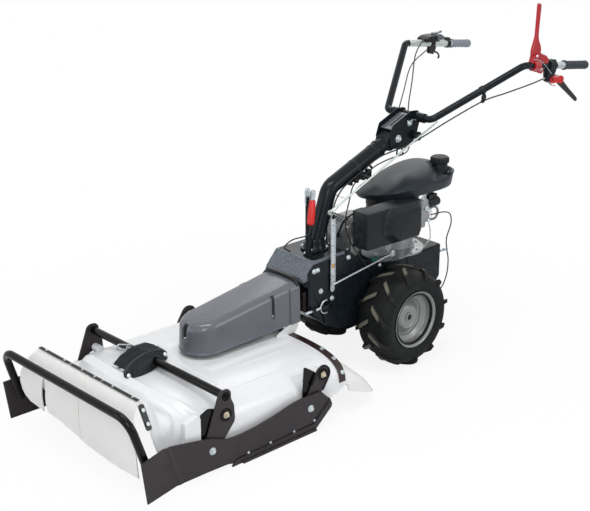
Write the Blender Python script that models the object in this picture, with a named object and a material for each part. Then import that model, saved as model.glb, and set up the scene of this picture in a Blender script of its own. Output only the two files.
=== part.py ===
"""Two-wheel garden tractor with a front-mounted knife mower, built piece by piece.

Metres, +Z up. The machine drives towards -Y and its left side is +X. Lengths along Y are measured from
the wheel axle; the empty called machine carries everything and shifts it so that the middle of the
outline stands over the origin, on the ground.
"""
import bpy
import bmesh
import numpy as np
from math import atan2, cos, hypot, pi, radians, sin
from mathutils import Matrix, Vector

for old in list(bpy.data.objects):
    bpy.data.objects.remove(old, do_unlink=True)

# Clearance between pieces that touch
GAP = 0.0003
# Clearance between pieces that turn in each other
RUNNING = 0.0006

# Sides of the turned wheel pieces, shared so that their flats lie on each other
WHEEL_STEPS = 20

# Wheels
TYRE_RADIUS = 0.204
TYRE_WIDTH = 0.165
LUG_HEIGHT = 0.014
LUG_COUNT = 11
RIM_RADIUS = 0.1165
RIM_WALL = 0.0035
BEAD_RADIUS = 0.1005
WELL_RADIUS = 0.084
WHEEL_OFFSET = 0.205
DISC_OFFSET = 0.036
HUB_RADIUS = 0.021
AXLE_RADIUS = 0.0125

# Chassis and transmission case
CHASSIS_HALF = 0.112
CHASSIS_PLATE = 0.004
CHASSIS_FRONT = -0.440
CHASSIS_REAR = 0.335
ENGINE_BED = 0.405
CASE_TOP = ENGINE_BED - 0.009
SHAFT_HEIGHT = CASE_TOP - 0.044
CASE_HALF = 0.072
CASE_WALL = 0.007
CASE_BOTTOM = 0.150
CASE_FRONT = -0.432
CASE_REAR = 0.085
HOOD_TOP = CASE_TOP + 0.116
HOOD_FRONT = -0.468
HOOD_REAR = -0.235
HOOD_WALL = 0.004

# Power take-off and hitch
SHAFT_RADIUS = 0.011
HITCH_RADIUS = 0.033
SOCKET_WALL = 0.009
SOCKET_FRONT = -0.462
LATCH_NOSE_Z = 0.315
LATCH_RADIUS = 0.0055
LATCH_PIN_RADIUS = 0.0035

# Engine
ENGINE_Y = 0.150
BASE_RADIUS = 0.136
BASE_THICKNESS = 0.009
CRANKCASE_RADIUS = 0.088
CRANKCASE_TOP = 0.676
TANK_CENTRE = (0.015, 0.205)
TANK_HALF = (0.158, 0.208)
TANK_LOW = 0.680
CAP_RADIUS = 0.036
CAP_PLACE = (0.090, 0.335, 0.757)
BOX_OUTER = 0.212

# Handlebar column, head and bars
COLUMN_Y = -0.300
COLUMN_RADIUS = 0.033
COLUMN_INNER = 0.0305
COLUMN_FLANGE = 0.056
BEND = (-0.222, 0.745)
COLLAR = (0.052, 0.852)
TILT_PIVOT = (0.130, 0.886)
BAR_RADIUS = 0.0145
GRIP_RADIUS = 0.0175
GRIP_LENGTH = 0.135
GRIP_X = 0.322
GRIP_END_Y = 0.995
BAR_END_Y = GRIP_END_Y - 0.006
GRIP_Z = 1.108
CROSS_TUBE_Y = 0.236
CROSS_TUBE_Z = 0.960
CROSS_TUBE_HALF = 0.088
HEAD_INNER = 0.034
HEAD_PLATE = 0.005
HANDLE_PIN_RADIUS = 0.004
BAR_BEND_Y = 0.560
BAR_BEND_RISE = 0.058
CLUTCH_Y = 0.632
CLUTCH_RISE = 0.040
CLUTCH_REACH = 0.212
PERCH_Y = 0.735
THROTTLE_Y = 0.735
GUIDE_PLACE = (0.236, 0.415, 1.028)
SWIVEL_PLACE = (0.064, -0.372, 0.772)

# Shift linkage on the left side
LINK_Y = -0.316
LINK_Z = 0.474
LINK_UP = 0.190
LINK_DOWN = 0.100
LINK_PIN_RADIUS = 0.005
ROD_RADIUS = 0.004

# Mower deck
DECK_HALF = 0.380
DECK_FRONT = -1.392
DECK_REAR = -0.510
DECK_TOP = 0.250
DECK_LIP = 0.322
LIP_HALF = DECK_HALF - 0.080
FRONT_PIVOT_Y = -1.100
LEAD = DECK_FRONT - FRONT_PIVOT_Y
DECK_REAR_TOP = 0.238
DECK_BOTTOM = 0.078
DECK_SKIN = 0.004
TOP_KEYS = [(DECK_FRONT, DECK_LIP), (FRONT_PIVOT_Y + LEAD * 0.805, 0.290),
            (FRONT_PIVOT_Y + LEAD * 0.548, 0.262),
            (FRONT_PIVOT_Y + LEAD * 0.274, DECK_TOP), (-0.640, DECK_TOP), (DECK_REAR, DECK_REAR_TOP)]
HALF_KEYS = [(DECK_FRONT, DECK_HALF - 0.028), (FRONT_PIVOT_Y + LEAD * 0.788, DECK_HALF - 0.014),
             (FRONT_PIVOT_Y + LEAD * 0.480, DECK_HALF - 0.004), (FRONT_PIVOT_Y, DECK_HALF),
             (DECK_REAR, DECK_HALF)]
LOW_KEYS = [(DECK_FRONT, 0.232), (FRONT_PIVOT_Y + LEAD * 0.925, 0.150),
            (FRONT_PIVOT_Y + LEAD * 0.788, DECK_BOTTOM),
            (-0.600, DECK_BOTTOM), (DECK_REAR, 0.110)]
ROTOR_Y = -0.880

# Belt drive
BELT_Z = 0.297
PULLEY_THICKNESS = 0.024
DRIVEN_RADIUS = 0.072
DRIVE_RADIUS = 0.045
DRIVE_Y = -0.605
BELT_WIDTH = 0.013
COVER_WALL = 0.0035
COVER_HALF = 0.103
COVER_NOSE = -0.968
COVER_REAR = -0.476
COVER_TOP_REAR = SHAFT_HEIGHT + 0.097
COVER_TOP_FRONT = COVER_TOP_REAR - 0.065
COVER_BOTTOM_REAR = 0.284
COVER_BOTTOM_FRONT = 0.268
HOUSING_NECK = 0.036
HOUSING_FLANGE = 0.064
ROLL_PIVOT = (0, SOCKET_FRONT, SHAFT_HEIGHT)
GEARBOX_LOW = BELT_Z + PULLEY_THICKNESS / 2 + 0.004
GEARBOX_HIGH = SHAFT_HEIGHT + 0.052
GEARBOX_FRONT = -0.650
GEARBOX_REAR = -0.512

# Rotor and knives
SPINDLE_RADIUS = 0.0125
ROTOR_RADIUS = 0.255
ROTOR_Z = 0.112
ROTOR_THICKNESS = 0.008
KNIFE_REACH = DECK_HALF - 0.015
KNIFE_THICKNESS = 0.006
KNIFE_PIN_FOOT = 0.010

# Height linkage and skids
ARM_PLATE = 0.006
ARM_INNER = DECK_HALF + 0.0065
PIVOT_Z = 0.206
REAR_PIVOT_Y = -0.634
ARM_DROP = 0.110
ARM_LEAN = 0.072
LIFT_TUBE_RISE = 0.070
LIFT_TUBE_RADIUS = 0.015
TUBE_SWING = radians(20.5)
SKID_PLATE = 0.006
SKID_FLARE = 0.020
SKID_INNER = ARM_INNER + ARM_PLATE + 0.0045
SKID_TOP = [(FRONT_PIVOT_Y + LEAD * 1.322, 0.171), (FRONT_PIVOT_Y + LEAD * 0.959, 0.182),
            (FRONT_PIVOT_Y + LEAD * 0.863, 0.180), (-1.191, 0.148), (-1.102, 0.118), (-0.996, 0.116),
            (-0.880, 0.130), (-0.774, 0.149), (-0.653, 0.147), (-0.603, 0.100)]
SKID_LOW = [(FRONT_PIVOT_Y + LEAD * 1.253, 0.015), (FRONT_PIVOT_Y + LEAD * 0.788, 0.024),
            (FRONT_PIVOT_Y + LEAD * 0.685, 0.022), (-1.191, 0.021), (-1.102, 0.018), (-1.040, 0.0),
            (-0.880, 0.0), (-0.774, 0.0), (-0.683, 0.0), (-0.593, 0.076)]
SOLE_THICKNESS = 0.008
SOLE_IN = 0.040
SOLE_OUT = 0.012
FRONT_BAR_Y = DECK_FRONT - 0.105
FRONT_BAR_Z = 0.317
FRONT_BAR_RADIUS = 0.0150
FRONT_BAR_HALF = DECK_HALF - 0.003
PIN_RADIUS = 0.008
FLAP_THICKNESS = 0.005
FLAP_LOW = 0.076

# Outline of the whole machine, front bar to grip ends, and the shift that centres it
FRONT_END = FRONT_BAR_Y - FRONT_BAR_RADIUS
CENTRE_Y = (FRONT_END + GRIP_END_Y) / 2

MACHINE = bpy.data.objects.new("machine", None)
MACHINE.location = (0.0, -CENTRE_Y, 0.0)
bpy.context.scene.collection.objects.link(MACHINE)

FINISHES = {}


def finish(name, colour, roughness, metallic=0.0):
    """One material with its colour (linear), roughness and metallic value."""
    if name not in FINISHES:
        material = bpy.data.materials.new(name)
        material.use_nodes = True
        shader = material.node_tree.nodes["Principled BSDF"]
        shader.inputs["Base Color"].default_value = (*colour, 1.0)
        shader.inputs["Roughness"].default_value = roughness
        shader.inputs["Metallic"].default_value = metallic
        FINISHES[name] = material
    return FINISHES[name]


def deck_paint():
    return finish("light_grey_paint", (0.72, 0.73, 0.74), 0.35)


def black_paint():
    return finish("gloss_black_paint", (0.012, 0.011, 0.013), 0.25)


def skid_paint():
    return finish("satin_brown_black_paint", (0.045, 0.040, 0.040), 0.45)


def tractor_paint():
    return finish("blue_black_paint", (0.012, 0.018, 0.024), 0.35)


def hammer_paint():
    return finish("hammered_blue_grey_paint", (0.085, 0.105, 0.13), 0.35, 0.3)


def cover_plastic():
    return finish("blue_grey_plastic", (0.085, 0.09, 0.11), 0.42)


def black_plastic():
    return finish("black_plastic", (0.012, 0.012, 0.013), 0.5)


def tank_plastic():
    return finish("dark_grey_plastic", (0.022, 0.024, 0.028), 0.4)


def flap_rubber():
    return finish("off_white_rubber", (0.66, 0.66, 0.64), 0.6)


def tyre_rubber():
    return finish("tyre_rubber", (0.018, 0.019, 0.020), 0.75)


def grip_rubber():
    return finish("grip_rubber", (0.035, 0.037, 0.042), 0.6)


def belt_rubber():
    return finish("belt_rubber", (0.02, 0.02, 0.02), 0.8)


def rim_silver():
    return finish("silver_grey_paint", (0.42, 0.42, 0.42), 0.35, 0.4)


def zinc():
    return finish("zinc_plate", (0.62, 0.68, 0.72), 0.3, 0.9)


def steel():
    return finish("plain_steel", (0.45, 0.45, 0.46), 0.35, 1.0)


def cast_aluminium():
    return finish("cast_aluminium", (0.55, 0.55, 0.54), 0.45, 0.8)


def red_paint():
    return finish("red_paint", (0.62, 0.012, 0.018), 0.35)


def red_plastic():
    return finish("red_plastic", (0.75, 0.02, 0.02), 0.4)


def cable_plastic():
    return finish("cable_plastic", (0.02, 0.02, 0.022), 0.5)


def add_mesh(name, verts, faces, material=None, pivot=(0, 0, 0), sharp=35):
    """A mesh object whose vertices are given in the machine's coordinates and whose origin is its pivot."""
    mesh = bpy.data.meshes.new(name)
    moved = np.asarray(verts, float) - np.asarray(pivot, float)
    mesh.from_pydata(moved.tolist(), [], faces)
    shape = bmesh.new()
    shape.from_mesh(mesh)
    bmesh.ops.recalc_face_normals(shape, faces=shape.faces)
    shape.to_mesh(mesh)
    shape.free()
    mesh.shade_smooth()
    mesh.set_sharp_from_angle(angle=radians(sharp))
    made = bpy.data.objects.new(name, mesh)
    made.location = pivot
    made.parent = MACHINE
    if material is not None:
        mesh.materials.append(material)
    bpy.context.scene.collection.objects.link(made)
    return made


def as_tool(made):
    """Marks an object as a cutter or a part to be fused in, which isn't a piece by itself."""
    made.hide_render = True
    made.display_type = 'WIRE'
    return made


def combine(target, operation, tools):
    for tool in tools:
        as_tool(tool)
        step = target.modifiers.new(operation.lower(), 'BOOLEAN')
        step.operation = operation
        step.solver = 'EXACT'
        step.object = tool
    return target


def fuse(target, *tools):
    return combine(target, 'UNION', tools)


def cut(target, *tools):
    return combine(target, 'DIFFERENCE', tools)


def round_edges(target, width, segments=2, angle=30):
    step = target.modifiers.new("rounded", 'BEVEL')
    step.width = width
    step.segments = segments
    step.limit_method = 'ANGLE'
    step.angle_limit = radians(angle)
    step.harden_normals = False
    return target


def prism_data(outline, axis, low, high):
    """Two copies of a flat outline joined by walls. The outline is (y, z), (x, z) or (x, y)."""
    count = len(outline)
    verts = []
    for level in (low, high):
        for a, b in outline:
            verts.append({'X': (level, a, b), 'Y': (a, level, b), 'Z': (a, b, level)}[axis])
    faces = [list(range(count)), list(range(2 * count - 1, count - 1, -1))]
    for i in range(count):
        j = (i + 1) % count
        faces.append([i, i + count, j + count, j])
    return verts, faces


def prism(name, outline, axis, low, high, material=None, pivot=(0, 0, 0)):
    verts, faces = prism_data(outline, axis, low, high)
    return add_mesh(name, verts, faces, material, pivot)


def block(name, low, high, material=None, pivot=(0, 0, 0)):
    outline = [(low[0], low[1]), (high[0], low[1]), (high[0], high[1]), (low[0], high[1])]
    return prism(name, outline, 'Z', low[2], high[2], material, pivot)


def frame_along(direction):
    """Two unit vectors square to a direction and to each other."""
    along = Vector(direction).normalized()
    helper = Vector((0, 0, 1)) if abs(along.z) < 0.9 else Vector((0, 1, 0))
    side = helper.cross(along).normalized()
    return along, side, along.cross(side)


def turned_data(profile, centre, direction, steps):
    """Rings of a profile of (radius, height) round an axis; a radius of 0 closes the shape there."""
    along, side, up = frame_along(direction)
    centre = Vector(centre)
    verts = []
    rings = []
    for radius, height in profile:
        middle = centre + along * height
        if radius == 0:
            rings.append([len(verts)] * steps)
            verts.append(middle)
            continue
        first = len(verts)
        for i in range(steps):
            angle = 2 * pi * i / steps
            verts.append(middle + side * (radius * cos(angle)) + up * (radius * sin(angle)))
        rings.append(list(range(first, first + steps)))
    closed = profile[0][0] > 0
    pairs = list(zip(rings, rings[1:]))
    if closed:
        pairs.append((rings[-1], rings[0]))
    faces = []
    for one, two in pairs:
        for i in range(steps):
            j = (i + 1) % steps
            corners = [one[i], one[j], two[j], two[i]]
            loop = [c for k, c in enumerate(corners) if c != corners[k - 1]]
            if len(loop) > 2:
                faces.append(loop)
    return verts, faces


def turned(name, profile, centre, direction, material=None, pivot=(0, 0, 0), steps=24, sharp=35):
    verts, faces = turned_data(profile, centre, direction, steps)
    return add_mesh(name, verts, faces, material, pivot, sharp)


def rod(name, start, end, radius, material=None, pivot=(0, 0, 0), steps=12):
    length = (Vector(end) - Vector(start)).length
    profile = [(0, 0), (radius, 0), (radius, length), (0, length)]
    return turned(name, profile, start, Vector(end) - Vector(start), material, pivot, steps)


def rounded_route(corners, radius, arc_steps=5):
    """Straight runs between corners, with an arc of the given radius at each inner corner."""
    points = [Vector(c) for c in corners]
    route = [points[0]]
    for before, corner, after in zip(points, points[1:], points[2:]):
        to_before = (before - corner).normalized()
        to_after = (after - corner).normalized()
        half = to_before.angle(to_after) / 2
        reach = radius / np.tan(half)
        start = corner + to_before * reach
        end = corner + to_after * reach
        middle = corner + (to_before + to_after).normalized() * (radius / sin(half))
        turn = pi - 2 * half
        normal = (start - middle).cross(end - middle).normalized()
        for k in range(arc_steps + 1):
            route.append(middle + Matrix.Rotation(turn * k / arc_steps, 3, normal) @ (start - middle))
    route.append(points[-1])
    return route


def swept_data(route, radius, sides):
    """A round bar carried along a route, its section kept from twisting."""
    points = [Vector(p) for p in route]
    tangents = []
    for i in range(len(points)):
        before = points[max(i - 1, 0)]
        after = points[min(i + 1, len(points) - 1)]
        tangents.append((after - before).normalized())
    side = frame_along(tangents[0])[1]
    verts = []
    for point, tangent in zip(points, tangents):
        side = (side - tangent * side.dot(tangent)).normalized()
        up = tangent.cross(side)
        for k in range(sides):
            angle = 2 * pi * k / sides
            verts.append(point + side * (radius * cos(angle)) + up * (radius * sin(angle)))
    faces = [list(range(sides))[::-1], list(range(len(verts) - sides, len(verts)))]
    for ring in range(len(points) - 1):
        a = ring * sides
        for k in range(sides):
            j = (k + 1) % sides
            faces.append([a + k, a + j, a + j + sides, a + k + sides])
    return verts, faces


def swept(name, route, radius, material=None, pivot=(0, 0, 0), sides=12):
    verts, faces = swept_data(route, radius, sides)
    return add_mesh(name, verts, faces, material, pivot, 60)


def smooth_route(points, step):
    """A curve through all the points (Catmull-Rom), read at an even spacing."""
    p = [Vector(q) for q in points]
    p = [p[0] * 2 - p[1]] + p + [p[-1] * 2 - p[-2]]
    fine = []
    for i in range(1, len(p) - 2):
        for k in range(20):
            t = k / 20
            a = p[i] * 2
            b = (p[i + 1] - p[i - 1]) * t
            c = (p[i - 1] * 2 - p[i] * 5 + p[i + 1] * 4 - p[i + 2]) * t * t
            d = (p[i] * 3 - p[i - 1] - p[i + 1] * 3 + p[i + 2]) * t ** 3
            fine.append((a + b + c + d) / 2)
    fine.append(p[-2])
    travelled = [0.0]
    for one, two in zip(fine, fine[1:]):
        travelled.append(travelled[-1] + (two - one).length)
    count = max(4, int(round(travelled[-1] / step)))
    wanted = np.linspace(0, travelled[-1], count + 1)
    columns = [np.interp(wanted, travelled, [q[axis] for q in fine]) for axis in range(3)]
    return [Vector(q) for q in zip(*columns)]


def cable(name, points, radius, step=0.036):
    """A control cable as a curve with a round section, made of one open spline."""
    curve = bpy.data.curves.new(name, 'CURVE')
    curve.dimensions = '3D'
    curve.bevel_depth = radius
    curve.bevel_resolution = 2
    curve.use_fill_caps = True
    route = smooth_route(points, step)
    spline = curve.splines.new('POLY')
    spline.points.add(len(route) - 1)
    for place, point in zip(spline.points, route):
        place.co = (*point, 1.0)
    curve.materials.append(cable_plastic())
    made = bpy.data.objects.new(name, curve)
    made.parent = MACHINE
    bpy.context.scene.collection.objects.link(made)
    return made


def blend(value, keys):
    """Straight-line reading of a table of (place, height) pairs."""
    return float(np.interp(value, [k[0] for k in keys], [k[1] for k in keys]))


def circle_outline(centre, radius, start, end, steps):
    return [(centre[0] + radius * cos(start + (end - start) * k / steps),
             centre[1] + radius * sin(start + (end - start) * k / steps)) for k in range(steps + 1)]


def tapered_link(one, radius_one, two, radius_two, steps=6):
    """Outline of a plate with two round ends and straight flanks, in the (y, z) plane."""
    dy, dz = two[0] - one[0], two[1] - one[1]
    heading = atan2(dz, dy)
    tilt = np.arccos((radius_one - radius_two) / hypot(dy, dz))
    far = circle_outline(two, radius_two, heading - tilt, heading + tilt, steps)
    near = circle_outline(one, radius_one, heading + tilt, heading + 2 * pi - tilt, steps)
    return far + near


# Wheels and axle

def tyre(name, side):
    """Carcass turned round the axle, with slanted lugs fused on in two rows."""
    half = TYRE_WIDTH / 2
    tread = TYRE_RADIUS - LUG_HEIGHT
    seat = BEAD_RADIUS + GAP
    lip = RIM_RADIUS
    outer = [(seat, half * 0.84), (lip, half * 0.86), (lip + 0.022, half * 0.985), (tread - 0.030, half),
             (tread - 0.010, half * 0.86), (tread, half * 0.30)]
    wall = 0.008
    inner = [(tread - 0.016, half * 0.60), (tread - 0.040, half - wall), (lip + 0.020, half * 0.985 - wall),
             (seat, half * 0.84 - wall)]
    profile = outer + [(r, -w) for r, w in reversed(outer)]
    profile += [(r, -w) for r, w in reversed(inner)] + inner
    centre = (side * WHEEL_OFFSET, 0, TYRE_RADIUS)
    carcass = turned(name, profile, centre, (1, 0, 0), tyre_rubber(), centre, WHEEL_STEPS, 40)
    verts = []
    faces = []
    for row in (-1, 1):
        for k in range(LUG_COUNT):
            start = 2 * pi * (k + (0.5 if row > 0 else 0.0)) / LUG_COUNT - pi / 2
            first = len(verts)
            for across, drift, lower, upper in ((0.02, 0.0, tread - 0.012, TYRE_RADIUS),
                                                (0.94, 0.30, tread - 0.036, TYRE_RADIUS - 0.006)):
                for radius in (lower, upper):
                    for edge in (-0.055, 0.055):
                        angle = start + drift + edge
                        verts.append((centre[0] + row * across * half, radius * cos(angle),
                                      centre[2] + radius * sin(angle)))
            a = first
            faces += [[a, a + 1, a + 5, a + 4], [a + 2, a + 6, a + 7, a + 3],
                      [a, a + 4, a + 6, a + 2], [a + 1, a + 3, a + 7, a + 5],
                      [a, a + 2, a + 3, a + 1], [a + 4, a + 5, a + 7, a + 6]]
    lugs = add_mesh(name + "_lugs", verts, faces, None, centre)
    return fuse(carcass, lugs)


def rim(name, side):
    """Pressed rim: flanges, bead seats, well, a dished disc and the hub tube, in one turned section."""
    half = TYRE_WIDTH / 2
    wall = RIM_WALL
    flange = half * 0.95
    seat = BEAD_RADIUS
    skin = [(RIM_RADIUS, flange), (RIM_RADIUS, flange - wall), (seat, half * 0.84 + GAP), (seat, half * 0.50),
            (WELL_RADIUS, half * 0.34), (WELL_RADIUS, -half * 0.34), (seat, -half * 0.50),
            (seat, -half * 0.84 - GAP), (RIM_RADIUS, -flange + wall), (RIM_RADIUS, -flange)]
    back = [(RIM_RADIUS - wall, -flange), (seat - wall, -half * 0.84 - wall * 0.6), (seat - wall, -half * 0.48),
            (WELL_RADIUS - wall, -half * 0.30)]
    disc = [(WELL_RADIUS - wall, DISC_OFFSET - 0.016), (0.046, DISC_OFFSET - wall),
            (HUB_RADIUS, DISC_OFFSET - wall), (HUB_RADIUS, -half * 0.40), (AXLE_RADIUS + GAP, -half * 0.40),
            (AXLE_RADIUS + GAP, DISC_OFFSET + 0.004), (HUB_RADIUS, DISC_OFFSET + 0.004),
            (HUB_RADIUS, DISC_OFFSET), (0.048, DISC_OFFSET), (WELL_RADIUS - wall, DISC_OFFSET - 0.012)]
    front = [(seat - wall, half * 0.48), (seat - wall, half * 0.84 + wall * 0.6), (RIM_RADIUS - wall, flange)]
    profile = skin + back + disc + front
    centre = (side * WHEEL_OFFSET, 0, TYRE_RADIUS)
    profile = [(r, w * side) for r, w in profile]
    return turned(name, profile, centre, (1, 0, 0), rim_silver(), centre, WHEEL_STEPS, 25)


def wheel_axle():
    """Solid axle through both hubs, with the worm wheel on it inside the case."""
    reach = WHEEL_OFFSET + DISC_OFFSET + 0.002
    centre = (0, 0, TYRE_RADIUS)
    worm_wheel = 0.046
    profile = [(0, -reach), (AXLE_RADIUS, -reach), (AXLE_RADIUS, -0.014), (worm_wheel, -0.014),
               (worm_wheel, 0.014), (AXLE_RADIUS, 0.014), (AXLE_RADIUS, reach), (0, reach)]
    return turned("wheel_axle", profile, centre, (1, 0, 0), steel(), centre, 20)


def wheels():
    for word, side in (("left", 1), ("right", -1)):
        tyre(word + "_tyre", side)
        rim(word + "_rim", side)
    wheel_axle()


# Chassis, case and hood

def side_plate_outline():
    return [(CHASSIS_FRONT, 0.470), (CHASSIS_FRONT + 0.030, 0.497), (-0.345, 0.500), (-0.205, 0.500),
            (-0.155, 0.458), (-0.075, 0.428), (0.0, ENGINE_BED - GAP), (CHASSIS_REAR, ENGINE_BED - GAP),
            (CHASSIS_REAR, 0.262), (CHASSIS_REAR - 0.030, 0.226), (0.215, 0.262), (0.060, 0.262),
            (-0.090, 0.190), (-0.262, 0.190), (-0.350, 0.232), (CHASSIS_FRONT, 0.322)]


def chassis_frame():
    """Two side plates, the engine bed between them, and the rear plate."""
    outer = CHASSIS_HALF
    inner = outer - CHASSIS_PLATE
    frame = prism("chassis_frame", side_plate_outline(), 'X', inner, outer, tractor_paint())
    other = prism("chassis_right_plate", side_plate_outline(), 'X', -outer, -inner)
    bed_under = CASE_TOP + GAP
    bed = block("chassis_bed", (-outer + 0.001, -0.010, bed_under),
                (outer - 0.001, CHASSIS_REAR - 0.001, ENGINE_BED - GAP))
    rear = block("chassis_rear_plate", (-outer + 0.001, CHASSIS_REAR - CHASSIS_PLATE, 0.264),
                 (outer - 0.001, CHASSIS_REAR, ENGINE_BED - 0.002))
    fuse(frame, other, bed, rear)
    axle_slot = prism("axle_slot", circle_outline((0, TYRE_RADIUS), AXLE_RADIUS + 0.010, 0, 2 * pi, 20)[:-1],
                      'X', -outer - 0.01, outer + 0.01)
    return cut(frame, axle_slot)


def gearbox_housing():
    """Cast case, open on top under the engine bed, with the hitch socket at its front."""
    half = CASE_HALF
    outline = [(CASE_FRONT, 0.300), (-0.300, 0.205), (-0.205, CASE_BOTTOM), (0.040, CASE_BOTTOM),
               (CASE_REAR, 0.185), (CASE_REAR, CASE_TOP), (CASE_FRONT, CASE_TOP)]
    case = prism("gearbox_housing", outline, 'X', -half, half, tractor_paint())
    wall = CASE_WALL
    hollow = [(CASE_FRONT + wall, 0.306), (-0.295, 0.205 + wall), (-0.202, CASE_BOTTOM + wall),
              (0.036, CASE_BOTTOM + wall), (CASE_REAR - wall, 0.189), (CASE_REAR - wall, CASE_TOP + 0.01),
              (CASE_FRONT + wall, CASE_TOP + 0.01)]
    socket = rod("hitch_socket", (0, CASE_FRONT + 0.002, SHAFT_HEIGHT), (0, SOCKET_FRONT, SHAFT_HEIGHT),
                 HITCH_RADIUS + GAP * 2 + SOCKET_WALL, None, (0, 0, 0), 20)
    bosses = [rod("case_boss_%d" % i, (-CHASSIS_HALF + CHASSIS_PLATE + GAP, y, z),
                  (CHASSIS_HALF - CHASSIS_PLATE - GAP, y, z), 0.014, None, (0, 0, 0), 8)
              for i, (y, z) in enumerate(((-0.400, 0.345), (-0.262, 0.235), (0.050, 0.330)))]
    fuse(case, socket, *bosses)
    socket_radius = HITCH_RADIUS + RUNNING
    shaft_radius = SHAFT_RADIUS + RUNNING
    depth = CASE_FRONT + 0.001 - SOCKET_FRONT + 0.01
    stepped = [(0, 0), (socket_radius, 0), (socket_radius, depth), (shaft_radius, depth),
               (shaft_radius, depth + 0.03), (0, depth + 0.03)]
    bore = turned("socket_bore", stepped, (0, SOCKET_FRONT - 0.01, SHAFT_HEIGHT), (0, 1, 0), None,
                  (0, 0, 0), 20)
    inside = prism("case_hollow", hollow, 'X', -half + wall, half - wall)
    axle_hole = rod("axle_hole", (-half - 0.01, 0, TYRE_RADIUS), (half + 0.01, 0, TYRE_RADIUS),
                    AXLE_RADIUS + RUNNING, None, (0, 0, 0), 20)
    return cut(case, fuse(inside, bore, axle_hole))


def front_cover():
    """Hammered cover over the front of the case: sloped face, flat top that carries the column."""
    half = CHASSIS_HALF - CHASSIS_PLATE - GAP
    low = CASE_TOP + GAP
    outline = [(HOOD_FRONT, 0.436), (HOOD_FRONT + 0.004, 0.450), (-0.408, HOOD_TOP), (HOOD_REAR, HOOD_TOP),
               (HOOD_REAR, low), (-0.420, low), (-0.425, 0.436)]
    cover = prism("front_cover", outline, 'X', -half, half, hammer_paint())
    wall = HOOD_WALL
    inside = [(-0.420 + wall, low - 0.01), (-0.425 + wall, 0.446), (-0.404, HOOD_TOP - wall),
              (HOOD_REAR - wall, HOOD_TOP - wall), (HOOD_REAR - wall, low - 0.01)]
    hollow = prism("front_cover_hollow", inside, 'X', -half + wall, half - wall)
    return cut(cover, hollow)


def pto_shaft():
    """Power take-off shaft, from the worm behind the axle to the dog clutch in the hitch tube."""
    start = (0, CASE_REAR - 0.025, SHAFT_HEIGHT)
    length = CASE_REAR - 0.025 - SOCKET_FRONT - 0.020
    profile = [(0, 0), (SHAFT_RADIUS, 0), (SHAFT_RADIUS, 0.045), (0.022, 0.045), (0.022, 0.075),
               (SHAFT_RADIUS, 0.075), (SHAFT_RADIUS, length - 0.009), (0.016, length - 0.0075),
               (0.016, length), (0, length)]
    return turned("pto_shaft", profile, start, (0, -1, 0), steel(), start, 14)


def hitch_latch():
    """Sliding latch on the left side: a rod, its fork and the dark pull block behind it."""
    x = CHASSIS_HALF + 0.011
    z = LATCH_NOSE_Z
    nose = (x, -0.466, z)
    shank = rod("hitch_latch", nose, (x, -0.380, z), LATCH_RADIUS, zinc(), nose, 12)
    upper = swept("latch_upper_arm", [(x, -0.388, z), (x, -0.378, z + 0.014), (x, -0.352, z + 0.028)], 0.004,
                  None, nose, 8)
    lower = swept("latch_lower_arm", [(x, -0.388, z), (x, -0.378, z - 0.014), (x, -0.352, z - 0.028)], 0.004,
                  None, nose, 8)
    pull = block("latch_pull", (x - 0.007, -0.384, z - 0.009), (x + 0.007, -0.322, z + 0.009), None, nose)
    return fuse(shank, upper, lower, pull)


def latch_guide():
    """Boss on the left side plate in which the latch slides."""
    x = CHASSIS_HALF + 0.011
    boss = block("latch_guide", (CHASSIS_HALF - 0.001, -0.434, 0.304), (CHASSIS_HALF + 0.021, -0.414, 0.326))
    bore = rod("latch_guide_bore", (x, -0.480, LATCH_NOSE_Z), (x, -0.395, LATCH_NOSE_Z), LATCH_RADIUS + RUNNING,
               None, (0, 0, 0), 12)
    return cut(boss, bore)


def cable_clip():
    """Zinc clip at the chassis' rear left corner that holds the throttle cable."""
    bracket = block("cable_clip", (0.094, CHASSIS_REAR - 0.002, 0.362), (0.110, CHASSIS_REAR + 0.056, 0.366))
    return bracket


# Engine

def engine_crankcase():
    """Round mounting flange on the bed, crankcase barrel, and the cylinder block towards the front."""
    centre = (0, ENGINE_Y, ENGINE_BED)
    top = CRANKCASE_TOP - ENGINE_BED
    profile = [(0, 0), (BASE_RADIUS, 0), (BASE_RADIUS, BASE_THICKNESS), (CRANKCASE_RADIUS + 0.012, 0.022),
               (CRANKCASE_RADIUS, 0.035), (CRANKCASE_RADIUS, 0.150), (CRANKCASE_RADIUS + 0.022, 0.175),
               (CRANKCASE_RADIUS + 0.022, top), (0, top)]
    case = turned("engine_crankcase", profile, centre, (0, 0, 1), cast_aluminium(), centre, 24)
    cylinder = block("engine_cylinder", (-0.060, -0.130, 0.470), (0.066, ENGINE_Y, 0.596), None, centre)
    head = block("engine_head", (-0.072, -0.172, 0.458), (0.078, -0.125, 0.612), None, centre)
    return fuse(case, cylinder, head)


def muffler_box():
    """Black air and exhaust box on the left of the engine, its outer face drawn in by wide bevels."""
    low, high = 0.512, 0.668
    left, right = -0.196, 0.118
    inset = 0.030
    inner_x = CRANKCASE_RADIUS + 0.022 + GAP * 2
    face = [(left + 0.070, low + 0.012), (right - 0.010, low + inset * 0.5), (right - 0.006, high - 0.018),
            (left + 0.080, high - 0.010), (left + 0.062, high - 0.040), (left + 0.060, low + 0.045)]
    middle = [(left, low + 0.008), (right, low), (right, high), (left + 0.004, high), (left, high - 0.02),
              (left - 0.002, low + 0.03)]
    verts = []
    for x, ring in ((inner_x, middle), (BOX_OUTER - inset, middle), (BOX_OUTER, face)):
        verts += [(x, y, z) for y, z in ring]
    count = len(face)
    faces = [list(range(count)), list(range(2 * count, 3 * count))]
    for level in (0, count):
        for i in range(count):
            j = (i + 1) % count
            faces.append([level + i, level + j, level + j + count, level + i + count])
    return add_mesh("muffler_box", verts, faces, black_plastic())


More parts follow.
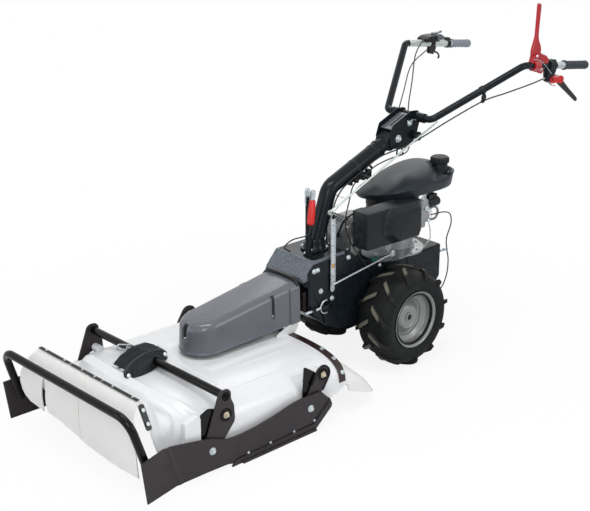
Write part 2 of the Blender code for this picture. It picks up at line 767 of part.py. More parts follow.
def tank_top(x, y):
    """Height of the tank's edge and of its top at a place: both rise towards the cap at the rear left."""
    along = (x - TANK_CENTRE[0]) * 0.68 + (y - TANK_CENTRE[1]) * 0.73
    edge = blend(along, [(-0.19, 0.692), (0.0, 0.710), (0.19, 0.724)])
    top = blend(along, [(-0.19, 0.715), (-0.05, 0.757), (0.05, 0.767), (0.13, 0.755), (0.19, 0.735)])
    return edge, top


def fuel_tank():
    """Dark dome-shaped tank over the engine: a superellipse in plan, low in front and high at the cap."""
    steps = 20
    rings = [(0.93, 'low'), (1.0, 'edge'), (0.94, 0.42), (0.80, 0.78), (0.50, 0.96)]
    verts = []
    for share, kind in rings:
        for k in range(steps):
            angle = 2 * pi * k / steps
            power = 2 / 2.5
            cx, cy = cos(angle), sin(angle)
            x = TANK_CENTRE[0] + TANK_HALF[0] * share * abs(cx) ** power * (1 if cx >= 0 else -1)
            y = TANK_CENTRE[1] + TANK_HALF[1] * share * abs(cy) ** power * (1 if cy >= 0 else -1)
            edge, top = tank_top(x, y)
            z = {'low': TANK_LOW, 'edge': edge}.get(kind)
            verts.append((x, y, edge + (top - edge) * kind if z is None else z))
    verts.append((*TANK_CENTRE, tank_top(*TANK_CENTRE)[1]))
    faces = [list(range(steps))]
    for ring in range(len(rings) - 1):
        for k in range(steps):
            j = (k + 1) % steps
            faces.append([ring * steps + k, ring * steps + j, (ring + 1) * steps + j, (ring + 1) * steps + k])
    last = (len(rings) - 1) * steps
    for k in range(steps):
        faces.append([last + k, last + (k + 1) % steps, len(verts) - 1])
    tank = add_mesh("fuel_tank", verts, faces, tank_plastic(), (0, 0, 0), 50)
    x, y, z = CAP_PLACE
    neck = rod("tank_neck", (x, y, z - 0.040), (x, y, z - GAP), CAP_RADIUS * 0.82)
    return fuse(tank, neck)


def fuel_cap():
    radius = CAP_RADIUS
    profile = [(0, 0), (radius * 0.86, 0), (radius, 0.004), (radius, 0.020), (radius * 0.92, 0.026), (0, 0.028)]
    return turned("fuel_cap", profile, CAP_PLACE, (0, 0, 1), black_plastic(), CAP_PLACE, 20)


def carburettor():
    """Carburettor body behind the box, with its stand-off flange, the black canister and the fuel hose."""
    body = block("carburettor", (0.1115, 0.122, 0.545), (0.168, 0.205, 0.640), cast_aluminium())
    round_edges(body, 0.006, 1)
    canister = rod("carburettor_canister", (0.150, 0.195, 0.622), (0.150, 0.262, 0.622), 0.020)
    hose = swept("carburettor_hose", smooth_route([(0.150, 0.190, 0.592), (0.150, 0.240, 0.598),
                                                   (0.150, 0.262, 0.570), (0.150, 0.245, 0.545),
                                                   (0.150, 0.196, 0.560)], 0.014), 0.005, None, (0, 0, 0), 8)
    return fuse(body, canister, hose)


# Handlebar column, head, bars and controls

def column_point(along):
    """A point on the upper tube's centre line, measured from the bend."""
    bend = Vector((0, *BEND))
    return bend + (Vector((0, *COLLAR)) - bend).normalized() * along


def handlebar_column():
    """Swivelling column: flange on the hood, leaning tube, one bend, upper tube and the inner tube."""
    swivel = (0, COLUMN_Y, HOOD_TOP + GAP)
    foot = 0.018
    profile = [(0, 0), (COLUMN_FLANGE, 0), (COLUMN_FLANGE, 0.008), (COLUMN_RADIUS + 0.010, foot),
               (COLUMN_RADIUS + 0.004, 0.045), (0, 0.045)]
    flange = turned("handlebar_column", profile, swivel, (0, 0, 1), tractor_paint(), swivel, 20)
    route = rounded_route([(0, COLUMN_Y, HOOD_TOP + foot), (0, *BEND), (0, *COLLAR)], 0.050, 5)
    outer = swept("column_outer_tube", route, COLUMN_RADIUS, None, swivel, 14)
    direction = (Vector((0, *COLLAR)) - Vector((0, *BEND))).normalized()
    collar = Vector((0, *COLLAR))
    inner = rod("column_inner_tube", collar - direction * 0.02, collar + direction * 0.052, COLUMN_INNER,
                None, swivel, 14)
    lug_start = collar + direction * 0.050
    y, z = TILT_PIVOT
    half = HEAD_INNER - GAP
    lug = prism("column_head_lug", tapered_link((lug_start.y, lug_start.z), 0.030,
                                                (y + 0.060, z + 0.028), 0.026),
                'X', -half, half, None, swivel)
    fuse(flange, outer, inner, lug)
    pin_hole = rod("column_pin_hole", (-0.1, y, z), (0.1, y, z), 0.005 + RUNNING, None, swivel, 10)
    return cut(flange, pin_hole)


def handlebar_head():
    """Two cheek plates on the tilt bolt, the web over them and the cross tube that joins the bars."""
    y, z = TILT_PIVOT
    pivot = (0, y, z)
    inner = HEAD_INNER
    outer = inner + HEAD_PLATE
    outline = [(y - 0.040, z - 0.040), (y + 0.075, z - 0.048), (y + 0.110, z - 0.010),
               (CROSS_TUBE_Y + 0.024, CROSS_TUBE_Z - 0.020), (CROSS_TUBE_Y + 0.018, CROSS_TUBE_Z + 0.020),
               (CROSS_TUBE_Y - 0.026, CROSS_TUBE_Z + 0.022), (y - 0.030, z + 0.052), (y - 0.048, z + 0.010)]
    head = prism("handlebar_head", outline, 'X', inner, outer, tractor_paint(), pivot)
    other = prism("head_right_plate", outline, 'X', -outer, -inner, None, pivot)
    web_line = [(y - 0.026, z + 0.048), (CROSS_TUBE_Y - 0.024, CROSS_TUBE_Z + 0.020),
                (CROSS_TUBE_Y - 0.024, CROSS_TUBE_Z + 0.014), (y - 0.026, z + 0.042)]
    web = prism("head_web", web_line, 'X', -outer + 0.001, outer - 0.001, None, pivot)
    tube = rod("head_cross_tube", (-CROSS_TUBE_HALF, CROSS_TUBE_Y, CROSS_TUBE_Z),
               (CROSS_TUBE_HALF, CROSS_TUBE_Y, CROSS_TUBE_Z), BAR_RADIUS + 0.002, None, pivot, 14)
    bolt = rod("head_bolt", (-outer - 0.008, y, z), (outer + 0.008, y, z), 0.005, None, pivot, 10)
    bolt_end = rod("head_bolt_end", (outer - 0.001, y, z), (outer + 0.007, y, z), 0.010, None, pivot, 6)
    bolt_other = rod("head_bolt_other", (-outer - 0.007, y, z), (-outer + 0.001, y, z), 0.010, None, pivot, 6)
    place = Vector(handle_place())
    pin = rod("head_handle_pin", place - Vector((outer - 0.001, 0, 0)), place + Vector((outer - 0.001, 0, 0)),
              HANDLE_PIN_RADIUS, None, pivot, 12)
    fuse(head, other, web, tube, bolt, bolt_end, bolt_other, pin)
    x, ky, kz = knob_place()
    knob_hole = rod("head_knob_hole", (inner - 0.01, ky, kz), (outer + 0.01, ky, kz), 0.004 + RUNNING,
                    None, pivot, 16)
    return cut(head, knob_hole)


def knob_place():
    y, z = TILT_PIVOT
    return HEAD_INNER + HEAD_PLATE, y + 0.098, z - 0.004


def clamp_knob():
    """Black knob on a short screw at the left cheek plate."""
    x, y, z = knob_place()
    centre = (x, y, z)
    profile = [(0, -0.018), (0.004, -0.018), (0.004, GAP * 2), (0.012, GAP * 2), (0.012, 0.006), (0.019, 0.010),
               (0.020, 0.024), (0.014, 0.030), (0, 0.031)]
    return turned("clamp_knob", profile, centre, (1, 0, 0), black_plastic(), centre, 14)


def handle_place():
    y, z = TILT_PIVOT
    return (0, y + 0.052, z - 0.034)


def clamp_handle():
    """Loop-shaped lever that hangs on the pin between the cheek plates and locks the bars' tilt."""
    place = Vector(handle_place())
    boss = rod("clamp_handle", place - Vector((0.010, 0, 0)), place + Vector((0.010, 0, 0)), 0.009,
               black_paint(),
               place, 14)
    loop = rounded_route([place, place + Vector((0, -0.014, -0.052)), place + Vector((0, 0.026, -0.056)),
                          place + Vector((0, 0.012, -0.004)), place], 0.006, 3)
    loop = loop[:-1] + [place + Vector((0, 0.002, 0))]
    ring = swept("clamp_handle_loop", loop, 0.0035, None, place, 8)
    bore = rod("clamp_handle_bore", place - Vector((0.02, 0, 0)), place + Vector((0.02, 0, 0)),
               HANDLE_PIN_RADIUS + RUNNING, None, place, 12)
    return cut(fuse(boss, ring), bore)


def bar_route(side):
    """Centre line of a handlebar from the end of the cross tube to the end of its grip."""
    start = Vector((CROSS_TUBE_HALF + GAP, CROSS_TUBE_Y, CROSS_TUBE_Z))
    corners = [start, start + Vector((0.032, 0.0, 0.0)), Vector((GRIP_X, BAR_BEND_Y, GRIP_Z + BAR_BEND_RISE)),
               Vector((GRIP_X, BAR_END_Y, GRIP_Z))]
    route = rounded_route(corners, 0.030, 4)
    return [Vector((c.x * side, c.y, c.z)) for c in route]


def handlebar(name, side):
    pivot = (0, *TILT_PIVOT)
    return swept(name, bar_route(side), BAR_RADIUS, tractor_paint(), pivot, 12)


def grip(name, side):
    """Rubber sleeve pulled over the bar's end, closed at the back."""
    bar_end = bar_place(side, BAR_END_Y)
    along = (bar_place(side, BAR_BEND_Y) - bar_end).normalized()
    end = bar_end - along * 0.006
    bore = (BAR_RADIUS + GAP) / cos(pi / 14)
    profile = [(0, 0), (GRIP_RADIUS - 0.002, 0), (GRIP_RADIUS, 0.003), (GRIP_RADIUS, GRIP_LENGTH - 0.008),
               (GRIP_RADIUS + 0.0025, GRIP_LENGTH - 0.006), (GRIP_RADIUS + 0.0025, GRIP_LENGTH),
               (bore, GRIP_LENGTH), (bore, 0.0045), (0, 0.0045)]
    pivot = (0, *TILT_PIVOT)
    return turned(name, profile, end, along, grip_rubber(), pivot, 14)


def bar_place(side, y):
    """The bar's centre line on its straight rear run, at a given distance behind the axle."""
    share = (y - BAR_BEND_Y) / (BAR_END_Y - BAR_BEND_Y)
    return Vector((side * GRIP_X, y, GRIP_Z + BAR_BEND_RISE * (1 - share)))


def clamp_ring(name, side, y, width, material, pivot, outer=0.024):
    """A split clamp round the bar, as a ring a hair wider than the bar."""
    centre = bar_place(side, y)
    direction = (bar_place(side, y + 0.1) - centre).normalized()
    bore = (BAR_RADIUS + GAP) / cos(pi / 14)
    profile = [(bore, -width / 2), (outer, -width / 2), (outer, width / 2), (bore, width / 2)]
    return turned(name, profile, centre, direction, material, pivot, 14)


def clutch_pivot():
    place = bar_place(1, CLUTCH_Y)
    return (place.x, place.y, place.z + CLUTCH_RISE)


def clutch_bracket():
    """Red bracket clamped on the left bar, with two ears for the tall lever."""
    pivot = (0, *TILT_PIVOT)
    ring = clamp_ring("clutch_bracket", 1, CLUTCH_Y, 0.040, red_paint(), pivot)
    x, y, z = clutch_pivot()
    ears = []
    for i, offset in enumerate((0.0075, -0.0105)):
        line = tapered_link((y + 0.004, z - 0.014), 0.019, (y, z), 0.012, 5)
        ears.append(prism("clutch_ear_%d" % i, line, 'X', x + offset, x + offset + 0.003, None, pivot))
    fuse(ring, *ears)
    pin = rod("clutch_pin", (x - 0.014, y, z), (x + 0.014, y, z), 0.0035, None, pivot, 10)
    return fuse(cut(ring, bar_bore("clutch_bore", 1, CLUTCH_Y)), pin)


def bar_bore(name, side, y):
    """Cutter as long as a clamp's body, a hair wider than the bar."""
    return rod(name, bar_place(side, y - 0.07), bar_place(side, y + 0.07), (BAR_RADIUS + GAP) / cos(pi / 14),
               None, (0, *TILT_PIVOT), 14)


def clutch_lever():
    """Tall red lever that stands on the left bar at rest and folds back onto the grip."""
    x, y, z = clutch_pivot()
    tip = z + CLUTCH_REACH
    outline = [(y - 0.012, z - 0.008), (y + 0.010, z - 0.012), (y + 0.016, z + 0.020), (y + 0.008, z + 0.075),
               (y + 0.013, tip - 0.020), (y + 0.005, tip), (y - 0.004, tip - 0.010), (y - 0.006, z + 0.075),
               (y - 0.018, z + 0.025)]
    blade = prism("clutch_lever", outline, 'X', x - 0.0065, x + 0.0065, red_plastic(), (x, y, z))
    hole = rod("clutch_lever_hole", (x - 0.02, y, z), (x + 0.02, y, z), 0.0035 + RUNNING, None, (x, y, z), 12)
    return cut(blade, hole)


def lever_pivot(side):
    place = bar_place(side, PERCH_Y if side > 0 else THROTTLE_Y)
    return (place.x, place.y + 0.004, place.z - 0.058 if side > 0 else place.z - 0.040)


def lever_perch():
    """Black perch clamped on the left bar that carries the lower lever."""
    pivot = (0, *TILT_PIVOT)
    ring = clamp_ring("lever_perch", 1, PERCH_Y, 0.030, black_plastic(), pivot)
    x, y, z = lever_pivot(1)
    drop = bar_place(1, PERCH_Y).z - BAR_RADIUS - 0.002
    outline = [(y - 0.022, z + 0.012), (y - 0.005, z + 0.012), (y + 0.012, z + 0.020), (y + 0.012, drop),
               (y - 0.022, drop)]
    body = prism("perch_body", outline, 'X', x - 0.012, x + 0.012, None, pivot)
    ears = [block("perch_ear_%d" % i, (x + o, y - 0.016, z - 0.010), (x + o + 0.0035, y + 0.012, z + 0.024),
                  None, pivot) for i, o in enumerate((0.0075, -0.011))]
    pin = rod("perch_pin", (x - 0.014, y, z), (x + 0.014, y, z), 0.0035, None, pivot, 12)
    return cut(fuse(ring, body, *ears, pin), bar_bore("perch_bore", 1, PERCH_Y))


def brake_lever():
    """Lower left lever: red root at its pin and a black blade that points back and down."""
    x, y, z = lever_pivot(1)
    outline = [(y - 0.009, z - 0.002), (y - 0.004, z - 0.011), (y + 0.040, z - 0.006), (y + 0.120, z - 0.072),
               (y + 0.196, z - 0.126), (y + 0.204, z - 0.118), (y + 0.132, z - 0.052), (y + 0.060, z + 0.008),
               (y + 0.020, z + 0.0105), (y - 0.004, z + 0.008)]
    blade = prism("brake_lever", outline, 'X', x - 0.0065, x + 0.0065, red_plastic(), (x, y, z))
    hole = rod("brake_lever_hole", (x - 0.02, y, z), (x + 0.02, y, z), 0.0035 + RUNNING, None, (x, y, z), 12)
    return cut(blade, hole)


def throttle_box():
    """Throttle housing on the right bar, with the perch of the small lever under it."""
    pivot = (0, *TILT_PIVOT)
    place = bar_place(-1, THROTTLE_Y)
    ring = clamp_ring("throttle_box", -1, THROTTLE_Y, 0.110, black_plastic(), pivot, 0.019)
    top = block("throttle_housing", (place.x - 0.030, place.y - 0.060, place.z + BAR_RADIUS + 0.001),
                (place.x + 0.030, place.y + 0.055, place.z + BAR_RADIUS + 0.026), None, pivot)
    round_edges(top, 0.006, 1)
    x, y, z = lever_pivot(-1)
    under = block("right_perch", (x - 0.010, y - 0.020, z + 0.012), (x + 0.010, y + 0.014, place.z - 0.017),
                  None, pivot)
    ears = [block("right_ear_%d" % i, (x + o, y - 0.012, z - 0.009), (x + o + 0.003, y + 0.010, z + 0.016),
                  None, pivot) for i, o in enumerate((0.0065, -0.0095))]
    pin = rod("right_pin", (x - 0.012, y, z), (x + 0.012, y, z), 0.003, None, pivot, 12)
    return cut(fuse(ring, top, under, *ears, pin), bar_bore("throttle_bore", -1, THROTTLE_Y))


def throttle_lever():
    """Thumb lever on top of the throttle housing, turning on an upright pin."""
    place = bar_place(-1, THROTTLE_Y)
    z = place.z + BAR_RADIUS + 0.026 + GAP
    pivot = (place.x, place.y + 0.010, z)
    outline = circle_outline((pivot[0], pivot[1]), 0.012, radians(110), radians(430), 10)
    outline += [(pivot[0] + 0.007, pivot[1] + 0.052), (pivot[0] - 0.003, pivot[1] + 0.052)]
    return prism("throttle_lever", outline, 'Z', z, z + 0.006, black_plastic(), pivot)


def right_lever():
    """Small dark lever under the throttle, curved back towards the grip."""
    x, y, z = lever_pivot(-1)
    outline = [(y - 0.008, z), (y - 0.002, z - 0.009), (y + 0.030, z - 0.008), (y + 0.058, z - 0.030),
               (y + 0.062, z - 0.046), (y + 0.070, z - 0.044), (y + 0.068, z - 0.022), (y + 0.040, z - 0.001),
               (y + 0.010, z + 0.0065), (y - 0.004, z + 0.0065)]
    blade = prism("right_lever", outline, 'X', x - 0.0055, x + 0.0055, black_plastic(), (x, y, z))
    hole = rod("right_lever_hole", (x - 0.02, y, z), (x + 0.02, y, z), 0.003 + RUNNING, None, (x, y, z), 12)
    return cut(blade, hole)


def beside_column(along, out, down):
    """A point beside the leaning upper tube, out to the left and down from its centre line."""
    return column_point(along) + Vector((out, 0, -down))


def lever_cable():
    """Cable from the lower left lever through the guide and past the head, down beside the column."""
    x, y, z = lever_pivot(1)
    return cable("lever_cable", [(x, y - 0.0235, z + 0.010), (x - 0.006, y - 0.070, z + 0.004),
                                 (0.284, 0.560, 1.083), GUIDE_PLACE, (0.150, 0.310, 0.950),
                                 (0.095, 0.235, 0.893), (0.062, 0.160, 0.856),
                                  beside_column(0.260, 0.046, 0.006),
                                 beside_column(0.160, 0.041, 0.010), beside_column(0.040, 0.040, 0.016),
                                 (0.042, -0.238, 0.676), (0.046, -0.252, 0.590),
                                  (0.050, -0.248, HOOD_TOP + 0.002)],
                 0.0030, 0.036)


def throttle_cable():
    """Cable from the throttle housing past the head and the column, down beside the left wheel, through the
    clip at the chassis' corner and back up in an arc to the carburettor."""
    place = bar_place(-1, THROTTLE_Y)
    return cable("throttle_cable", [(place.x + 0.018, place.y - 0.0625, place.z + 0.028),
                                    (place.x + 0.024, place.y - 0.090, place.z + 0.026),
                                    (-0.262, 0.560, 1.120), (-0.205, 0.480, 1.030), (-0.145, 0.395, 0.955),
                                    (-0.085, 0.326, 0.895), (-0.030, 0.270, 0.850), (0.014, 0.226, 0.826),
                                    (0.044, 0.165, 0.818), (0.050, 0.080, 0.816),
                                     beside_column(0.240, 0.040, 0.034),
                                    beside_column(0.180, 0.033, 0.043), beside_column(0.110, 0.036, 0.042),
                                    (0.052, -0.160, 0.690), (0.066, -0.195, 0.610), (0.094, -0.192, 0.535),
                                    (0.1165, -0.150, 0.456), (0.1173, -0.084, 0.374), (0.1173, 0.020, 0.296),
                                    (0.1173, 0.150, 0.222), (0.1173, 0.270, 0.180), (0.1165, 0.345, 0.200),
                                    (0.1175, 0.378, 0.255), (0.1175, 0.384, 0.320), (0.1175, 0.372, 0.372),
                                    (0.122, 0.362, 0.425), (0.134, 0.372, 0.490), (0.146, 0.350, 0.540),
                                    (0.160, 0.295, 0.566), (0.162, 0.240, 0.572), (0.162, 0.2058, 0.574)],
                 0.0027, 0.042)


def right_cable():
    """Cable from the small right lever along the bar to the right side of the head."""
    x, y, z = lever_pivot(-1)
    return cable("right_cable", [(x, y - 0.0215, z + 0.017), (x + 0.008, y - 0.060, z + 0.010),
                                 (-0.286, 0.560, 1.070), (-0.206, 0.430, 0.996), (-0.130, 0.310, 0.925),
                                 (-0.066, 0.225, 0.886), (-0.056, 0.160, 0.850)], 0.0026, 0.036)


def swivel_post():
    """Post beside the column for the lever with the red grip, on an ear of the column's flange."""
    x, y, z = SWIVEL_PLACE
    pivot = (0, COLUMN_Y, HOOD_TOP + GAP)
    low = HOOD_TOP + GAP
    foot = prism("swivel_foot", [(0.010, COLUMN_Y - 0.040), (0.028, y - 0.013), (0.053, y - 0.013),
                                 (0.053, y + 0.010), (0.040, COLUMN_Y - 0.020)], 'Z', low, low + 0.006,
                 None, pivot)
    post = swept("swivel_post", [(0.040, -0.372, low), (0.040, -0.372, 0.60), (0.036, -0.368, z - 0.030)],
                 0.012,
                 None, pivot, 16)
    ear = block("swivel_ear", (0.030, y - 0.012, z - 0.060), (0.0365, y + 0.012, z + 0.012), None, pivot)
    pin = rod("swivel_pin", (0.034, y, z), (x + 0.008, y, z), 0.004, None, pivot, 12)
    return foot, post, ear, pin


def swivel_lever():
    """Lever with the red grip at the front of the column; it frees the column's swivel."""
    x, y, z = SWIVEL_PLACE
    pivot = (x, y, z)
    link = prism("swivel_lever", tapered_link((y, z), 0.011, (y - 0.002, z - 0.030), 0.009), 'X',
                 x - 0.0025, x + 0.0025, red_plastic(), pivot)
    handle = rod("swivel_grip", (x, y - 0.001, z - 0.026), (x + 0.012, y - 0.024, z - 0.125), 0.0145,
                 None, pivot, 14)
    hole = rod("swivel_hole", (x - 0.02, y, z), (x + 0.02, y, z), 0.004 + RUNNING, None, pivot, 12)
    return cut(fuse(link, handle), hole)


def swivel_cable():
    """Cable from the red grip in a loop down into the front cover."""
    x, y, z = SWIVEL_PLACE
    return cable("swivel_cable", [(x + 0.012, y - 0.0245, z - 0.1262), (x + 0.010, y - 0.036, z - 0.160),
                                  (0.030, -0.448, 0.590), (-0.010, -0.452, 0.552),
                                  (-0.030, -0.420, 0.526), (-0.034, -0.400, HOOD_TOP + 0.0036)], 0.0028, 0.022)


def linkage_bar():
    """Flat zinc bar on the left side that turns on its brass bolt and works both rods."""
    x = CHASSIS_HALF + 0.0085
    y, z = LINK_Y, LINK_Z
    pivot = (x, y, z)
    bar = prism("linkage_bar", tapered_link((y, z + LINK_UP), 0.0115, (y, z - LINK_DOWN), 0.0105), 'X',
                x - 0.0025, x + 0.0025, zinc(), pivot)
    hole = rod("linkage_hole", (x - 0.02, y, z), (x + 0.02, y, z), LINK_PIN_RADIUS + RUNNING, None, pivot, 16)
    return cut(bar, hole)


def linkage_pin():
    x = CHASSIS_HALF
    return rod("linkage_pin_tool", (x - 0.002, LINK_Y, LINK_Z), (x + 0.018, LINK_Y, LINK_Z), LINK_PIN_RADIUS)


def linkage_rod():
    """Thin zinc rod from the foot of the bar back and up to the clevis at the engine bed."""
    x = CHASSIS_HALF + 0.0165
    start = Vector((x, LINK_Y, LINK_Z - LINK_DOWN + 0.018))
    end = Vector((x, 0.010, ENGINE_BED + 0.041))
    bar = swept("linkage_rod", [start, start.lerp(end, 0.5), end], ROD_RADIUS, zinc(), start, 10)
    clevis = block("linkage_clevis", (x - 0.008, end.y - 0.012, end.z - 0.010),
                   (x + 0.008, end.y + 0.016, end.z + 0.012),
                   None, start)
    return fuse(bar, clevis)


def shift_rod():
    """Long zinc rod along the left of the column, from above the linkage bar to under the left bar."""
    start = Vector((0.098, LINK_Y + 0.002, LINK_Z + LINK_UP + 0.022))
    end = Vector((0.098, 0.300, 0.938))
    pivot = (0, COLUMN_Y, HOOD_TOP + GAP)
    bar = swept("shift_rod", [start, start.lerp(end, 0.5), end], ROD_RADIUS, zinc(), pivot, 10)
    eye = rod("shift_eye", (start.x - ROD_RADIUS, start.y, start.z),
              (start.x + ROD_RADIUS, start.y, start.z), 0.009,
              None, pivot, 16)
    return fuse(bar, eye)


def column_saddle():
    """Bracket on the column that guides the long rod."""
    pivot = (0, COLUMN_Y, HOOD_TOP + GAP)
    place = column_point(0.150)
    return block("column_saddle", (0.008, place.y - 0.010, place.z - 0.031),
                 (0.0935, place.y + 0.010, place.z - 0.020), None, pivot)


# Mower deck


def deck_section(y, inset):
    """Arch of the deck at y: upright sides drawn into a broad shoulder and a nearly flat top.

    A superellipse: x follows the cosine and z the sine, each raised to a power below one, so the sides
    and the top run nearly straight and meet in a round shoulder. Towards the front lip it turns into a
    trapezoid with a straight top and straight slanting sides.
    """
    top = blend(y, TOP_KEYS) - inset
    half = blend(y, HALF_KEYS) - inset
    low = blend(y, LOW_KEYS)
    behind_lip = FRONT_PIVOT_Y + LEAD * 0.514
    power = blend(y, [(DECK_FRONT, 0.46), (behind_lip, 0.52), (-1.0, 0.50), (DECK_REAR, 0.56)])
    straight = blend(y, [(DECK_FRONT, 1.0), (behind_lip, 0.0)])
    corner = LIP_HALF - inset * 0.6
    count = 16
    points = []
    for k in range(count + 1):
        angle = pi * k / count
        sign = 1 if cos(angle) >= 0 else -1
        x = half * abs(cos(angle)) ** power * sign
        z = low + (top - low) * sin(angle) ** power
        place = min(k, count - k)
        flat_x = sign * (half + (corner - half) * place / 4) if place <= 4 else corner * (8 - k) / 4
        flat_z = low + (top - low) * min(1.0, place / 4)
        points.append((x + (flat_x - x) * straight, y, z + (flat_z - z) * straight))
    return points


def mower_deck():
    """Arched steel shell, open at the front, the back and below, with pivot bosses and the hitch bracket."""
    stations = [FRONT_PIVOT_Y + LEAD * share for share in (1.0, 0.908, 0.805, 0.651, 0.480, 0.274)]
    stations += [-1.05, -0.64, DECK_REAR]
    rows = [(deck_section(y, 0.0), deck_section(y, DECK_SKIN)) for y in stations]
    per_row = len(rows[0][0])
    verts = []
    for outer, inner in rows:
        verts += outer + inner
    faces = []
    last = len(rows) - 1

    def index(row, layer, k):
        return row * 2 * per_row + layer * per_row + k

    for row in range(last):
        for k in range(per_row - 1):
            faces.append([index(row, 0, k), index(row, 0, k + 1),
                          index(row + 1, 0, k + 1), index(row + 1, 0, k)])
            faces.append([index(row, 1, k), index(row + 1, 1, k),
                          index(row + 1, 1, k + 1), index(row, 1, k + 1)])
        for k in (0, per_row - 1):
            faces.append([index(row, 0, k), index(row + 1, 0, k), index(row + 1, 1, k), index(row, 1, k)])
    for row in (0, last):
        for k in range(per_row - 1):
            faces.append([index(row, 0, k), index(row, 1, k), index(row, 1, k + 1), index(row, 0, k + 1)])
    deck = add_mesh("mower_deck", verts, faces, deck_paint(), ROLL_PIVOT, 40)
    tools = []
    for i, (side, y) in enumerate(((1, FRONT_PIVOT_Y), (-1, FRONT_PIVOT_Y),
                                         (1, REAR_PIVOT_Y), (-1, REAR_PIVOT_Y))):
        pad = ARM_INNER - GAP - (DECK_HALF - 0.040)
        reach = ARM_INNER + ARM_PLATE + 0.004 - (DECK_HALF - 0.040)
        tools.append(turned("deck_pivot_%d" % i, [(0, 0), (0.024, 0), (0.024, pad), (PIN_RADIUS, pad),
                                                  (PIN_RADIUS, reach), (0, reach)],
                            (side * (DECK_HALF - 0.040), y, PIVOT_Z), (side, 0, 0), None, ROLL_PIVOT, 12))
    tools += hitch_bracket()
    fuse(deck, *tools)
    opening = rod("spindle_opening", (0, ROTOR_Y, 0.20), (0, ROTOR_Y, 0.30),
                  (HOUSING_NECK + GAP) / cos(pi / 18), None,
                  ROLL_PIVOT, 18)
    return cut(deck, opening)


def hitch_bracket():
    """Welded bracket at the deck's rear: two upright plates under the bevel gearbox and a cross web."""
    tools = []
    top = GEARBOX_LOW - GAP
    for i, x in enumerate((0.050, -0.056)):
        line = [(-0.560, DECK_TOP - 0.006), (-0.519, DECK_REAR_TOP - 0.004), (GEARBOX_REAR - 0.005, top),
                (-0.552, top)]
        tools.append(prism("hitch_plate_%d" % i, line, 'X', x, x + 0.006, None, ROLL_PIVOT))
    tools.append(block("hitch_web", (-0.0555, -0.545, top - 0.006), (0.0555, GEARBOX_REAR - 0.006, top),
                       None, ROLL_PIVOT))
    return tools


def bevel_gearbox():
    """Bevel gearbox on the deck's rear, its hitch tube turned into the tractor's socket."""
    case = block("bevel_gearbox", (-0.058, GEARBOX_FRONT, GEARBOX_LOW), (0.058, GEARBOX_REAR, GEARBOX_HIGH),
                 cast_aluminium(), ROLL_PIVOT)
    tube = rod("hitch_tube", (0, GEARBOX_REAR - 0.002, SHAFT_HEIGHT),
               (0, CASE_FRONT - GAP * 2, SHAFT_HEIGHT), HITCH_RADIUS, None, ROLL_PIVOT, 20)
    collar = rod("hitch_collar", (0, GEARBOX_REAR - 0.002, SHAFT_HEIGHT),
                 (0, SOCKET_FRONT - 0.004, SHAFT_HEIGHT), HITCH_RADIUS + 0.009, None, ROLL_PIVOT, 20)
    fuse(case, tube, collar)
    hollow = block("bevel_hollow", (-0.052, GEARBOX_FRONT + 0.006, GEARBOX_LOW + 0.006),
                   (0.052, GEARBOX_REAR - 0.006, GEARBOX_HIGH - 0.006), None, ROLL_PIVOT)
    bore = rod("hitch_tube_bore", (0, GEARBOX_REAR - 0.03, SHAFT_HEIGHT), (0, CASE_FRONT + 0.01, SHAFT_HEIGHT),
               0.020, None, ROLL_PIVOT, 20)
    shaft_hole = rod("bevel_shaft_hole", (0, DRIVE_Y, GEARBOX_LOW - 0.01), (0, DRIVE_Y, GEARBOX_LOW + 0.03),
                     0.012 + RUNNING, None, ROLL_PIVOT, 18)
    return cut(case, fuse(hollow, bore, shaft_hole))


def pulley_profile(radius, low, high):
    """Half section of a V pulley: two flanges and the groove, as (radius, height)."""
    middle = (low + high) / 2
    groove = BELT_WIDTH / 2 + 0.001
    return [(radius, low), (radius, middle - groove), (radius - 0.012, middle - groove * 0.55),
            (radius - 0.012, middle + groove * 0.55), (radius, middle + groove), (radius, high)]


def drive_pulley():
    """Drive pulley on the short upright shaft that comes down out of the bevel gearbox."""
    low = BELT_Z - PULLEY_THICKNESS / 2
    high = BELT_Z + PULLEY_THICKNESS / 2
    centre = (0, DRIVE_Y, 0)
    profile = [(0, low - 0.004), (0.018, low - 0.004), (0.018, low)] + pulley_profile(DRIVE_RADIUS, low, high)
    profile += [(0.012, high), (0.012, GEARBOX_LOW + 0.012), (0.030, GEARBOX_LOW + 0.012),
                (0.020, GEARBOX_LOW + 0.030), (0, GEARBOX_LOW + 0.030)]
    return turned("drive_pulley", profile, centre, (0, 0, 1), steel(), (0, DRIVE_Y, BELT_Z), 16)


def spindle_housing():
    """Flanged bearing housing that hangs in the deck's opening and holds the rotor spindle."""
    bore = SPINDLE_RADIUS + RUNNING
    top = DECK_TOP + 0.014
    profile = [(bore, 0.150), (0.030, 0.150), (HOUSING_NECK, 0.170), (HOUSING_NECK, DECK_TOP + GAP),
               (HOUSING_FLANGE, DECK_TOP + GAP), (HOUSING_FLANGE, DECK_TOP + 0.007), (0.030, top), (bore, top)]
    return turned("spindle_housing", profile, (0, ROTOR_Y, 0), (0, 0, 1), cast_aluminium(), ROLL_PIVOT, 18)


def rotor_spindle():
    """Upright spindle with the driven pulley keyed on its top."""
    low = BELT_Z - PULLEY_THICKNESS / 2
    high = BELT_Z + PULLEY_THICKNESS / 2
    foot = ROTOR_Z + ROTOR_THICKNESS + GAP
    profile = [(0, foot), (0.024, foot), (0.024, foot + 0.010), (SPINDLE_RADIUS, foot + 0.014),
               (SPINDLE_RADIUS, low - 0.008), (0.022, low - 0.008), (0.022, low)]
    profile += pulley_profile(DRIVEN_RADIUS, low, high)
    profile += [(0.020, high), (0.020, high + 0.006), (0, high + 0.006)]
    return turned("rotor_spindle", profile, (0, ROTOR_Y, 0), (0, 0, 1), steel(), (0, ROTOR_Y, ROTOR_Z), 16)


